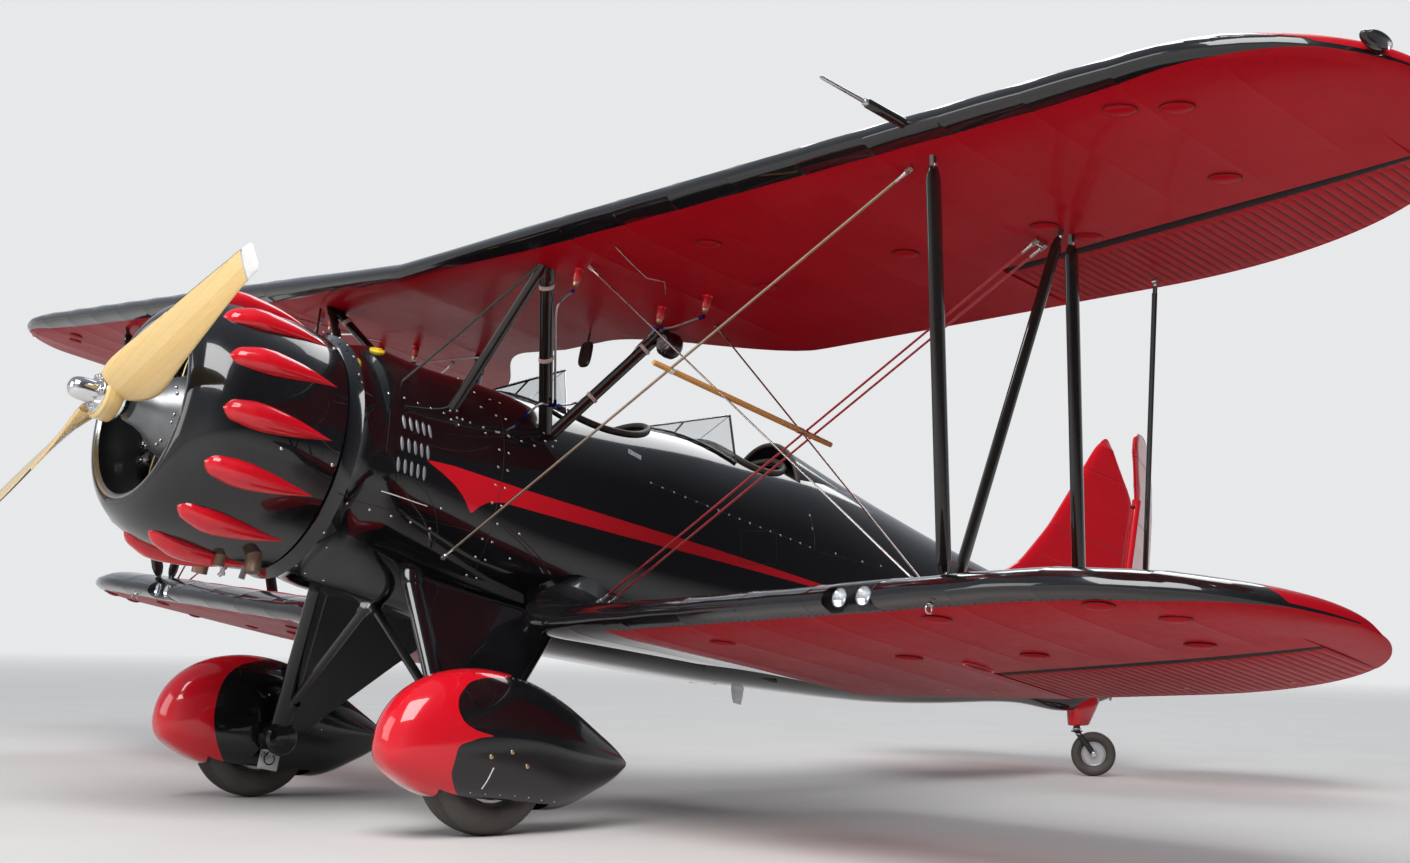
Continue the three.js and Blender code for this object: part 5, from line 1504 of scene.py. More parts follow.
CASE_PROFILE = [(0, -1481), (30, -1481), (30, -1425), (70, -1415), (84, -1360), (104, -1318), (150, -1270),
                (176, -1216), (193, -1170), (193, -900), (228, -884), (228, -762), (0, -762)]
BARREL_PROFILE = [(0, 170), (62, 170), (62, 330), (66, 335), (66, 440), (40, 470), (0, 474)]
BAFFLE_OUTLINE = [(-78, 214), (78, 214), (150, 430), (96, 484), (0, 496), (-96, 484), (-150, 430)]
# Stacks of fins on each cylinder: name, height of the first fin, radius, number and pitch
FIN_STACKS = (("barrel_fins", 212, 80, 14, 8.6), ("head_fins", 336, 79, 12, 9.4))
FIN_THICKNESS = 2.2


def cylinder_shapes():
    """One cylinder above the thrust line: barrel, foot, rocker boxes, push rods and a plug lead"""
    shapes = [turned(BARREL_PROFILE, 36, "engine_black", "z").shifted(0, CYLINDER_Y, 0),
              drum(78, 186, 200, 24, "crankcase", "z").shifted(0, CYLINDER_Y, 0)]
    for x in (-34, 34):
        foot = x * 1.3
        cover = turned([(0, 0), (17, 0), (17, 8), (9, 13), (0, 13)], 18, "chrome")
        shapes += [block((40, 62, 44), (x, CYLINDER_Y - 62, 436), "engine_black"),
                   cover.shifted(x, CYLINDER_Y - 107, 440),
                   tube([(foot, CYLINDER_Y - 150, 176), (x, CYLINDER_Y - 72, 420)], 8.5, "chrome"),
                   drum(13, 0, 22, 14, "crankcase", "z").shifted(foot, CYLINDER_Y - 150, 166)]
    lead = smooth_path([(0, CYLINDER_Y - 196, 150), (0, CYLINDER_Y - 180, 260), (26, CYLINDER_Y - 120, 360),
                        (8, CYLINDER_Y - 84, 392)])
    return [*shapes, tube(lead, 5, "brass")]


class BIPLANE_OT_engine(PieceOperator, bpy.types.Operator):
    """Radial engine with finned cylinders, rocker boxes, push rods and baffles"""
    bl_idname = "biplane.engine"
    bl_label = "Engine"

    def make(self):
        count = sizes().cylinders
        turns = [about_thrust(i * 360 / count) for i in range(count)]
        cylinder = cylinder_shapes()
        shapes = [turned(CASE_PROFILE, 72, "crankcase").moved(about_thrust(0))]
        shapes += [shape.moved(turn) for turn in turns for shape in cylinder]
        piece("engine_core", shapes, slot="engine_metal", nodes=["engine"])
        for name, height, radius, layers, pitch in FIN_STACKS:
            fins = points_object(name, [(turn @ Vector((0, CYLINDER_Y, height)),
                                         turn.to_3x3() @ Vector((0, 0, 1)))
                                        for turn in turns])
            run_tree(fins, fins_tree(), {"Radius": radius * MM, "Thickness": FIN_THICKNESS * MM,
                                         "Pitch": pitch * MM, "Count": layers,
                                         "Material": finish("engine_black")})
            smooth_mesh(fins.data)
            settle(fins, "airframe", "engine_metal")
        bolts = [(turn @ Vector((x, -1285, 138)), Vector((0, -1, 0))) for turn in turns for x in (-16, 16)]
        heads("case_bolts", bolts, size=(8, 8, 7), sides=6)
        sheet = loft([[(x, y, z) for x, z in BAFFLE_OUTLINE] for y in (-1072, -1069)], "baffle")
        sheets = [sheet.moved(about_thrust((i + 0.5) * 360 / count)) for i in range(count)]
        piece("engine_baffles", sheets, slot="engine_metal")


# Blade sections: distance from the hub, chord, thickness, pitch in degrees, shift to the trailing edge
BLADE_SECTIONS = [(60, 120, 66, 58, 0), (100, 170, 66, 54, 4), (140, 200, 62, 50, 10),
                  (213, 224, 56, 45, 20),
                  (405, 209, 42, 35, 18), (580, 186, 30, 28, 10), (770, 159, 21, 23, 2),
                  (950, 130, 14, 19, -4), (1050, 118, 10, 17, -4), (1084, 112, 7, 17, -4)]
# Distances from the hub where the metal edge, the white tip and the tip's rounding start
EDGE_METAL = 520
TIP_WHITE = 1004
TIP_ROUND = 1060


def blade():
    radii = np.concatenate([np.linspace(60, TIP_ROUND, 76),
                            TIP_ROUND + 24 * np.sin(np.linspace(0.15, math.pi / 2, 9))])
    radii = np.sort(np.append(radii, [TIP_WHITE, TIP_WHITE + 9]))
    rows = spline_columns(BLADE_SECTIONS, radii)
    turn = ring_angles(36)
    rings = []
    for r, (chord, thickness, pitch, sweep) in zip(radii, rows):
        p = math.radians(pitch)
        lead, face = np.array((0, -math.sin(p), math.cos(p))), np.array((0, math.cos(p), math.sin(p)))
        ending = math.sqrt(1 - clamp((r - TIP_ROUND) / 24.6) ** 2)
        camber = clamp((r - 100) / 200)
        across = np.cos(turn) * (chord / 2 - 22 * (1 - ending))
        flat = np.sin(turn) * np.where(np.sin(turn) > 0, 1 - 0.75 * camber, 1 + 0.15 * camber)
        height = flat * thickness / 2 * max(ending, 0.25) + camber * thickness * 0.12
        slant = 0.12 * across * clamp((r - 900) / 60) * clamp((1056 - r) / 30)
        centre = np.stack([r + slant, 0 * slant, 0 * slant], axis=1)
        rings.append(centre + np.outer(across - sweep, lead) + np.outer(height, face))

    def painter(r, i):
        if TIP_WHITE - 1 <= radii[r] < TIP_WHITE + 8:
            return "alloy"
        if radii[r] > TIP_WHITE:
            return "white"
        return "tip_metal" if radii[r] > EDGE_METAL and (i < 3 or i > 33) else "wood"
    return loft(rings, painter=painter)


BOSS_PROFILE = [(42.6, -32), (46, -36), (90, -36), (97, -30), (98, -24), (98, 24), (97, 30), (90, 36),
                (46, 36), (42.6, 32)]
# What the hub and its flanges take out of the blades' roots
HUB_ROOM = [(0, -120), (92, -120), (92, -36), (42.6, -36), (42.6, 36), (92, 36), (92, 120), (0, 120)]
HUB_PROFILE = [(0, -156), (12, -155), (24, -151), (34, -143), (41, -129), (45, -108), (46, -52), (52, -48),
               (78, -46), (80, -43), (80, -36.4), (42, -36.4), (42, 36.4), (88, 36.4), (88, 48), (52, 52),
               (52, 80), (31.5, 81), (31.5, 20), (0, 20)]
HUB_BOLTS = 8


class BIPLANE_OT_propeller(PieceOperator, bpy.types.Operator):
    """Wooden propeller with tipped blades and its steel hub"""
    bl_idname = "biplane.propeller"
    bl_label = "Propeller"

    def make(self):
        space = LEVEL @ Matrix.Translation((0, PROPELLER_Y, THRUST_Z)) \
            @ Matrix.Rotation(PROPELLER_ANGLE - math.pi / 2, 4, "Y")
        blades = mesh_object("propeller_blades",
                             joined([blade(), blade().moved(Matrix.Rotation(math.pi, 4, "Y"))]), space)
        cut(blades, turned(HUB_ROOM, 64, "wood"), space)
        smooth_mesh(blades.data, 50)
        settle(blades, "propeller_assembly", "wood", ["propeller"])
        boss = turned(BOSS_PROFILE, 64, "wood", closed=True)
        piece("propeller_boss", boss, "propeller_assembly", "wood", space=space)
        cap_nut = turned([(0, -159), (9, -158), (9, -152), (0, -152)], 6, "screw")
        shapes = [turned(HUB_PROFILE, 64, "chrome"), cap_nut]
        bolt = turned([(0, -16), (5, -16), (5, -9), (10, -9), (10, 0), (0, 0)], 6, "screw")
        for i in range(HUB_BOLTS):
            turn = Matrix.Rotation(2 * math.pi / HUB_BOLTS * (i + 0.5), 4,
                                   "Y") @ Matrix.Translation((0, -46, 64))
            shapes += [bolt.moved(turn), drum(13, -1, 1, 16, "alloy").moved(turn)]
        piece("propeller_hub_parts", shapes, "propeller_assembly", "polished_steel", ["propeller_hub"],
              space)


# Landing gear


# Wheel fairing sections: y, half width, low and high
FAIRING_SECTIONS = [(-548, 22, 262, 322), (-522, 78, 195, 402), (-440, 128, 140, 505), (-300, 162, 102, 584),
                    (-100, 180, 108, 624), (110, 172, 128, 608), (300, 136, 150, 554), (480, 76, 250, 480),
                    (600, 27, 336, 424), (638, 8, 374, 400)]
FAIRING_START = -552
LEG_TOP = Vector((352, -205, 985))
LEG_FOOT = Vector((692, WHEEL_Y, WHEEL_Z + 10))


def fairing_rows(ys):
    """Half width, low and high of a fairing; the square root of the distance keeps its nose round"""
    length = FAIRING_SECTIONS[-1][0] - FAIRING_START
    table = [(math.sqrt((y - FAIRING_START) / length), *row) for y, *row in FAIRING_SECTIONS]
    return spline_columns(table, np.sqrt((np.asarray(ys, float) - FAIRING_START) / length))


def fairing_skin():
    turn = ring_angles(72)
    c, s = np.cos(turn), np.sin(turn)
    power = np.where(s < 0, 2 / 3, 1.0)
    nose, tail = FAIRING_SECTIONS[0][0], FAIRING_SECTIONS[-1][0]
    ys = nose + (tail - nose) * (1 - np.cos(np.linspace(0, math.pi, 60))) / 2
    rings = []
    for y, (half, low, high) in zip(ys, fairing_rows(ys)):
        middle, rise = (low + high) / 2, max((high - low) / 2, 8)
        rings.append(np.stack([WHEEL_X + max(half, 6) * signed_power(c, power), np.full_like(c, y),
                               middle + rise * signed_power(s, power)], axis=1))
    return loft(rings, "fairing")


def fairing_at(y, z):
    """The outer port side of a wheel fairing: place and outward direction"""
    def x_at(y, z):
        half, low, high = fairing_rows([y])[0]
        share = clamp(abs(z - (low + high) / 2) / ((high - low) / 2), 0, 0.999)
        power = 3 if z < (low + high) / 2 else 2
        return WHEEL_X + half * (1 - share**power) ** (1 / power)
    normal = Vector((1, -(x_at(y + 4, z) - x_at(y - 4, z)) / 8, -(x_at(y, z + 4) - x_at(y, z - 4)) / 8))
    return Vector((x_at(y, z), y, z)), normal.normalized()


def wheel_shape(radius, half, tread_half, bore, grooves=4):
    """Ribbed tyre on a dished hub, turned about x"""
    outer = [(radius * 0.56, half * 0.58), (radius * 0.66, half * 0.86), (radius * 0.78, half),
             (radius * 0.90, half * 0.9), (radius * 0.965, tread_half)]
    side = [tuple(q) for q in smooth_path(outer, 5)]
    tread = []
    for i in range(grooves * 2):
        w = tread_half * (1 - (i + 0.5) / grooves)
        r = radius * (0.965 + 0.035 * (1 - (w / tread_half) ** 2))
        depth = radius * 0.012
        tread += [(r, w + tread_half * 0.09), (r, w - tread_half * 0.02), (r - depth, w - tread_half * 0.03),
                  (r - depth, w - tread_half * 0.10)]
    rubber = [*side, *tread, *[(r, -w) for r, w in reversed(side)]]
    hub = [(radius * 0.56, -half * 0.58), (radius * 0.54, -half * 0.66), (radius * 0.50, -half * 0.66),
           (radius * 0.47, -half * 0.42), (radius * 0.2, -half * 0.40), (radius * 0.17, -half * 0.6),
           (bore, -half * 0.62)]
    hub = [*hub, *[(r, -w) for r, w in reversed(hub)]]
    tyre = turned(rubber, 96, "tyre", "x", closed=True)
    return [tyre, turned(hub, 72, "alloy", "x", closed=True)]


class BIPLANE_OT_gear(PieceOperator, bpy.types.Operator):
    """Faired wheels, legs, side panels and braces"""
    bl_idname = "biplane.gear"
    bl_label = "Landing gear"

    def make(self):
        well = turned([(0, -112), (286, -112), (288, -108), (288, 108), (286, 112), (0, 112)], 96, "seam",
                      "x")
        well = well.shifted(WHEEL_X, WHEEL_Y, WHEEL_Z)
        for side in SIDES:
            skin = mesh_object(f"wheel_fairing_skin_{side}", both(fairing_skin(), side))
            cut(skin, both(well, side))
            smooth_mesh(skin.data, 40)
            settle(skin, "airframe", "red_paint", [f"wheel_fairing_{side}"])
        wheel = [s.shifted(WHEEL_X, WHEEL_Y, WHEEL_Z) for s in wheel_shape(TYRE_RADIUS, 95, 62, 32.5)]
        pair("SIDE_wheel_parts", wheel, "SIDE_wheel", "tyre", ["wheel_SIDE"])
        self.make_leg()
        top, end = Vector((16, -150, 868)), Vector((640, WHEEL_Y - 10, 400))
        brace = [tube([top, end], 20, "black", 20), tube([top, (60, -146, 835)], 27, "black", 20),
                 tube([(590, WHEEL_Y - 8, 437), end], 27, "black", 20),
                 disc_on(top + Vector((0, -18, 0)), (0, -1, 0), 24, 12, "screw")]
        pair("gear_brace_parts_SIDE", brace, nodes=["gear_brace_SIDE"])
        self.make_fasteners()

    def make_leg(self):
        leg = tube([LEG_TOP, LEG_TOP.lerp(LEG_FOOT, 0.5), LEG_FOOT], 29, "black", 28, wide=48)
        collar = tube([LEG_TOP + Vector((-60, 6, 34)), LEG_TOP + Vector((-22, 2, 22)),
                       LEG_TOP.lerp(LEG_FOOT, 0.015), LEG_TOP.lerp(LEG_FOOT, 0.06)], [44, 44, 40, 32],
                      "black", 28, wide=[60, 60, 56, 51])
        corners = [LEG_TOP, Vector((395, 560, 960)), Vector((640, 190, 500)), Vector((668, 60, 330)),
                   LEG_FOOT]
        face = Vector((0.86, 0, 0.5))
        panel = loft([[c + face * d for c in corners] for d in (-6, 6)], "black")
        rim = tube([corners[1] + Vector((-20, 8, 12)), corners[2], corners[3]], 9, "black", 12, wide=15)
        seal = tube([LEG_TOP.lerp(corners[1], t) + Vector((0, 0, -8 * math.sin(t * math.pi))) for t in
                     np.linspace(0, 1, 9)], 12, "black", 14)
        knuckle = turned([(0, 634), (66, 640), (78, 652), (78, 722), (70, 734), (0, 736)], 48, "black", "x")
        axle = drum(32, 720, 1008, 32, "alloy", "x")
        cap = turned([(0, 631), (24, 632), (30, 638), (0, 640)], 24, "black", "x")
        shapes = [leg, collar, panel, rim, seal,
                  *(s.shifted(0, WHEEL_Y, WHEEL_Z) for s in (knuckle, axle, cap))]
        pair("gear_leg_parts_SIDE", shapes, nodes=["gear_leg_SIDE"])

    def make_fasteners(self):
        """Screws and buttons of the wheel fairings, a pale strip and the plate over the jacking point"""
        buttons = [fairing_at(y, z) for y, z in ((-150, 288), (-60, 322), (25, 282))]
        rim = []
        for i in range(15):
            y = -215 + 34 * i
            _, low, high = fairing_rows([y])[0]
            rim.append(fairing_at(y, (low + high) / 2 + 0.93 * (high - low) / 2))
            if i % 2:
                rim.append(fairing_at(y, low + 42))
        flank = [(Vector(place), Vector((-1, 0, 0))) for place in
                 ((732, -10, 452), (728, 62, 430), (727, 118, 402), (732, 180, 350), (734, -120, 452))]
        head_pair("fairing_buttons", buttons, size=(11, 11, 4), colour="brass")
        head_pair("fairing_screws", rim, size=(3.6, 3.6, 1.6))
        head_pair("flank_screws", flank, size=(4, 4, 2))
        places = [fairing_at(y, z) for y, z in ((-128, 250), (-136, 205), (-144, 165))]
        pair("fairing_strip_SIDE", tube([p + d * 0.5 for p, d in places], 2.6, "white", 10),
             slot="red_paint")
        plate = block((3, 96, 96), (0, 0, 0), "alloy").moved(
            Matrix.Translation((737, WHEEL_Y + 8, WHEEL_Z - 96)) @ Matrix.Rotation(0.12, 4, "Z"))
        ring = washer(22, 28, -2.4, 1, 28, "seam", "x").shifted(734, WHEEL_Y + 8, WHEEL_Z - 96)
        pair("jack_plate_SIDE", [plate, ring], slot="polished_steel", bevel=1.2)


# Struts and wires

SPARS = {"front": 0.106, "rear": 0.614}
BAY = {"upper": 3000, "lower": 2890}
# Interplane struts: share of the chord and height at the lower and upper end, half width, half chord
STRUTS = {"front": (SPARS["front"], 95, SPARS["front"], 30, 16, 34),
          "rear": (SPARS["rear"], 90, SPARS["rear"], 20, 16, 34),
          "diagonal": (SPARS["front"] + 0.032, 100, SPARS["rear"] - 0.032, 20, 13, 27)}
CABANE_TOP = (855, 0.14)
CABANE_REAR_TOP = (715, 0.69)
CABANE_FOOT = Vector((350, 318, 1740))
CABANE_REAR_FOOT = Vector((350, 344, 1740))


def at_spar(wing, x, share, height):
    return on_wing(wing, x, share * CHORD, height)


def blend(a, b, t):
    return a + (b - a) * t


def streamlined(low, high, half, half_chord, ends=1.0):
    """A strut of teardrop section, whose ends may narrow to a share of it"""
    low, high = Vector(low), Vector(high)
    along = (high - low).normalized()
    aft = Vector((0, 1, 0))
    back = (aft - along * along.dot(aft)).normalized()
    aside = along.cross(back)
    near_end = blend(ends, 1, 0.6)
    rings = []
    for t, size in ((0, ends), (0.015, near_end), (0.035, 1), (0.5, 1), (0.965, 1), (0.985, near_end),
                    (1, ends)):
        centre = blend(low, high, t)
        ring = []
        for a in ring_angles(36):
            y = math.cos(a)
            taper = 1 - 0.35 * clamp(y)
            ring.append(centre + back * (half_chord * size * y) + aside * (half * size * math.sin(a) * taper))
        rings.append(ring)
    return loft(rings, "strut_black")


def cuff(low, high, start, end, half, half_chord, colour="strut_black"):
    """A sleeve round part of a strut, start and end in shares of its length"""
    low, high = Vector(low), Vector(high)
    points = [blend(low, high, t) for t in (start, start + (end - start) * 0.2, end)]
    return tube(points, [half * 0.94, half, half], colour, 32,
                wide=[half_chord * 0.96, half_chord, half_chord])


def fork_end(end, towards, radius):
    """Turnbuckle barrel, nut and clevis at the end of a wire"""
    clevis = [block((3, 26, 15), (x, 16, 0), "wire_steel") for x in (-6, 6)]
    pin = drum(5, -9, 9, 12, "wire_steel", "x").shifted(0, 10, 0)
    barrel = turned([(0, 26), (9, 27), (9, 34), (radius + 2.5, 36), (radius + 2.5, 78), (radius, 82),
                     (0, 82)], 14,
                    "wire_steel")
    return [s.moved(aimed(end, (towards - end).normalized())) for s in (*clevis, pin, barrel)]


def wire(a, b, radius, colour, cut_low, cut_high):
    """A flat wire with its ends, shortened by a share of its length at each end"""
    a, b = blend(a, b, cut_low), blend(a, b, 1 - cut_high)
    return [tube([a, blend(a, b, 0.5), b], radius, colour, 10, wide=radius * 1.5),
            *fork_end(a, b, radius), *fork_end(b, a, radius)]


WIRES = {
    "flying_front": (Vector((440, -150, 1046)),
                     at_spar(UPPER, BAY["upper"] - 75, SPARS["front"] + 0.02, 20)),
    "flying_rear": (Vector((455, 560, 930)), at_spar(UPPER, BAY["upper"] - 75, SPARS["rear"] - 0.02, 20)),
    "landing_front": (at_spar(UPPER, 1020, 0.188, 20),
                      at_spar(LOWER, BAY["lower"] - 90, SPARS["front"] + 0.02, 90)),
    "landing_rear": (at_spar(UPPER, 972, 0.71, 20),
                     at_spar(LOWER, BAY["lower"] - 90, SPARS["front"] + 0.04, 90)),
}


def crossing(first, second):
    """Where two wires cross as seen from ahead"""
    (a, b), (c, d) = first, second
    s, t = (b.z - a.z) / (b.x - a.x), (d.z - c.z) / (d.x - c.x)
    x = (c.z - a.z + s * a.x - t * c.x) / (s - t)
    return Vector((x, 0, a.z + s * (x - a.x)))


class BIPLANE_OT_struts(PieceOperator, bpy.types.Operator):
    """Struts and links between the wings"""
    bl_idname = "biplane.struts"
    bl_label = "Struts"

    def make(self):
        for name, (low_share, low_height, high_share, high_height, half, chord) in STRUTS.items():
            low = at_spar(LOWER, BAY["lower"], low_share, low_height)
            high = at_spar(UPPER, BAY["upper"], high_share, high_height)
            shapes = [streamlined(blend(low, high, 0.04), blend(high, low, 0.036), half, chord, ends=0.5)]
            for end, other, reach in ((low, high, 0.052), (high, low, 0.046)):
                fork = blend(end, other, reach) - end
                shapes.append(block((half * 0.9, chord * 0.62, fork.length), (0, 0, fork.length / 2),
                                    "tip_metal")
                              .moved(aimed(end, fork, "Z", "Y")))
                centre = blend(end, other, reach * 0.72)
                shapes.append(disc_on(centre + Vector((half * 0.45, 0, 0)), (1, 0, 0), 8, 6, "screw", 6))
            pair(f"{name}_strut_parts_SIDE", shapes, nodes=[f"interplane_strut_{name}_SIDE"])
        lever, lower_x, upper_x = 290, 2890, 3050
        y_low, y_up = hinge_at(LOWER_AILERON, lower_x) + lever, hinge_at(UPPER_AILERON, upper_x) + lever
        top = wing_heights(LOWER, lower_x, [y_low])[0][0] + 16
        bottom = wing_heights(UPPER, upper_x, [y_up])[1][0] - 30
        low, high = on_wing(LOWER, lower_x, y_low, top), on_wing(UPPER, upper_x, y_up, bottom)
        eye = turned([(4.6, -9), (8.5, -9), (9.2, -7), (9.2, 7), (8.5, 9), (4.6, 9)], 20, "wire_steel", "x",
                     closed=True)
        shapes = [streamlined(blend(low, high, 0.03), blend(low, high, 0.97), 10, 11.5),
                  streamlined(blend(low, high, 0.012), blend(low, high, 0.988), 8, 8.8),
                  eye.shifted(*low), drum(9, -10, 10, 20, "wire_steel", "x").shifted(*high)]
        for end, other in ((low, high), (high, low)):
            shapes.append(tube([blend(end, other, 0.006), blend(end, other, 0.03)], 8.4, "wire_steel", 6))
        pair("aileron_link_parts_SIDE", shapes, "SIDE_aileron_link", nodes=["aileron_link_SIDE"])


class BIPLANE_OT_wires(PieceOperator, bpy.types.Operator):
    """Flying and landing wires with their ends, and the wooden spreaders"""
    bl_idname = "biplane.wires"
    bl_label = "Wires"

    def make(self):
        front = wire(*WIRES["flying_front"], 4, "wire_tan", 0.012, 0.015)
        twins = []
        a, b = WIRES["flying_rear"]
        for shift in (0, 46):
            offset = Vector((0, shift, 0))
            twins += wire(a + offset, b + offset, 3.6, "wire_red", 0.075, 0.018)
        tie = blend(a, b, 0.975)
        twins.append(tube([tie + Vector((0, -8, 0)), tie + Vector((0, 54, 0))], 4.4, "wire_steel", 10))
        landing = [shape for name in ("landing_front", "landing_rear")
                   for shape in wire(*WIRES[name], 3.4, "wire_steel", 0.014, 0.012)]
        first = crossing(WIRES["flying_front"], WIRES["landing_front"])
        second = crossing(WIRES["flying_rear"], WIRES["landing_rear"])
        first.y, second.y = -180, 500
        ends = [blend(first, second, t) for t in np.linspace(-0.12, 1.22, 12)]
        dowel = [tube(ends, [10.5, *[11.6] * 10, 10.5], "dowel", 18)]
        for t in (-0.002, 0.012, 0.96, 0.985, 1.02):
            at = blend(first, second, t)
            dowel.append(tube([blend(first, second, t - 0.006), at, blend(first, second, t + 0.006)], 13.4,
                              "white" if t < 0.5 else "wire_tan", 16))
        for name, shapes, node, slot in (
            ("flying_wire", front, "flying_wire_front", "wire"),
            ("flying_wire_pair", twins, "flying_wires_rear", "red_paint"),
            ("landing_wire_set", landing, "landing_wires", "wire"),
            ("spreader_rod", dowel, "wire_spreader", "wood"),
        ):
            pair(f"{name}_SIDE", shapes, slot=slot, nodes=[f"{node}_SIDE"])


class BIPLANE_OT_cabane(PieceOperator, bpy.types.Operator):
    """Struts between the body and the upper wing, with their bands and screws"""
    bl_idname = "biplane.cabane"
    bl_label = "Cabane"

    def make(self):
        top = at_spar(UPPER, *CABANE_TOP, 30)
        rear_top = at_spar(UPPER, *CABANE_REAR_TOP, 30)
        front_foot = Vector((385, -205, 1680))
        rods = ((CABANE_FOOT, top, 17, 31), (front_foot, top, 14, 26), (CABANE_REAR_FOOT, rear_top, 17, 30))
        shapes = []
        for low, high, half, chord in rods:
            shapes.append(streamlined(low, high, half, chord))
            shapes.append(cuff(high, low, 0.03, 0.1, half + 3, chord + 4))
        shapes.append(tube([(300, -500, 1645), (862, -240, 2262)], 6, "strut_black", 12))
        for low, high, shares in ((CABANE_FOOT, top, (0.44, 0.85)),
                                  (CABANE_REAR_FOOT, rear_top, (0.34, 0.78))):
            for t in shares:
                shapes.append(cuff(low, high, t, t + 0.022, 19.5, 34, "band"))
        pair("cabane_parts_SIDE", shapes, nodes=["cabane_struts_SIDE"])
        spots = [skin_at(foot.y + 34 * math.cos(turn) + 6, foot.z + 34 * math.sin(turn) - 20)
                 for foot in (CABANE_FOOT, front_foot) for turn in ring_angles(5)]
        heads("cabane_foot_screws", both_sides(spots), size=(6, 6, 3.4))


# Tail


FIN_OUTLINE = [(1850, 3900), (1900, 3700), (2075, 3950), (2330, 4150), (2640, 4330), (2890, 4470),
               (2976, 4545), (2964, 4592), (2655, 4882), (1850, 4882)]
# The rudder: height, distance aft of its hinge
RUDDER_OUTLINE = [(1507, 20), (1540, 260), (1650, 470), (1850, 590), (2120, 625), (2400, 590), (2680, 490),
                  (2900, 330), (3045, 120), (3075, -60), (3050, -230), (2985, -300), (2680, -22),
                  (1507, -22)]
STABILISER_OUTLINE = [(-1, 3960), (420, 3985), (1150, 4120), (1500, 4270), (1640, 4460), (1660, 4640),
                      (1600, 4712), (-1, 4712)]
ELEVATOR_OUTLINE = [(80, -22), (1600, -22), (1630, 0), (1640, 90), (1560, 260), (1330, 400), (1000, 450),
                    (430, 440)]


def rounded_outline(corners, reach=90, rounds=3):
    """Cuts the corners of a closed outline, at most reach millimetres along each edge"""
    points = [np.array(c, float) for c in corners]
    for _ in range(rounds):
        out = []
        for a, b in zip(points, points[1:] + points[:1]):
            length = max(np.linalg.norm(b - a), 1e-6)
            t = min(0.25, reach / length)
            out += [a + (b - a) * t, b + (a - b) * t]
        points, reach = out, reach * 0.5
    return points


def span_of(outline, u):
    """The lowest and highest v where a closed outline of (u, v) points crosses u"""
    hits = []
    for (a, p), (b, q) in zip(outline, outline[1:] + outline[:1]):
        if (a - u) * (b - u) <= 0 and abs(a - b) > 1e-9:
            hits.append(p + (q - p) * (u - a) / (b - a))
    return (min(hits), max(hits)) if hits else (0.0, 0.0)


SEAM_HALF = 1.8
CHORD_POINTS = 23


def tail_panel(corners, half, pitch, taper=0.0, round_ends=(True, True), reach=90, lines=()):
    """A ribbed surface over an outline of (u, v) corners: rings across v, one for each station of u"""
    outline = rounded_outline(corners, reach)
    low, high = min(p[0] for p in outline), max(p[0] for p in outline)
    ribs = np.arange(low + pitch * 0.6, high - 40, pitch)
    offsets = (-14, -6, 0, 6, 14, pitch * 0.3, pitch * 0.5, pitch * 0.7)
    stops = [low + 0.5, high - 0.5, *(rib + offset for rib in ribs for offset in offsets)]
    run = 1 - np.cos(np.linspace(0.03, math.pi / 2, 12))
    stops += [*(low + 80 * run), *(high - 80 * run)]
    for line in lines:
        stops = [s for s in stops if abs(s - line) > SEAM_HALF + 1] + [line - SEAM_HALF, line + SEAM_HALF]
    stops = sorted(s for s in stops if low + 0.4 <= s <= high - 0.4)
    stops = [s for s, before in zip(stops, [-1e9, *stops]) if s - before > 0.8]
    f = (1 - np.cos(np.linspace(0, math.pi, CHORD_POINTS))) / 2
    rings = []
    for u in stops:
        v0, v1 = span_of(outline, u)
        chord = max(v1 - v0, 1.0)
        edge = np.clip(np.minimum(f, 1 - f) * chord / 60, 0, 1)
        height = half * np.sqrt(1 - (1 - edge) ** 2) * (1 - taper * f)
        for end, wanted in ((u - low, round_ends[0]), (high - u, round_ends[1])):
            if wanted:
                height = height * math.sqrt(1 - (1 - clamp(end / 60)) ** 2)
        height = np.maximum(height * clamp(chord / 150), 0.6)
        upper = np.stack([np.full(CHORD_POINTS, u), v0 + f * chord, height], axis=1)
        lower = (upper * (1, 1, -1))[-2:0:-1]
        lift = rib_lift(u, ribs, pitch) * 1.1
        upper[2:-2, 2] += lift
        lower[1:-1, 2] -= lift
        rings.append(np.vstack([upper, lower]))

    def paint(r, _):
        middle = (stops[r] + stops[r + 1]) / 2
        return "red_seam" if any(abs(middle - line) < 0.1 for line in lines) else "red"
    return loft(rings, painter=paint)


def upright(shape):
    """Turns (height, aft, across) into the level frame"""
    return Shape(shape.verts[:, [2, 1, 0]], [f[::-1] for f in shape.faces], shape.finish)


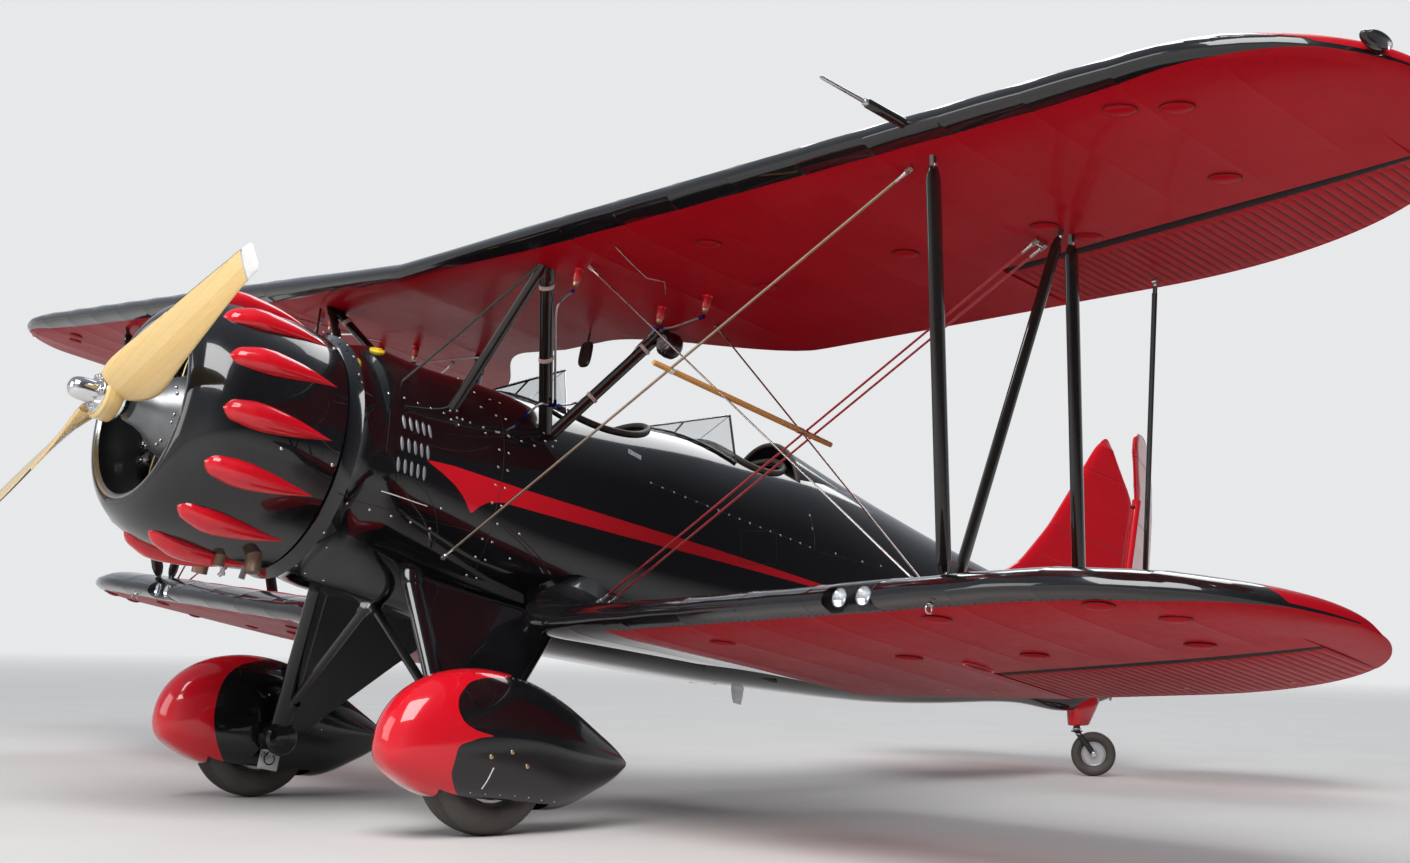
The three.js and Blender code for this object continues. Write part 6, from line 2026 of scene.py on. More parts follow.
class BIPLANE_OT_tail(PieceOperator, bpy.types.Operator):
    """Fin, rudder, stabiliser, elevators and their struts"""
    bl_idname = "biplane.tail"
    bl_label = "Tail"

    def make(self):
        fin = upright(tail_panel(FIN_OUTLINE, 25, 190, round_ends=(False, True), reach=30,
                                 lines=(2340, 2747)))
        piece("fin_skin", fin, slot="red_paint", nodes=["fin"], crease=28)
        space = LEVEL @ Matrix.Translation((0, HINGE_Y, 0)) @ Matrix.Rotation(RUDDER_REST, 4, "Z")
        rudder = [upright(tail_panel(RUDDER_OUTLINE, 23, 165, 0.55, reach=45, lines=(2150, 2560, 2905))),
                  tube([(0, 0, 1500), (0, 0, 2100), (0, 0, 2688)], 27, "red", 28),
                  tube([(0, 0, 1466), (0, 0, 1510)], 8, "alloy", 16)]
        piece("rudder_skin", rudder, "rudder_body", "red_paint", ["rudder"], space, crease=28)
        half = tail_panel(STABILISER_OUTLINE, 27, 230, round_ends=(False, True)).shifted(0, 0, HINGE_Z)
        half.verts[:, 0] = np.where(half.verts[:, 0] < 2, 0, half.verts[:, 0])
        piece("stabiliser_skin", [half, half.mirrored()], slot="red_paint", nodes=["stabiliser"], crease=28)
        strut = [streamlined((60, 4300, 1440), (980, 4420, 1786), 9, 19),
                 cuff((980, 4420, 1786), (60, 4300, 1440), 0.0, 0.05, 11, 21)]
        elevator = [tail_panel(ELEVATOR_OUTLINE, 22, 200, 0.5),
                    tube([(82, 0, 0), (1598, 0, 0)], 23, "red", 24),
                    tube([(14, 0, 0), (110, 0, 0)], 12, "alloy", 20)]
        pair("elevator_skin_SIDE", [s.shifted(0, ELEVATOR_Y, HINGE_Z) for s in elevator], "elevator_body",
             "red_paint", ["elevator_SIDE"], crease=28)
        pair("tail_strut_parts_SIDE", strut, nodes=["tail_strut_SIDE"])
        brackets = [block((30, 62, 12), (0, HINGE_Y - 10, z), "red_seam") for z in (1650, 2180, 2640)]
        piece("rudder_brackets", brackets, slot="red_paint")


# The boot round the tailwheel's stem, in the parked frame: height, front, back and half width
TAIL_BOOT = [(286, 4764, 4886, 24), (288, 4754, 4894, 34), (294, 4749, 4901, 40), (330, 4747, 4924, 46),
             (370, 4746, 4952, 51), (418, 4746, 4984, 55), (452, 4762, 4982, 46)]
FORK = {"y": 4809, "top": 262, "half": 52, "stem": 20, "stem_top": 335, "swivel": math.radians(-50)}
TAIL_TYRE_RADIUS = 127
TRAIL = 95


class BIPLANE_OT_tailwheel(PieceOperator, bpy.types.Operator):
    """Tailwheel, its fork and fairing"""
    bl_idname = "biplane.tailwheel"
    bl_label = "Tailwheel"

    def make(self):
        turn = ring_angles(56)
        across, along = signed_power(np.cos(turn), 0.7), signed_power(np.sin(turn), 0.7)
        rings = []
        for z, front, back, half in TAIL_BOOT:
            rings.append(np.stack([half * across, (front + back) / 2 + (back - front) / 2 * along,
                                   np.full_like(turn, z)], axis=1))
        fairing = mesh_object("tail_fairing_skin", loft(rings, "red"), GROUND)
        room = turned([(0, FORK["top"] - 30), (72, FORK["top"] - 30), (72, FORK["top"] + 8),
                       (21.5, FORK["top"] + 8),
                       (21.5, FORK["stem_top"] + 3), (0, FORK["stem_top"] + 3)], 48, "red_seam", "z")
        cut(fairing, room.shifted(0, FORK["y"], 0), GROUND)
        smooth_mesh(fairing.data)
        settle(fairing, "airframe", "red_paint", ["tailwheel_fairing"])
        space = GROUND @ Matrix.Translation((0, FORK["y"], 0)) @ Matrix.Rotation(FORK["swivel"], 4, "Z")
        top, half = FORK["top"], FORK["half"]
        shapes = []
        for x in (-half - 5, half + 5):
            arm = smooth_path([(x * 0.7, 2, top - 9), (x, 12, top - 24), (x, 50, 190),
                               (x, TRAIL, TAIL_TYRE_RADIUS)],
                              6)
            shapes.append(tube(arm, 5, "black", 20, wide=16))
            shapes.append(drum(15, -6, 6, 6, "screw", "x").shifted(x, TRAIL, TAIL_TYRE_RADIUS))
        axle_end = half + 6
        shapes += [
            block((2 * half * 0.8, 40, 13), (0, 0, top - 8), "black"),
            drum(33, 0, 9, 36, "black", "z").shifted(0, 0, top - 12),
            tube([(0, 0, top - 12), (0, 0, FORK["stem_top"] - 1)], FORK["stem"] - 0.4, "engine_black", 32),
            drum(26, 0, 7, 32, "alloy", "z").shifted(0, 0, top + 2),
            tube([(-axle_end, TRAIL, TAIL_TYRE_RADIUS), (axle_end, TRAIL, TAIL_TYRE_RADIUS)], 11.6, "alloy",
                 24),
        ]
        piece("tail_fork_parts", shapes, "tail_fork", nodes=["tailwheel_fork"], space=space, bevel=0.8)
        wheel = [s.shifted(0, TRAIL, TAIL_TYRE_RADIUS)
                 for s in wheel_shape(TAIL_TYRE_RADIUS, 43, 24, 12.6, 2)]
        piece("tail_wheel_parts", wheel, "tail_wheel", "tyre", ["tailwheel"], space)


# Cockpits


# Windshields: (y, height) of the tip and the peak, half width, y of the side and radius of the rear post
WINDSHIELDS = {
    "front": {"tip": (240, 1950), "peak": (600, 2160), "half": 285, "side_y": 480, "post": 0},
    "rear": {"tip": (1094, 2022), "peak": (1634, 2250), "half": 280, "side_y": 1515, "post": 8},
}
RAIL = 8
SEAT_Y = {"front": 830, "rear": 1720}


def edge_on_body(y, x):
    return deck_at(y, clamp(x, -430, 430))[0]


def pillow(size, centre, tilt):
    """A cushion: a box with swollen faces and rounded edges"""
    x, y, z = size
    turn = ring_angles(56)
    across, along = signed_power(np.cos(turn), 0.45), signed_power(np.sin(turn), 0.45)
    rings = []
    for v in np.linspace(-math.pi / 2 + 0.02, math.pi / 2 - 0.02, 17):
        spread = math.cos(v) ** 0.35
        rings.append(np.stack([x / 2 * spread * across, y / 2 * spread * along,
                               np.full_like(turn, z / 2 * math.sin(v))], axis=1))
    return loft(rings, "leather").moved(Matrix.Translation(centre) @ Matrix.Rotation(tilt, 4, "X"))


class BIPLANE_OT_windshields(PieceOperator, bpy.types.Operator):
    """Framed vee windshields with braces"""
    bl_idname = "biplane.windshields"
    bl_label = "Windshields"

    def make(self):
        for name, w in WINDSHIELDS.items():
            tip = Vector((0, w["tip"][0], w["tip"][1] - 2))
            peak = Vector((0, w["peak"][0], w["peak"][1] - 9))
            for side, sign in zip(SIDES, (1, -1)):
                base = []
                for x in np.linspace(0, w["half"] - 10, 9):
                    y = blend(w["tip"][0], w["side_y"], (x / w["half"]) ** 1.3)
                    base.append(Vector((sign * x, y, edge_on_body(y, sign * x).z + 7)))
                foot = base[-1]
                corners = [peak, *base]
                normal = (foot - tip).cross(peak - tip).normalized() * 1.6
                pane = loft([[c + normal * d for c in corners] for d in (-1, 1)], "glass")
                piece(f"{name}_pane_{side}", pane, slot="glass", nodes=[f"windshield_{name}"])
                frame = [tube(base, 6, "strut_black", 12)]
                if side == "left":
                    frame.append(tube([tip, blend(tip, peak, 0.5), peak], RAIL, "strut_black", 12, wide=5))
                    strut_top = blend(tip, peak, 0.48)
                    frame.append(tube([strut_top, strut_top + Vector((0, -60, -92))], 4.5, "strut_black",
                                      10))
                if w["post"] and side == "left":
                    frame.append(tube([foot, blend(foot, peak, 0.5), peak], w["post"], "strut_black", 12,
                                      wide=5))
                else:
                    frame.append(tube([foot, blend(foot, peak, 0.5), peak], 2.4, "chrome", 10))
                piece(f"{name}_screen_frame_{side}", frame)
                rivets = [(blend(tip, peak, t) + Vector((sign * 5, -3, 4)), Vector((sign * 0.6, -0.5, 0.8)))
                          for t in np.linspace(0.04, 0.96, 19)]
                rivets += [(p + Vector((sign * 2, 0, 6)), Vector((sign * 0.3, -0.3, 1))) for p in base[1:]]
                heads(f"{name}_screen_rivets_{side}", rivets, size=(3.2, 3.2, 2))


class BIPLANE_OT_cockpits(PieceOperator, bpy.types.Operator):
    """Coamings, seats with cushions, floors, sticks and instrument panels"""
    bl_idname = "biplane.cockpits"
    bl_label = "Cockpits"

    def make(self):
        for name, (centre, length, width) in COCKPITS.items():
            rim = oval(centre, length - 4, width - 4, 72)
            path = [deck_at(y, x)[0] + Vector((0, 0, 4)) for x, y in rim]
            sides = 16
            roll = tube([*path, path[0], path[1]], 15, "leather", sides, caps=(False, False))
            # The last ring of faces repeats the first, and the one before it closes on the first points
            ring = len(path) * sides
            faces = [tuple(i % ring for i in f) for f in roll.faces[:ring]]
            piece(f"{name}_coaming", Shape(roll.verts[:ring], faces, "leather"), slot="leather")
            self.make_seat(name, SEAT_Y[name], width)
            self.make_inside(name, centre, length)

    def make_seat(self, name, y, width):
        wide = min(width * 1.45, 380)
        outline = [(y - 260, 1235), (y - 270, 1305), (y + 90, 1285), (y + 190, 1700), (y + 250, 1700),
                   (y + 160, 1220)]
        pan = loft([[(x, a, b) for a, b in outline] for x in (-wide / 2, wide / 2)], "panel_grey")
        stand = block((200, 180, 330), (0, y - 30, 1085), "panel_grey")
        piece(f"{name}_seat_frame", [pan, stand], slot="leather", nodes=[f"seat_{name}"], bevel=6)
        seat = piece(f"{name}_seat_cushion", pillow((wide - 16, 330, 74), (0, y - 92, 1331), -0.05),
                     slot="leather")
        back = piece(f"{name}_back_cushion", pillow((wide - 20, 330, 66), (0, y + 108, 1512),
                                                    math.radians(76)),
                     slot="leather")
        for cushion in (seat, back):
            self.puff(cushion)
        straps = []
        for x in (-70, 70):
            straps.append(tube(smooth_path([(x, y + 196, 1700), (x, y + 150, 1690), (x, y + 92, 1600),
                                            (x * 0.8, y + 40, 1440), (x * 0.6, y - 6, 1374)], 6), 1.8,
                               "white", 10, wide=22, aft=(1, 0, 0)))
        piece(f"{name}_belts", straps, slot="leather")

    def puff(self, obj):
        """Blows a cushion up a little with a cloth simulation"""
        scene = bpy.context.scene
        cloth = obj.modifiers.new("Fill", "CLOTH")
        cloth.settings.use_pressure = True
        cloth.settings.uniform_pressure_force = 2.5
        cloth.settings.shrink_min = -0.01
        cloth.settings.effector_weights.gravity = 0
        cloth.point_cache.frame_start, cloth.point_cache.frame_end = 1, 12
        before = np.array([v.co for v in obj.data.vertices])
        for frame in range(1, 13):
            scene.frame_set(frame)
        evaluated = obj.evaluated_get(bpy.context.evaluated_depsgraph_get())
        after = np.array([v.co for v in evaluated.data.vertices])
        obj.modifiers.clear()
        scene.frame_set(1)
        move = after - before
        length = np.maximum(np.linalg.norm(move, axis=1), 1e-9)
        move *= np.minimum(1, 0.008 / length)[:, None]
        obj.data.vertices.foreach_set("co", (before + move).ravel())
        obj.data.update()

    def make_inside(self, name, centre, length):
        floor = [block((560, 2 * length + 120, 12), (0, centre, 985), "panel_grey")]
        for x in (-90, 0, 90):
            floor.append(block((60, 2 * length + 100, 4), (x, centre, 993), "alloy"))
        piece(f"{name}_floor", floor, bevel=1.5)
        y = centre - length + 6
        z = deck_at(y, 0)[0].z - 150
        board = [tube([(x, y, z - 92 + 10 * math.cos(x / 190)) for x in (-230, 230)], 6, "panel_grey", 24,
                      wide=6),
                 loft([[(230 * math.cos(a), yy, z + (118 if math.sin(a) > 0 else 96) * math.sin(a))
                        for a in np.linspace(0, 2 * math.pi, 48)[:-1]] for yy in (y, y + 8)], "panel_grey")]
        for i, (x, dz, r) in enumerate(((-140, 20, 40), (-50, 30, 44), (50, 30, 44), (140, 20, 40),
                                        (-95, -52, 28), (0, -54, 30), (95, -52, 28))):
            board.append(turned([(0, 0), (r, 0), (r, 9), (r - 5, 11), (r - 6, 7), (0, 7)], 36,
                                ["black", "black", "black", "seam", "seam"]).shifted(x, y + 7, z + dz))
            board.append(drum(1.5, 0, 1, 8, "white").shifted(x, y + 15, z + dz))
            board.append(block((2.6, 1.2, r * 0.7), (0, 0, r * 0.28), "white").moved(
                Matrix.Translation((x, y + 15.5, z + dz)) @ Matrix.Rotation(0.8 * i - 1.6, 4, "Y")))
        piece(f"{name}_instruments", board)
        stick = [tube(smooth_path([(0, centre - 130, 992), (0, centre - 120, 1180),
                                   (0, centre - 96, 1400)]), 11,
                      "strut_black", 16),
                 tube([(0, centre - 100, 1370), (0, centre - 90, 1480)], 17, "rubber", 20),
                 ball((0, centre - 132, 1000), (34, 34, 20), "rubber")]
        front = centre - length + 40
        for x in (-120, 120):
            stick.append(tube([(x - 46, front, 1050), (x + 46, front, 1050)], 9, "alloy", 12))
            stick.append(tube([(x, front, 1050), (x, front + 20, 995)], 7, "alloy", 12))
        piece(f"{name}_controls", stick)


# Trim on the skins


LOUVRES = {"ys": np.linspace(-476, -340, 5), "zs": (1552, 1460, 1372), "size": (8.5, 31, 3.4)}
# Screws on the port side of the nose and body, as y and z
NOSE_SCREWS = [(-670, 1040), (-600, 1000), (-660, 910), (-570, 900), (-490, 890), (-210, 1260), (210, 1260),
               (200, 1150)]
SIDE_SEAMS = [
    [(-540, 1410), (-542, 1500), (-540, 1590)],
    [(-380, 1330), (-300, 1300), (-240, 1250), (-190, 1170), (-180, 1090)],
    [(1941, 1828), (1962, 1700), (1967, 1628), (2230, 1650), (2498, 1669)],
    [(1453, 1595), (1692, 1657), (1708, 1499), (1477, 1442), (1453, 1595)],
    [(-700, 1190), (-400, 1190), (-60, 1210), (57, 1215)],
]
FASTENER_LINE = [(896, 1676), (1131, 1664), (1385, 1655), (1652, 1646), (1931, 1639)]


def side_at(y, z):
    return skin_at(y, z, NOSE_SECTIONS if y < FIREWALL_Y else None)


def along_line(knots, count):
    """Evenly spaced places on a line of (y, z) knots"""
    knots = np.asarray(knots, float)
    run = np.concatenate([[0], np.cumsum(np.linalg.norm(np.diff(knots, axis=0), axis=1))])
    at = np.linspace(0, run[-1], count)
    return [(float(np.interp(s, run, knots[:, 0])), float(np.interp(s, run, knots[:, 1]))) for s in at]


def facing_space(place, facing, along=(0, 1, 0)):
    """A frame that stands on a surface: z outwards, x towards the given direction"""
    z = Vector(facing).normalized()
    x = (Vector(along) - z * z.dot(Vector(along))).normalized()
    return Matrix.Translation(place) @ Matrix((x, z.cross(x), z)).transposed().to_4x4()


def wing_skin(wing, x, y):
    """A place on a wing's lower skin in the level frame and its outward direction"""
    y -= wing["lead"]

    def z_at(x, y):
        return float(wing_heights(wing, x, [y])[1][0])
    normal = Vector((z_at(x + 5, y) - z_at(x - 5, y), z_at(x, y + 5) - z_at(x, y - 5), -10))
    space = wing_space(wing)
    return space @ Vector((x, y, z_at(x, y))), (space.to_3x3() @ normal).normalized()


class BIPLANE_OT_side_trim(PieceOperator, bpy.types.Operator):
    """Louvres, screws, seams, hatch, plate and filler cap on the body"""
    bl_idname = "biplane.side_trim"
    bl_label = "Side trim"

    def make(self):
        louvres = [side_at(y, z) for z in LOUVRES["zs"] for y in LOUVRES["ys"]]
        heads("nose_louvres", both_sides(louvres), size=LOUVRES["size"], colour="louvre", sides=16, rings=6)
        # A flat near-black rim round each louvre: painted shade
        heads("nose_louvre_rims", both_sides(louvres), size=(11, 35, 1.4), colour="seam", sides=16, rings=4)
        spots = [side_at(y, 1660) for y in np.arange(-680, 251, 70)]
        spots += [side_at(y, 1170) for y in np.arange(-630, -229, 100)]
        spots += [side_at(y, z) for y, z in NOSE_SCREWS]
        spots += [side_at(y, z) for y in (34, 86) for z in range(960, 1821, 78)]
        spots += [deck_at(y, x, NOSE_SECTIONS) for y in (-690, -40) for x in range(60, 440, 74)]
        heads("nose_screws", both_sides(spots))
        row = [side_at(y, z) for y, z in along_line(FASTENER_LINE, 16)]
        row += [side_at(y, z) for y, z in ((1941, 1800), (1950, 1735), (2120, 1654), (2330, 1664),
                                           (2480, 1680))]
        heads("body_fasteners", both_sides(row), size=(5.4, 5.4, 2.2))
        seams = [tube([side_at(y, z)[0] for y, z in along_line(line, 12 * len(line))], 1.3, "seam", 6)
                 for line in (*SIDE_SEAMS, FASTENER_LINE)]
        seams.append(tube([side_at(y, 1251)[0] for y in np.linspace(-515, -281, 16)], 2.2, "white", 6))
        pair("body_seams_SIDE", seams)
        seam_y = FIREWALL_Y - 0.5
        ring = section_ring(spline_columns(BODY_SECTIONS, [seam_y])[0], seam_y, 128)
        piece("firewall_seam", tube(np.vstack([ring, ring[:1]]), 1.5, "seam", 6))
        at, facing = deck_at(-505, 205, NOSE_SECTIONS)
        cap = turned([(0, -4), (33, -4), (33, 5), (29, 8), (10, 8.5), (10, 13), (0, 13)], 36, "yellow", "z")
        grip = block((38, 7, 6), (0, 0, 11), "yellow")
        piece("filler_cap", [s.moved(facing_space(at, facing)) for s in (cap, grip)], slot="red_paint",
              bevel=0.8)
        at, facing = side_at(822, 1792)
        plate = [block((72, 30, 1.6), (0, 0, 0.6), "alloy"), block((34, 22, 1.2), (13, 0, 1.4), "white"),
                 ball((-24, 0, 1.4), (4, 4, 2), "seam", 6, 12)]
        space = facing_space(at, facing, (0, 1, -0.36))
        piece("blank_plate", [s.moved(space) for s in plate], slot="polished_steel")
        # The antenna's sections: half width, half length, shift aft and height
        sections = ((5, 44, 0, 962), (5, 42, 2, 930), (4, 34, 10, 890), (3, 26, 16, 868))
        blade_shape = loft([[(w * math.cos(a), 1998 + shift + c * math.sin(a), z) for a in ring_angles(24)]
                            for w, c, shift, z in sections], "alloy")
        piece("belly_antenna", blade_shape)
        step = [tube(smooth_path([(440, 1270, 1010), (475, 1270, 985), (482, 1276, 940)], 6), 9,
                     "strut_black", 14),
                tube([(440, 1200, 938), (484, 1276, 934), (478, 1352, 938)], 10, "rubber", 14)]
        piece("boarding_step", step)


UPPER_COVERS = [(3732, -221), (3890, -154), (3730, 338), (2332, 363), (2961, 391), (3042, 534), (1560, 380),
                (1700, -60)]
LOWER_COVERS = [(3509, 280), (3655, 480), (3516, 815), (2824, 828), (2273, 782), (2846, 281), (1640, 420)]
GROMMETS = [(1934, 1389), (2159, 1416), (1618, 1372), (3050, 1420), (3500, 1400)]
LIGHT_BAY = {"inner": 2468, "outer": 2700, "depth": 62, "lamps": (2528, 2640), "lamp_y": 26}


def light_bay_cutter():
    inner, outer, depth = LIGHT_BAY["inner"], LIGHT_BAY["outer"], LIGHT_BAY["depth"]
    return block((outer - inner, depth + 60, 260), ((inner + outer) / 2, depth / 2 - 30, 40), "seam").moved(
        wing_space(LOWER))


def light_bay_parts():
    """Twin lamps behind a clear cover that follows the leading edge"""
    space = wing_space(LOWER)
    rings = []
    for x in np.linspace(LIGHT_BAY["inner"] + 1, LIGHT_BAY["outer"] - 1, 9):
        lead = wing_edges(LOWER, x)[0]
        outer = wing_ring(LOWER, x)[TOP_REAR - 1 : TOP_REAR + TOP_NOSE + LOW_NOSE + 1]
        centre = np.array([x, lead + 70, outer[:, 2].mean()])
        rings.append(np.vstack([outer, (centre + (outer - centre) * 0.975)[::-1]]))
    cover = loft(rings, "glass").moved(space)
    lamps = []
    for x in LIGHT_BAY["lamps"]:
        y = wing_edges(LOWER, x)[0] + LIGHT_BAY["lamp_y"]
        top, bottom = wing_heights(LOWER, x, [y])
        z, radius = float(top[0] + bottom[0]) / 2, float(top[0] - bottom[0]) / 2 - 3
        bowl = turned([(0, 28), (radius * 0.5, 24), (radius * 0.9, 8), (radius, 2), (radius, 0),
                       (radius * 0.92, 0), (radius * 0.8, 8), (radius * 0.45, 20), (0, 23)], 36, "mirror")
        front = turned([(0, -7), (radius * 0.55, -5), (radius * 0.9, 0), (radius * 0.9, 3), (0, 3)], 36,
                       "lens")
        bulb = ball((0, 8, 0), 7, "white", 8, 12)
        lamps += [s.shifted(x, y, z).moved(space) for s in (bowl, front, bulb)]
    return cover, lamps


class BIPLANE_OT_wing_trim(PieceOperator, bpy.types.Operator):
    """Covers, grommets, lights, tie-down rings and the pitot boom"""
    bl_idname = "biplane.wing_trim"
    bl_label = "Wing trim"

    def make(self):
        edges = [wing_skin(wing, x, wing["lead"] + wing_edges(wing, x)[0] + 70)
                 for wing, start, end in ((LOWER, 1300, 3900), (UPPER, 60, 4300))
                 for x in range(start, end, 36)]
        heads("leading_edge_tacks", both_sides(edges), size=(2.6, 2.6, 1.2), colour="seam", sides=8, rings=3)
        shapes = []
        for wing, spots in ((UPPER, UPPER_COVERS), (LOWER, LOWER_COVERS)):
            for x, y in spots:
                dome = ball((0, 0, 0), (52, 34, 9), "wing_red", 8, 28)
                rim = washer(33, 37, -1, 1.6, 28, "red_seam", "z")
                rim.verts[:, 0] *= 1.5
                space = facing_space(*wing_skin(wing, x, y), (1, 0.3, 0))
                shapes += [s.moved(space) for s in (dome, rim)]
        pair("wing_covers_SIDE", shapes, slot="wing_red")
        eyes = [washer(4, 9, -1, 1.8, 20, "brass", "z").moved(facing_space(*wing_skin(LOWER, x, y)))
                for x, y in GROMMETS]
        space = facing_space(*wing_skin(LOWER, 2927, 153))
        loop = [(15 * math.cos(a), 0, 15 * math.sin(a) + 15) for a in np.linspace(-1.3, 4.4, 25)]
        eyes += [s.moved(space) for s in (tube(loop, 3, "wire_steel", 10),
                                          drum(13, -1, 2, 6, "wire_steel", "z"))]
        pair("wing_fittings_SIDE", eyes, slot="polished_steel")
        space = facing_space(*wing_skin(LOWER, 2455, 960))
        oval_path = [(78 * math.cos(a), 26 * math.sin(a), 0) for a in np.linspace(0, 2 * math.pi, 41)]
        window = [tube(oval_path, 4.5, "red", 10), ball((0, 0, -1), (76, 24, 2.6), "seam", 6, 36)]
        pair("aileron_window_SIDE", [s.moved(space) for s in window], slot="red_paint")
        line = [wing_skin(UPPER, x, y)[0] for x, y in ((1314, -205), (1240, -62), (1168, 82), (1186, 116),
                                                       (1204, 149), (1150, 200), (1096, 249))]
        pair("wing_wire_SIDE", tube(line, 2, "wire_steel", 8), slot="wire")
        cover, lamps = light_bay_parts()
        pair("landing_light_cover_SIDE", cover, slot="glass")
        pair("landing_lamps_SIDE", lamps, slot="polished_steel")
        tip, _ = wing_skin(UPPER, 4500, -120)
        light = [ball(tip + Vector((22, 0, 24)), (26, 58, 19), "lens", 12, 28),
                 ball(tip + Vector((4, 0, 24)), (24, 62, 22), "wing_black", 12, 28)]
        pair("wing_tip_light_SIDE", light, slot="glass")
        root = at_spar(UPPER, BAY["upper"], 0.02, 62)
        mast = turned([(0, -203), (12, -203), (16.5, -196), (17.5, -120), (18.5, -30), (18.5, 14), (0, 14)],
                      28, "strut_black")
        probe = turned([(0, -413), (2.5, -413), (5.6, -406), (6.5, -300), (7.6, -198), (0, -198)], 20,
                       "alloy")
        collar = turned([(0, -214), (11, -214), (13, -209), (13, -200), (0, -200)], 24, "alloy")
        piece("pitot_parts", [s.shifted(*root) for s in (mast, probe, collar)], nodes=["pitot_boom"])


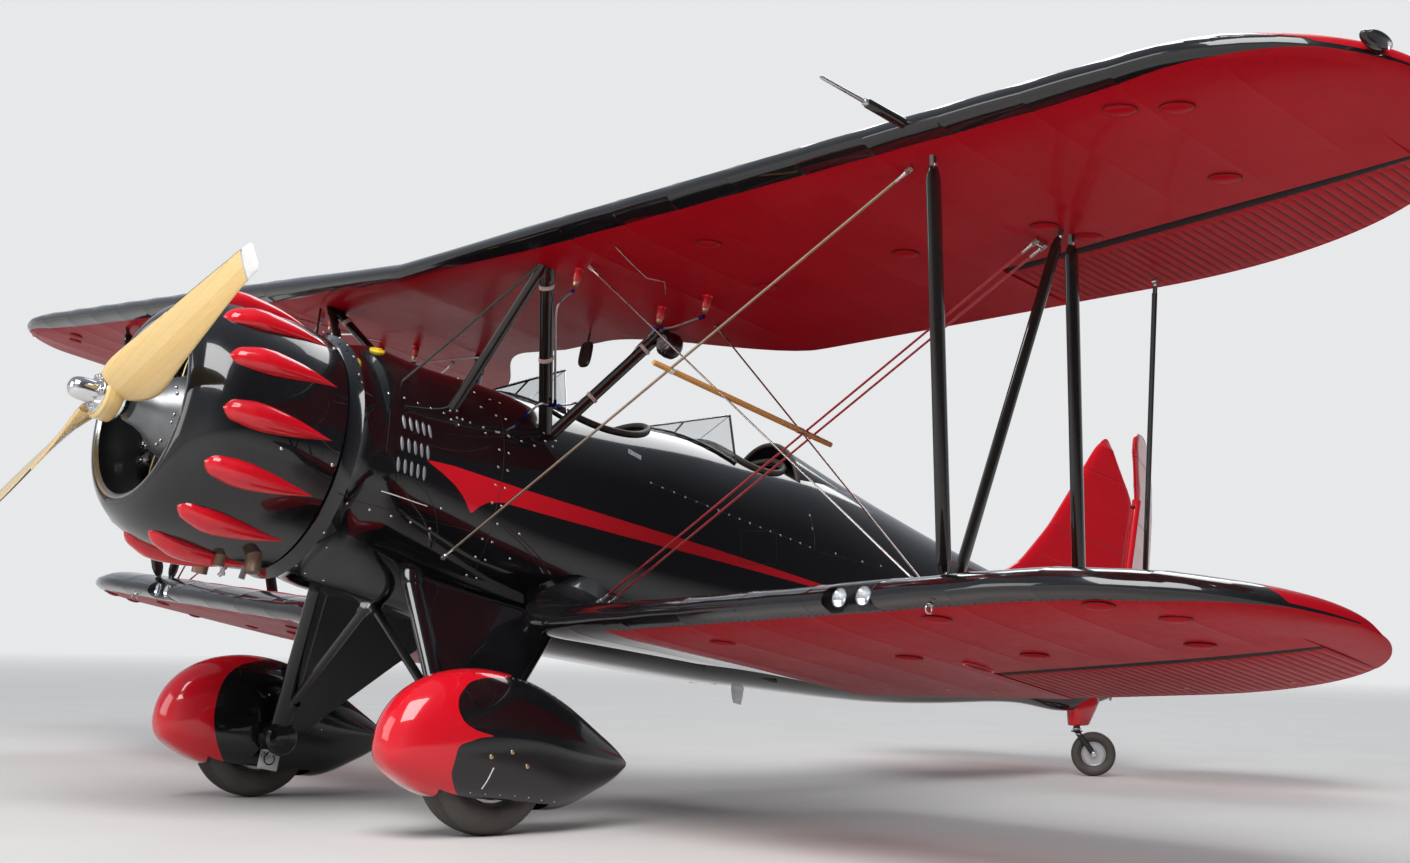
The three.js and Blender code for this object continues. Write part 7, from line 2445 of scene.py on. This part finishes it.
class BIPLANE_OT_fuel_lines(PieceOperator, bpy.types.Operator):
    """Fuel lines on the cabane struts, sight gauges, a driven pump and a mirror"""
    bl_idname = "biplane.fuel_lines"
    bl_label = "Fuel lines"

    def make(self):
        top, rear_top = at_spar(UPPER, *CABANE_TOP, 30), at_spar(UPPER, *CABANE_REAR_TOP, 30)
        foot, rear_foot = CABANE_FOOT, CABANE_REAR_FOOT
        gauges = ((965, -112), (943, 361), (1250, 346))
        bowl = turned([(0, 4), (21, 4), (21, -2), (17, -6), (17, -48), (12, -56), (12, -70), (0, -70)], 28,
                      ["red"] * 5 + ["brass"] * 3, "z")
        places = [wing_skin(UPPER, x, y)[0] for x, y in gauges]
        shapes, fittings = [bowl.shifted(*place) for place in places], []
        front, middle, outer = (place + Vector((0, 0, -70)) for place in places)
        beside = Vector((26, 30, 0))
        low = blend(foot, top, 0.19) + beside
        main = [front + Vector((-4, -6, -26)), blend(foot, top, 0.80) + beside * 1.6,
                blend(foot, top, 0.72) + beside, blend(foot, top, 0.45) + beside, low + Vector((0, 0, 10))]
        over = Vector((0, -8, 26))
        branch = [low + Vector((12, 14, 0)),
                  *(blend(rear_foot, rear_top, share) + over * away
                    for share, away in ((0.2, 1.7), (0.3, 1), (0.66, 1), (0.74, 1.4), (0.86, 1.5))),
                  middle + Vector((-10, -10, -24))]
        cross = [middle + Vector((16, 10, -22)), blend(middle, outer, 0.35) + Vector((0, 0, -34)),
                 blend(middle, outer, 0.7) + Vector((0, 0, -26)), outer + Vector((-10, 0, -20))]
        at, facing = side_at(173, 1762)
        tail = [low + Vector((-10, -14, -6)), low + Vector((-24, -60, -14)),
                at + facing * 26 + Vector((0, 10, 6))]
        for path in (main, branch, cross, tail):
            shapes.append(tube(smooth_path(path), 5.2, "alloy", 12))
            for a, b in ((path[0], path[1]), (path[-1], path[-2])):
                way = (b - a).normalized()
                fittings.append(tube([a - way * 12, a - way * 2, a + way * 20], [7.5, 8.5, 6.5], "blue", 6))
        pair("fuel_lines_SIDE", shapes + fittings, slot="polished_steel")
        self.make_pump(rear_foot, rear_top)
        self.make_mirror()

    def make_pump(self, rear_foot, rear_top):
        middle = blend(rear_foot, rear_top, 0.93) + Vector((40, 30, -48))
        pump = [turned([(0, -46), (30, -46), (52, -34), (58, -10), (58, 18), (48, 34), (20, 46), (0, 48)],
                       36, "strut_black"), drum(34, -50, -46, 32, "alloy"),
                tube([(0, 0, 0), (-30, -20, 60)], 9, "strut_black", 12)]
        vane = block((8, 3, 26), (0, -52, 22), "alloy")
        pump += [vane.moved(Matrix.Rotation(k * math.pi / 3, 4, "Y")) for k in range(6)]
        piece("driven_pump", [s.shifted(*middle) for s in pump])

    def make_mirror(self):
        shapes = [tube([(0, 0, 0), (0, 0, -44)], 5, "strut_black", 10)]
        turn = ring_angles(40)
        across, along = signed_power(np.cos(turn), 0.6), signed_power(np.sin(turn), 0.6)
        # Back and glass: half width, half height and y of each section
        for sections, colour in ((((38, 56, -8), (42, 60, -2), (42, 60, 4)), "strut_black"),
                                 (((38, 56, 4), (38, 56, 6)), "mirror")):
            shapes.append(loft([np.stack([w * across, np.full_like(turn, y), h * along - 100], axis=1)
                                for w, h, y in sections], colour))
        at, _ = wing_skin(UPPER, 318, 470)
        piece("mirror", [s.shifted(*at) for s in shapes])


STEPS = (BIPLANE_OT_stage, BIPLANE_OT_body, BIPLANE_OT_wings, BIPLANE_OT_ailerons, BIPLANE_OT_cowl,
         BIPLANE_OT_engine, BIPLANE_OT_propeller, BIPLANE_OT_gear, BIPLANE_OT_struts, BIPLANE_OT_wires,
         BIPLANE_OT_cabane, BIPLANE_OT_tail, BIPLANE_OT_tailwheel, BIPLANE_OT_windshields,
         BIPLANE_OT_cockpits, BIPLANE_OT_side_trim, BIPLANE_OT_wing_trim, BIPLANE_OT_fuel_lines)


class BIPLANE_PT_panel(bpy.types.Panel):
    """Lists the steps that make the biplane"""
    bl_idname = "BIPLANE_PT_panel"
    bl_label = "Biplane"
    bl_space_type = "VIEW_3D"
    bl_region_type = "UI"
    bl_category = "Biplane"

    def draw(self, context):
        layout = self.layout
        for settings in (context.scene.biplane_colours, context.scene.biplane_sizes):
            for name in settings.__annotations__:
                layout.prop(settings, name)
        for step in STEPS:
            layout.operator(step.bl_idname)


CLASSES = (BiplaneColours, BiplaneSizes, *STEPS, BIPLANE_PT_panel)


def register():
    for cls in CLASSES:
        bpy.utils.register_class(cls)
    bpy.types.Scene.biplane_colours = PointerProperty(type=BiplaneColours)
    bpy.types.Scene.biplane_sizes = PointerProperty(type=BiplaneSizes)


def unregister():
    del bpy.types.Scene.biplane_colours
    del bpy.types.Scene.biplane_sizes
    for cls in reversed(CLASSES):
        bpy.utils.unregister_class(cls)


def main():
    register()
    for step in STEPS:
        group, name = step.bl_idname.split(".")
        getattr(getattr(bpy.ops, group), name)()
    boxes = {"cad": CAD_BOX, "visual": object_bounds()}
    {k: [[float(c) for c in corner] for corner in v] for k, v in boxes.items()}


if __name__ == "__main__":
    main()
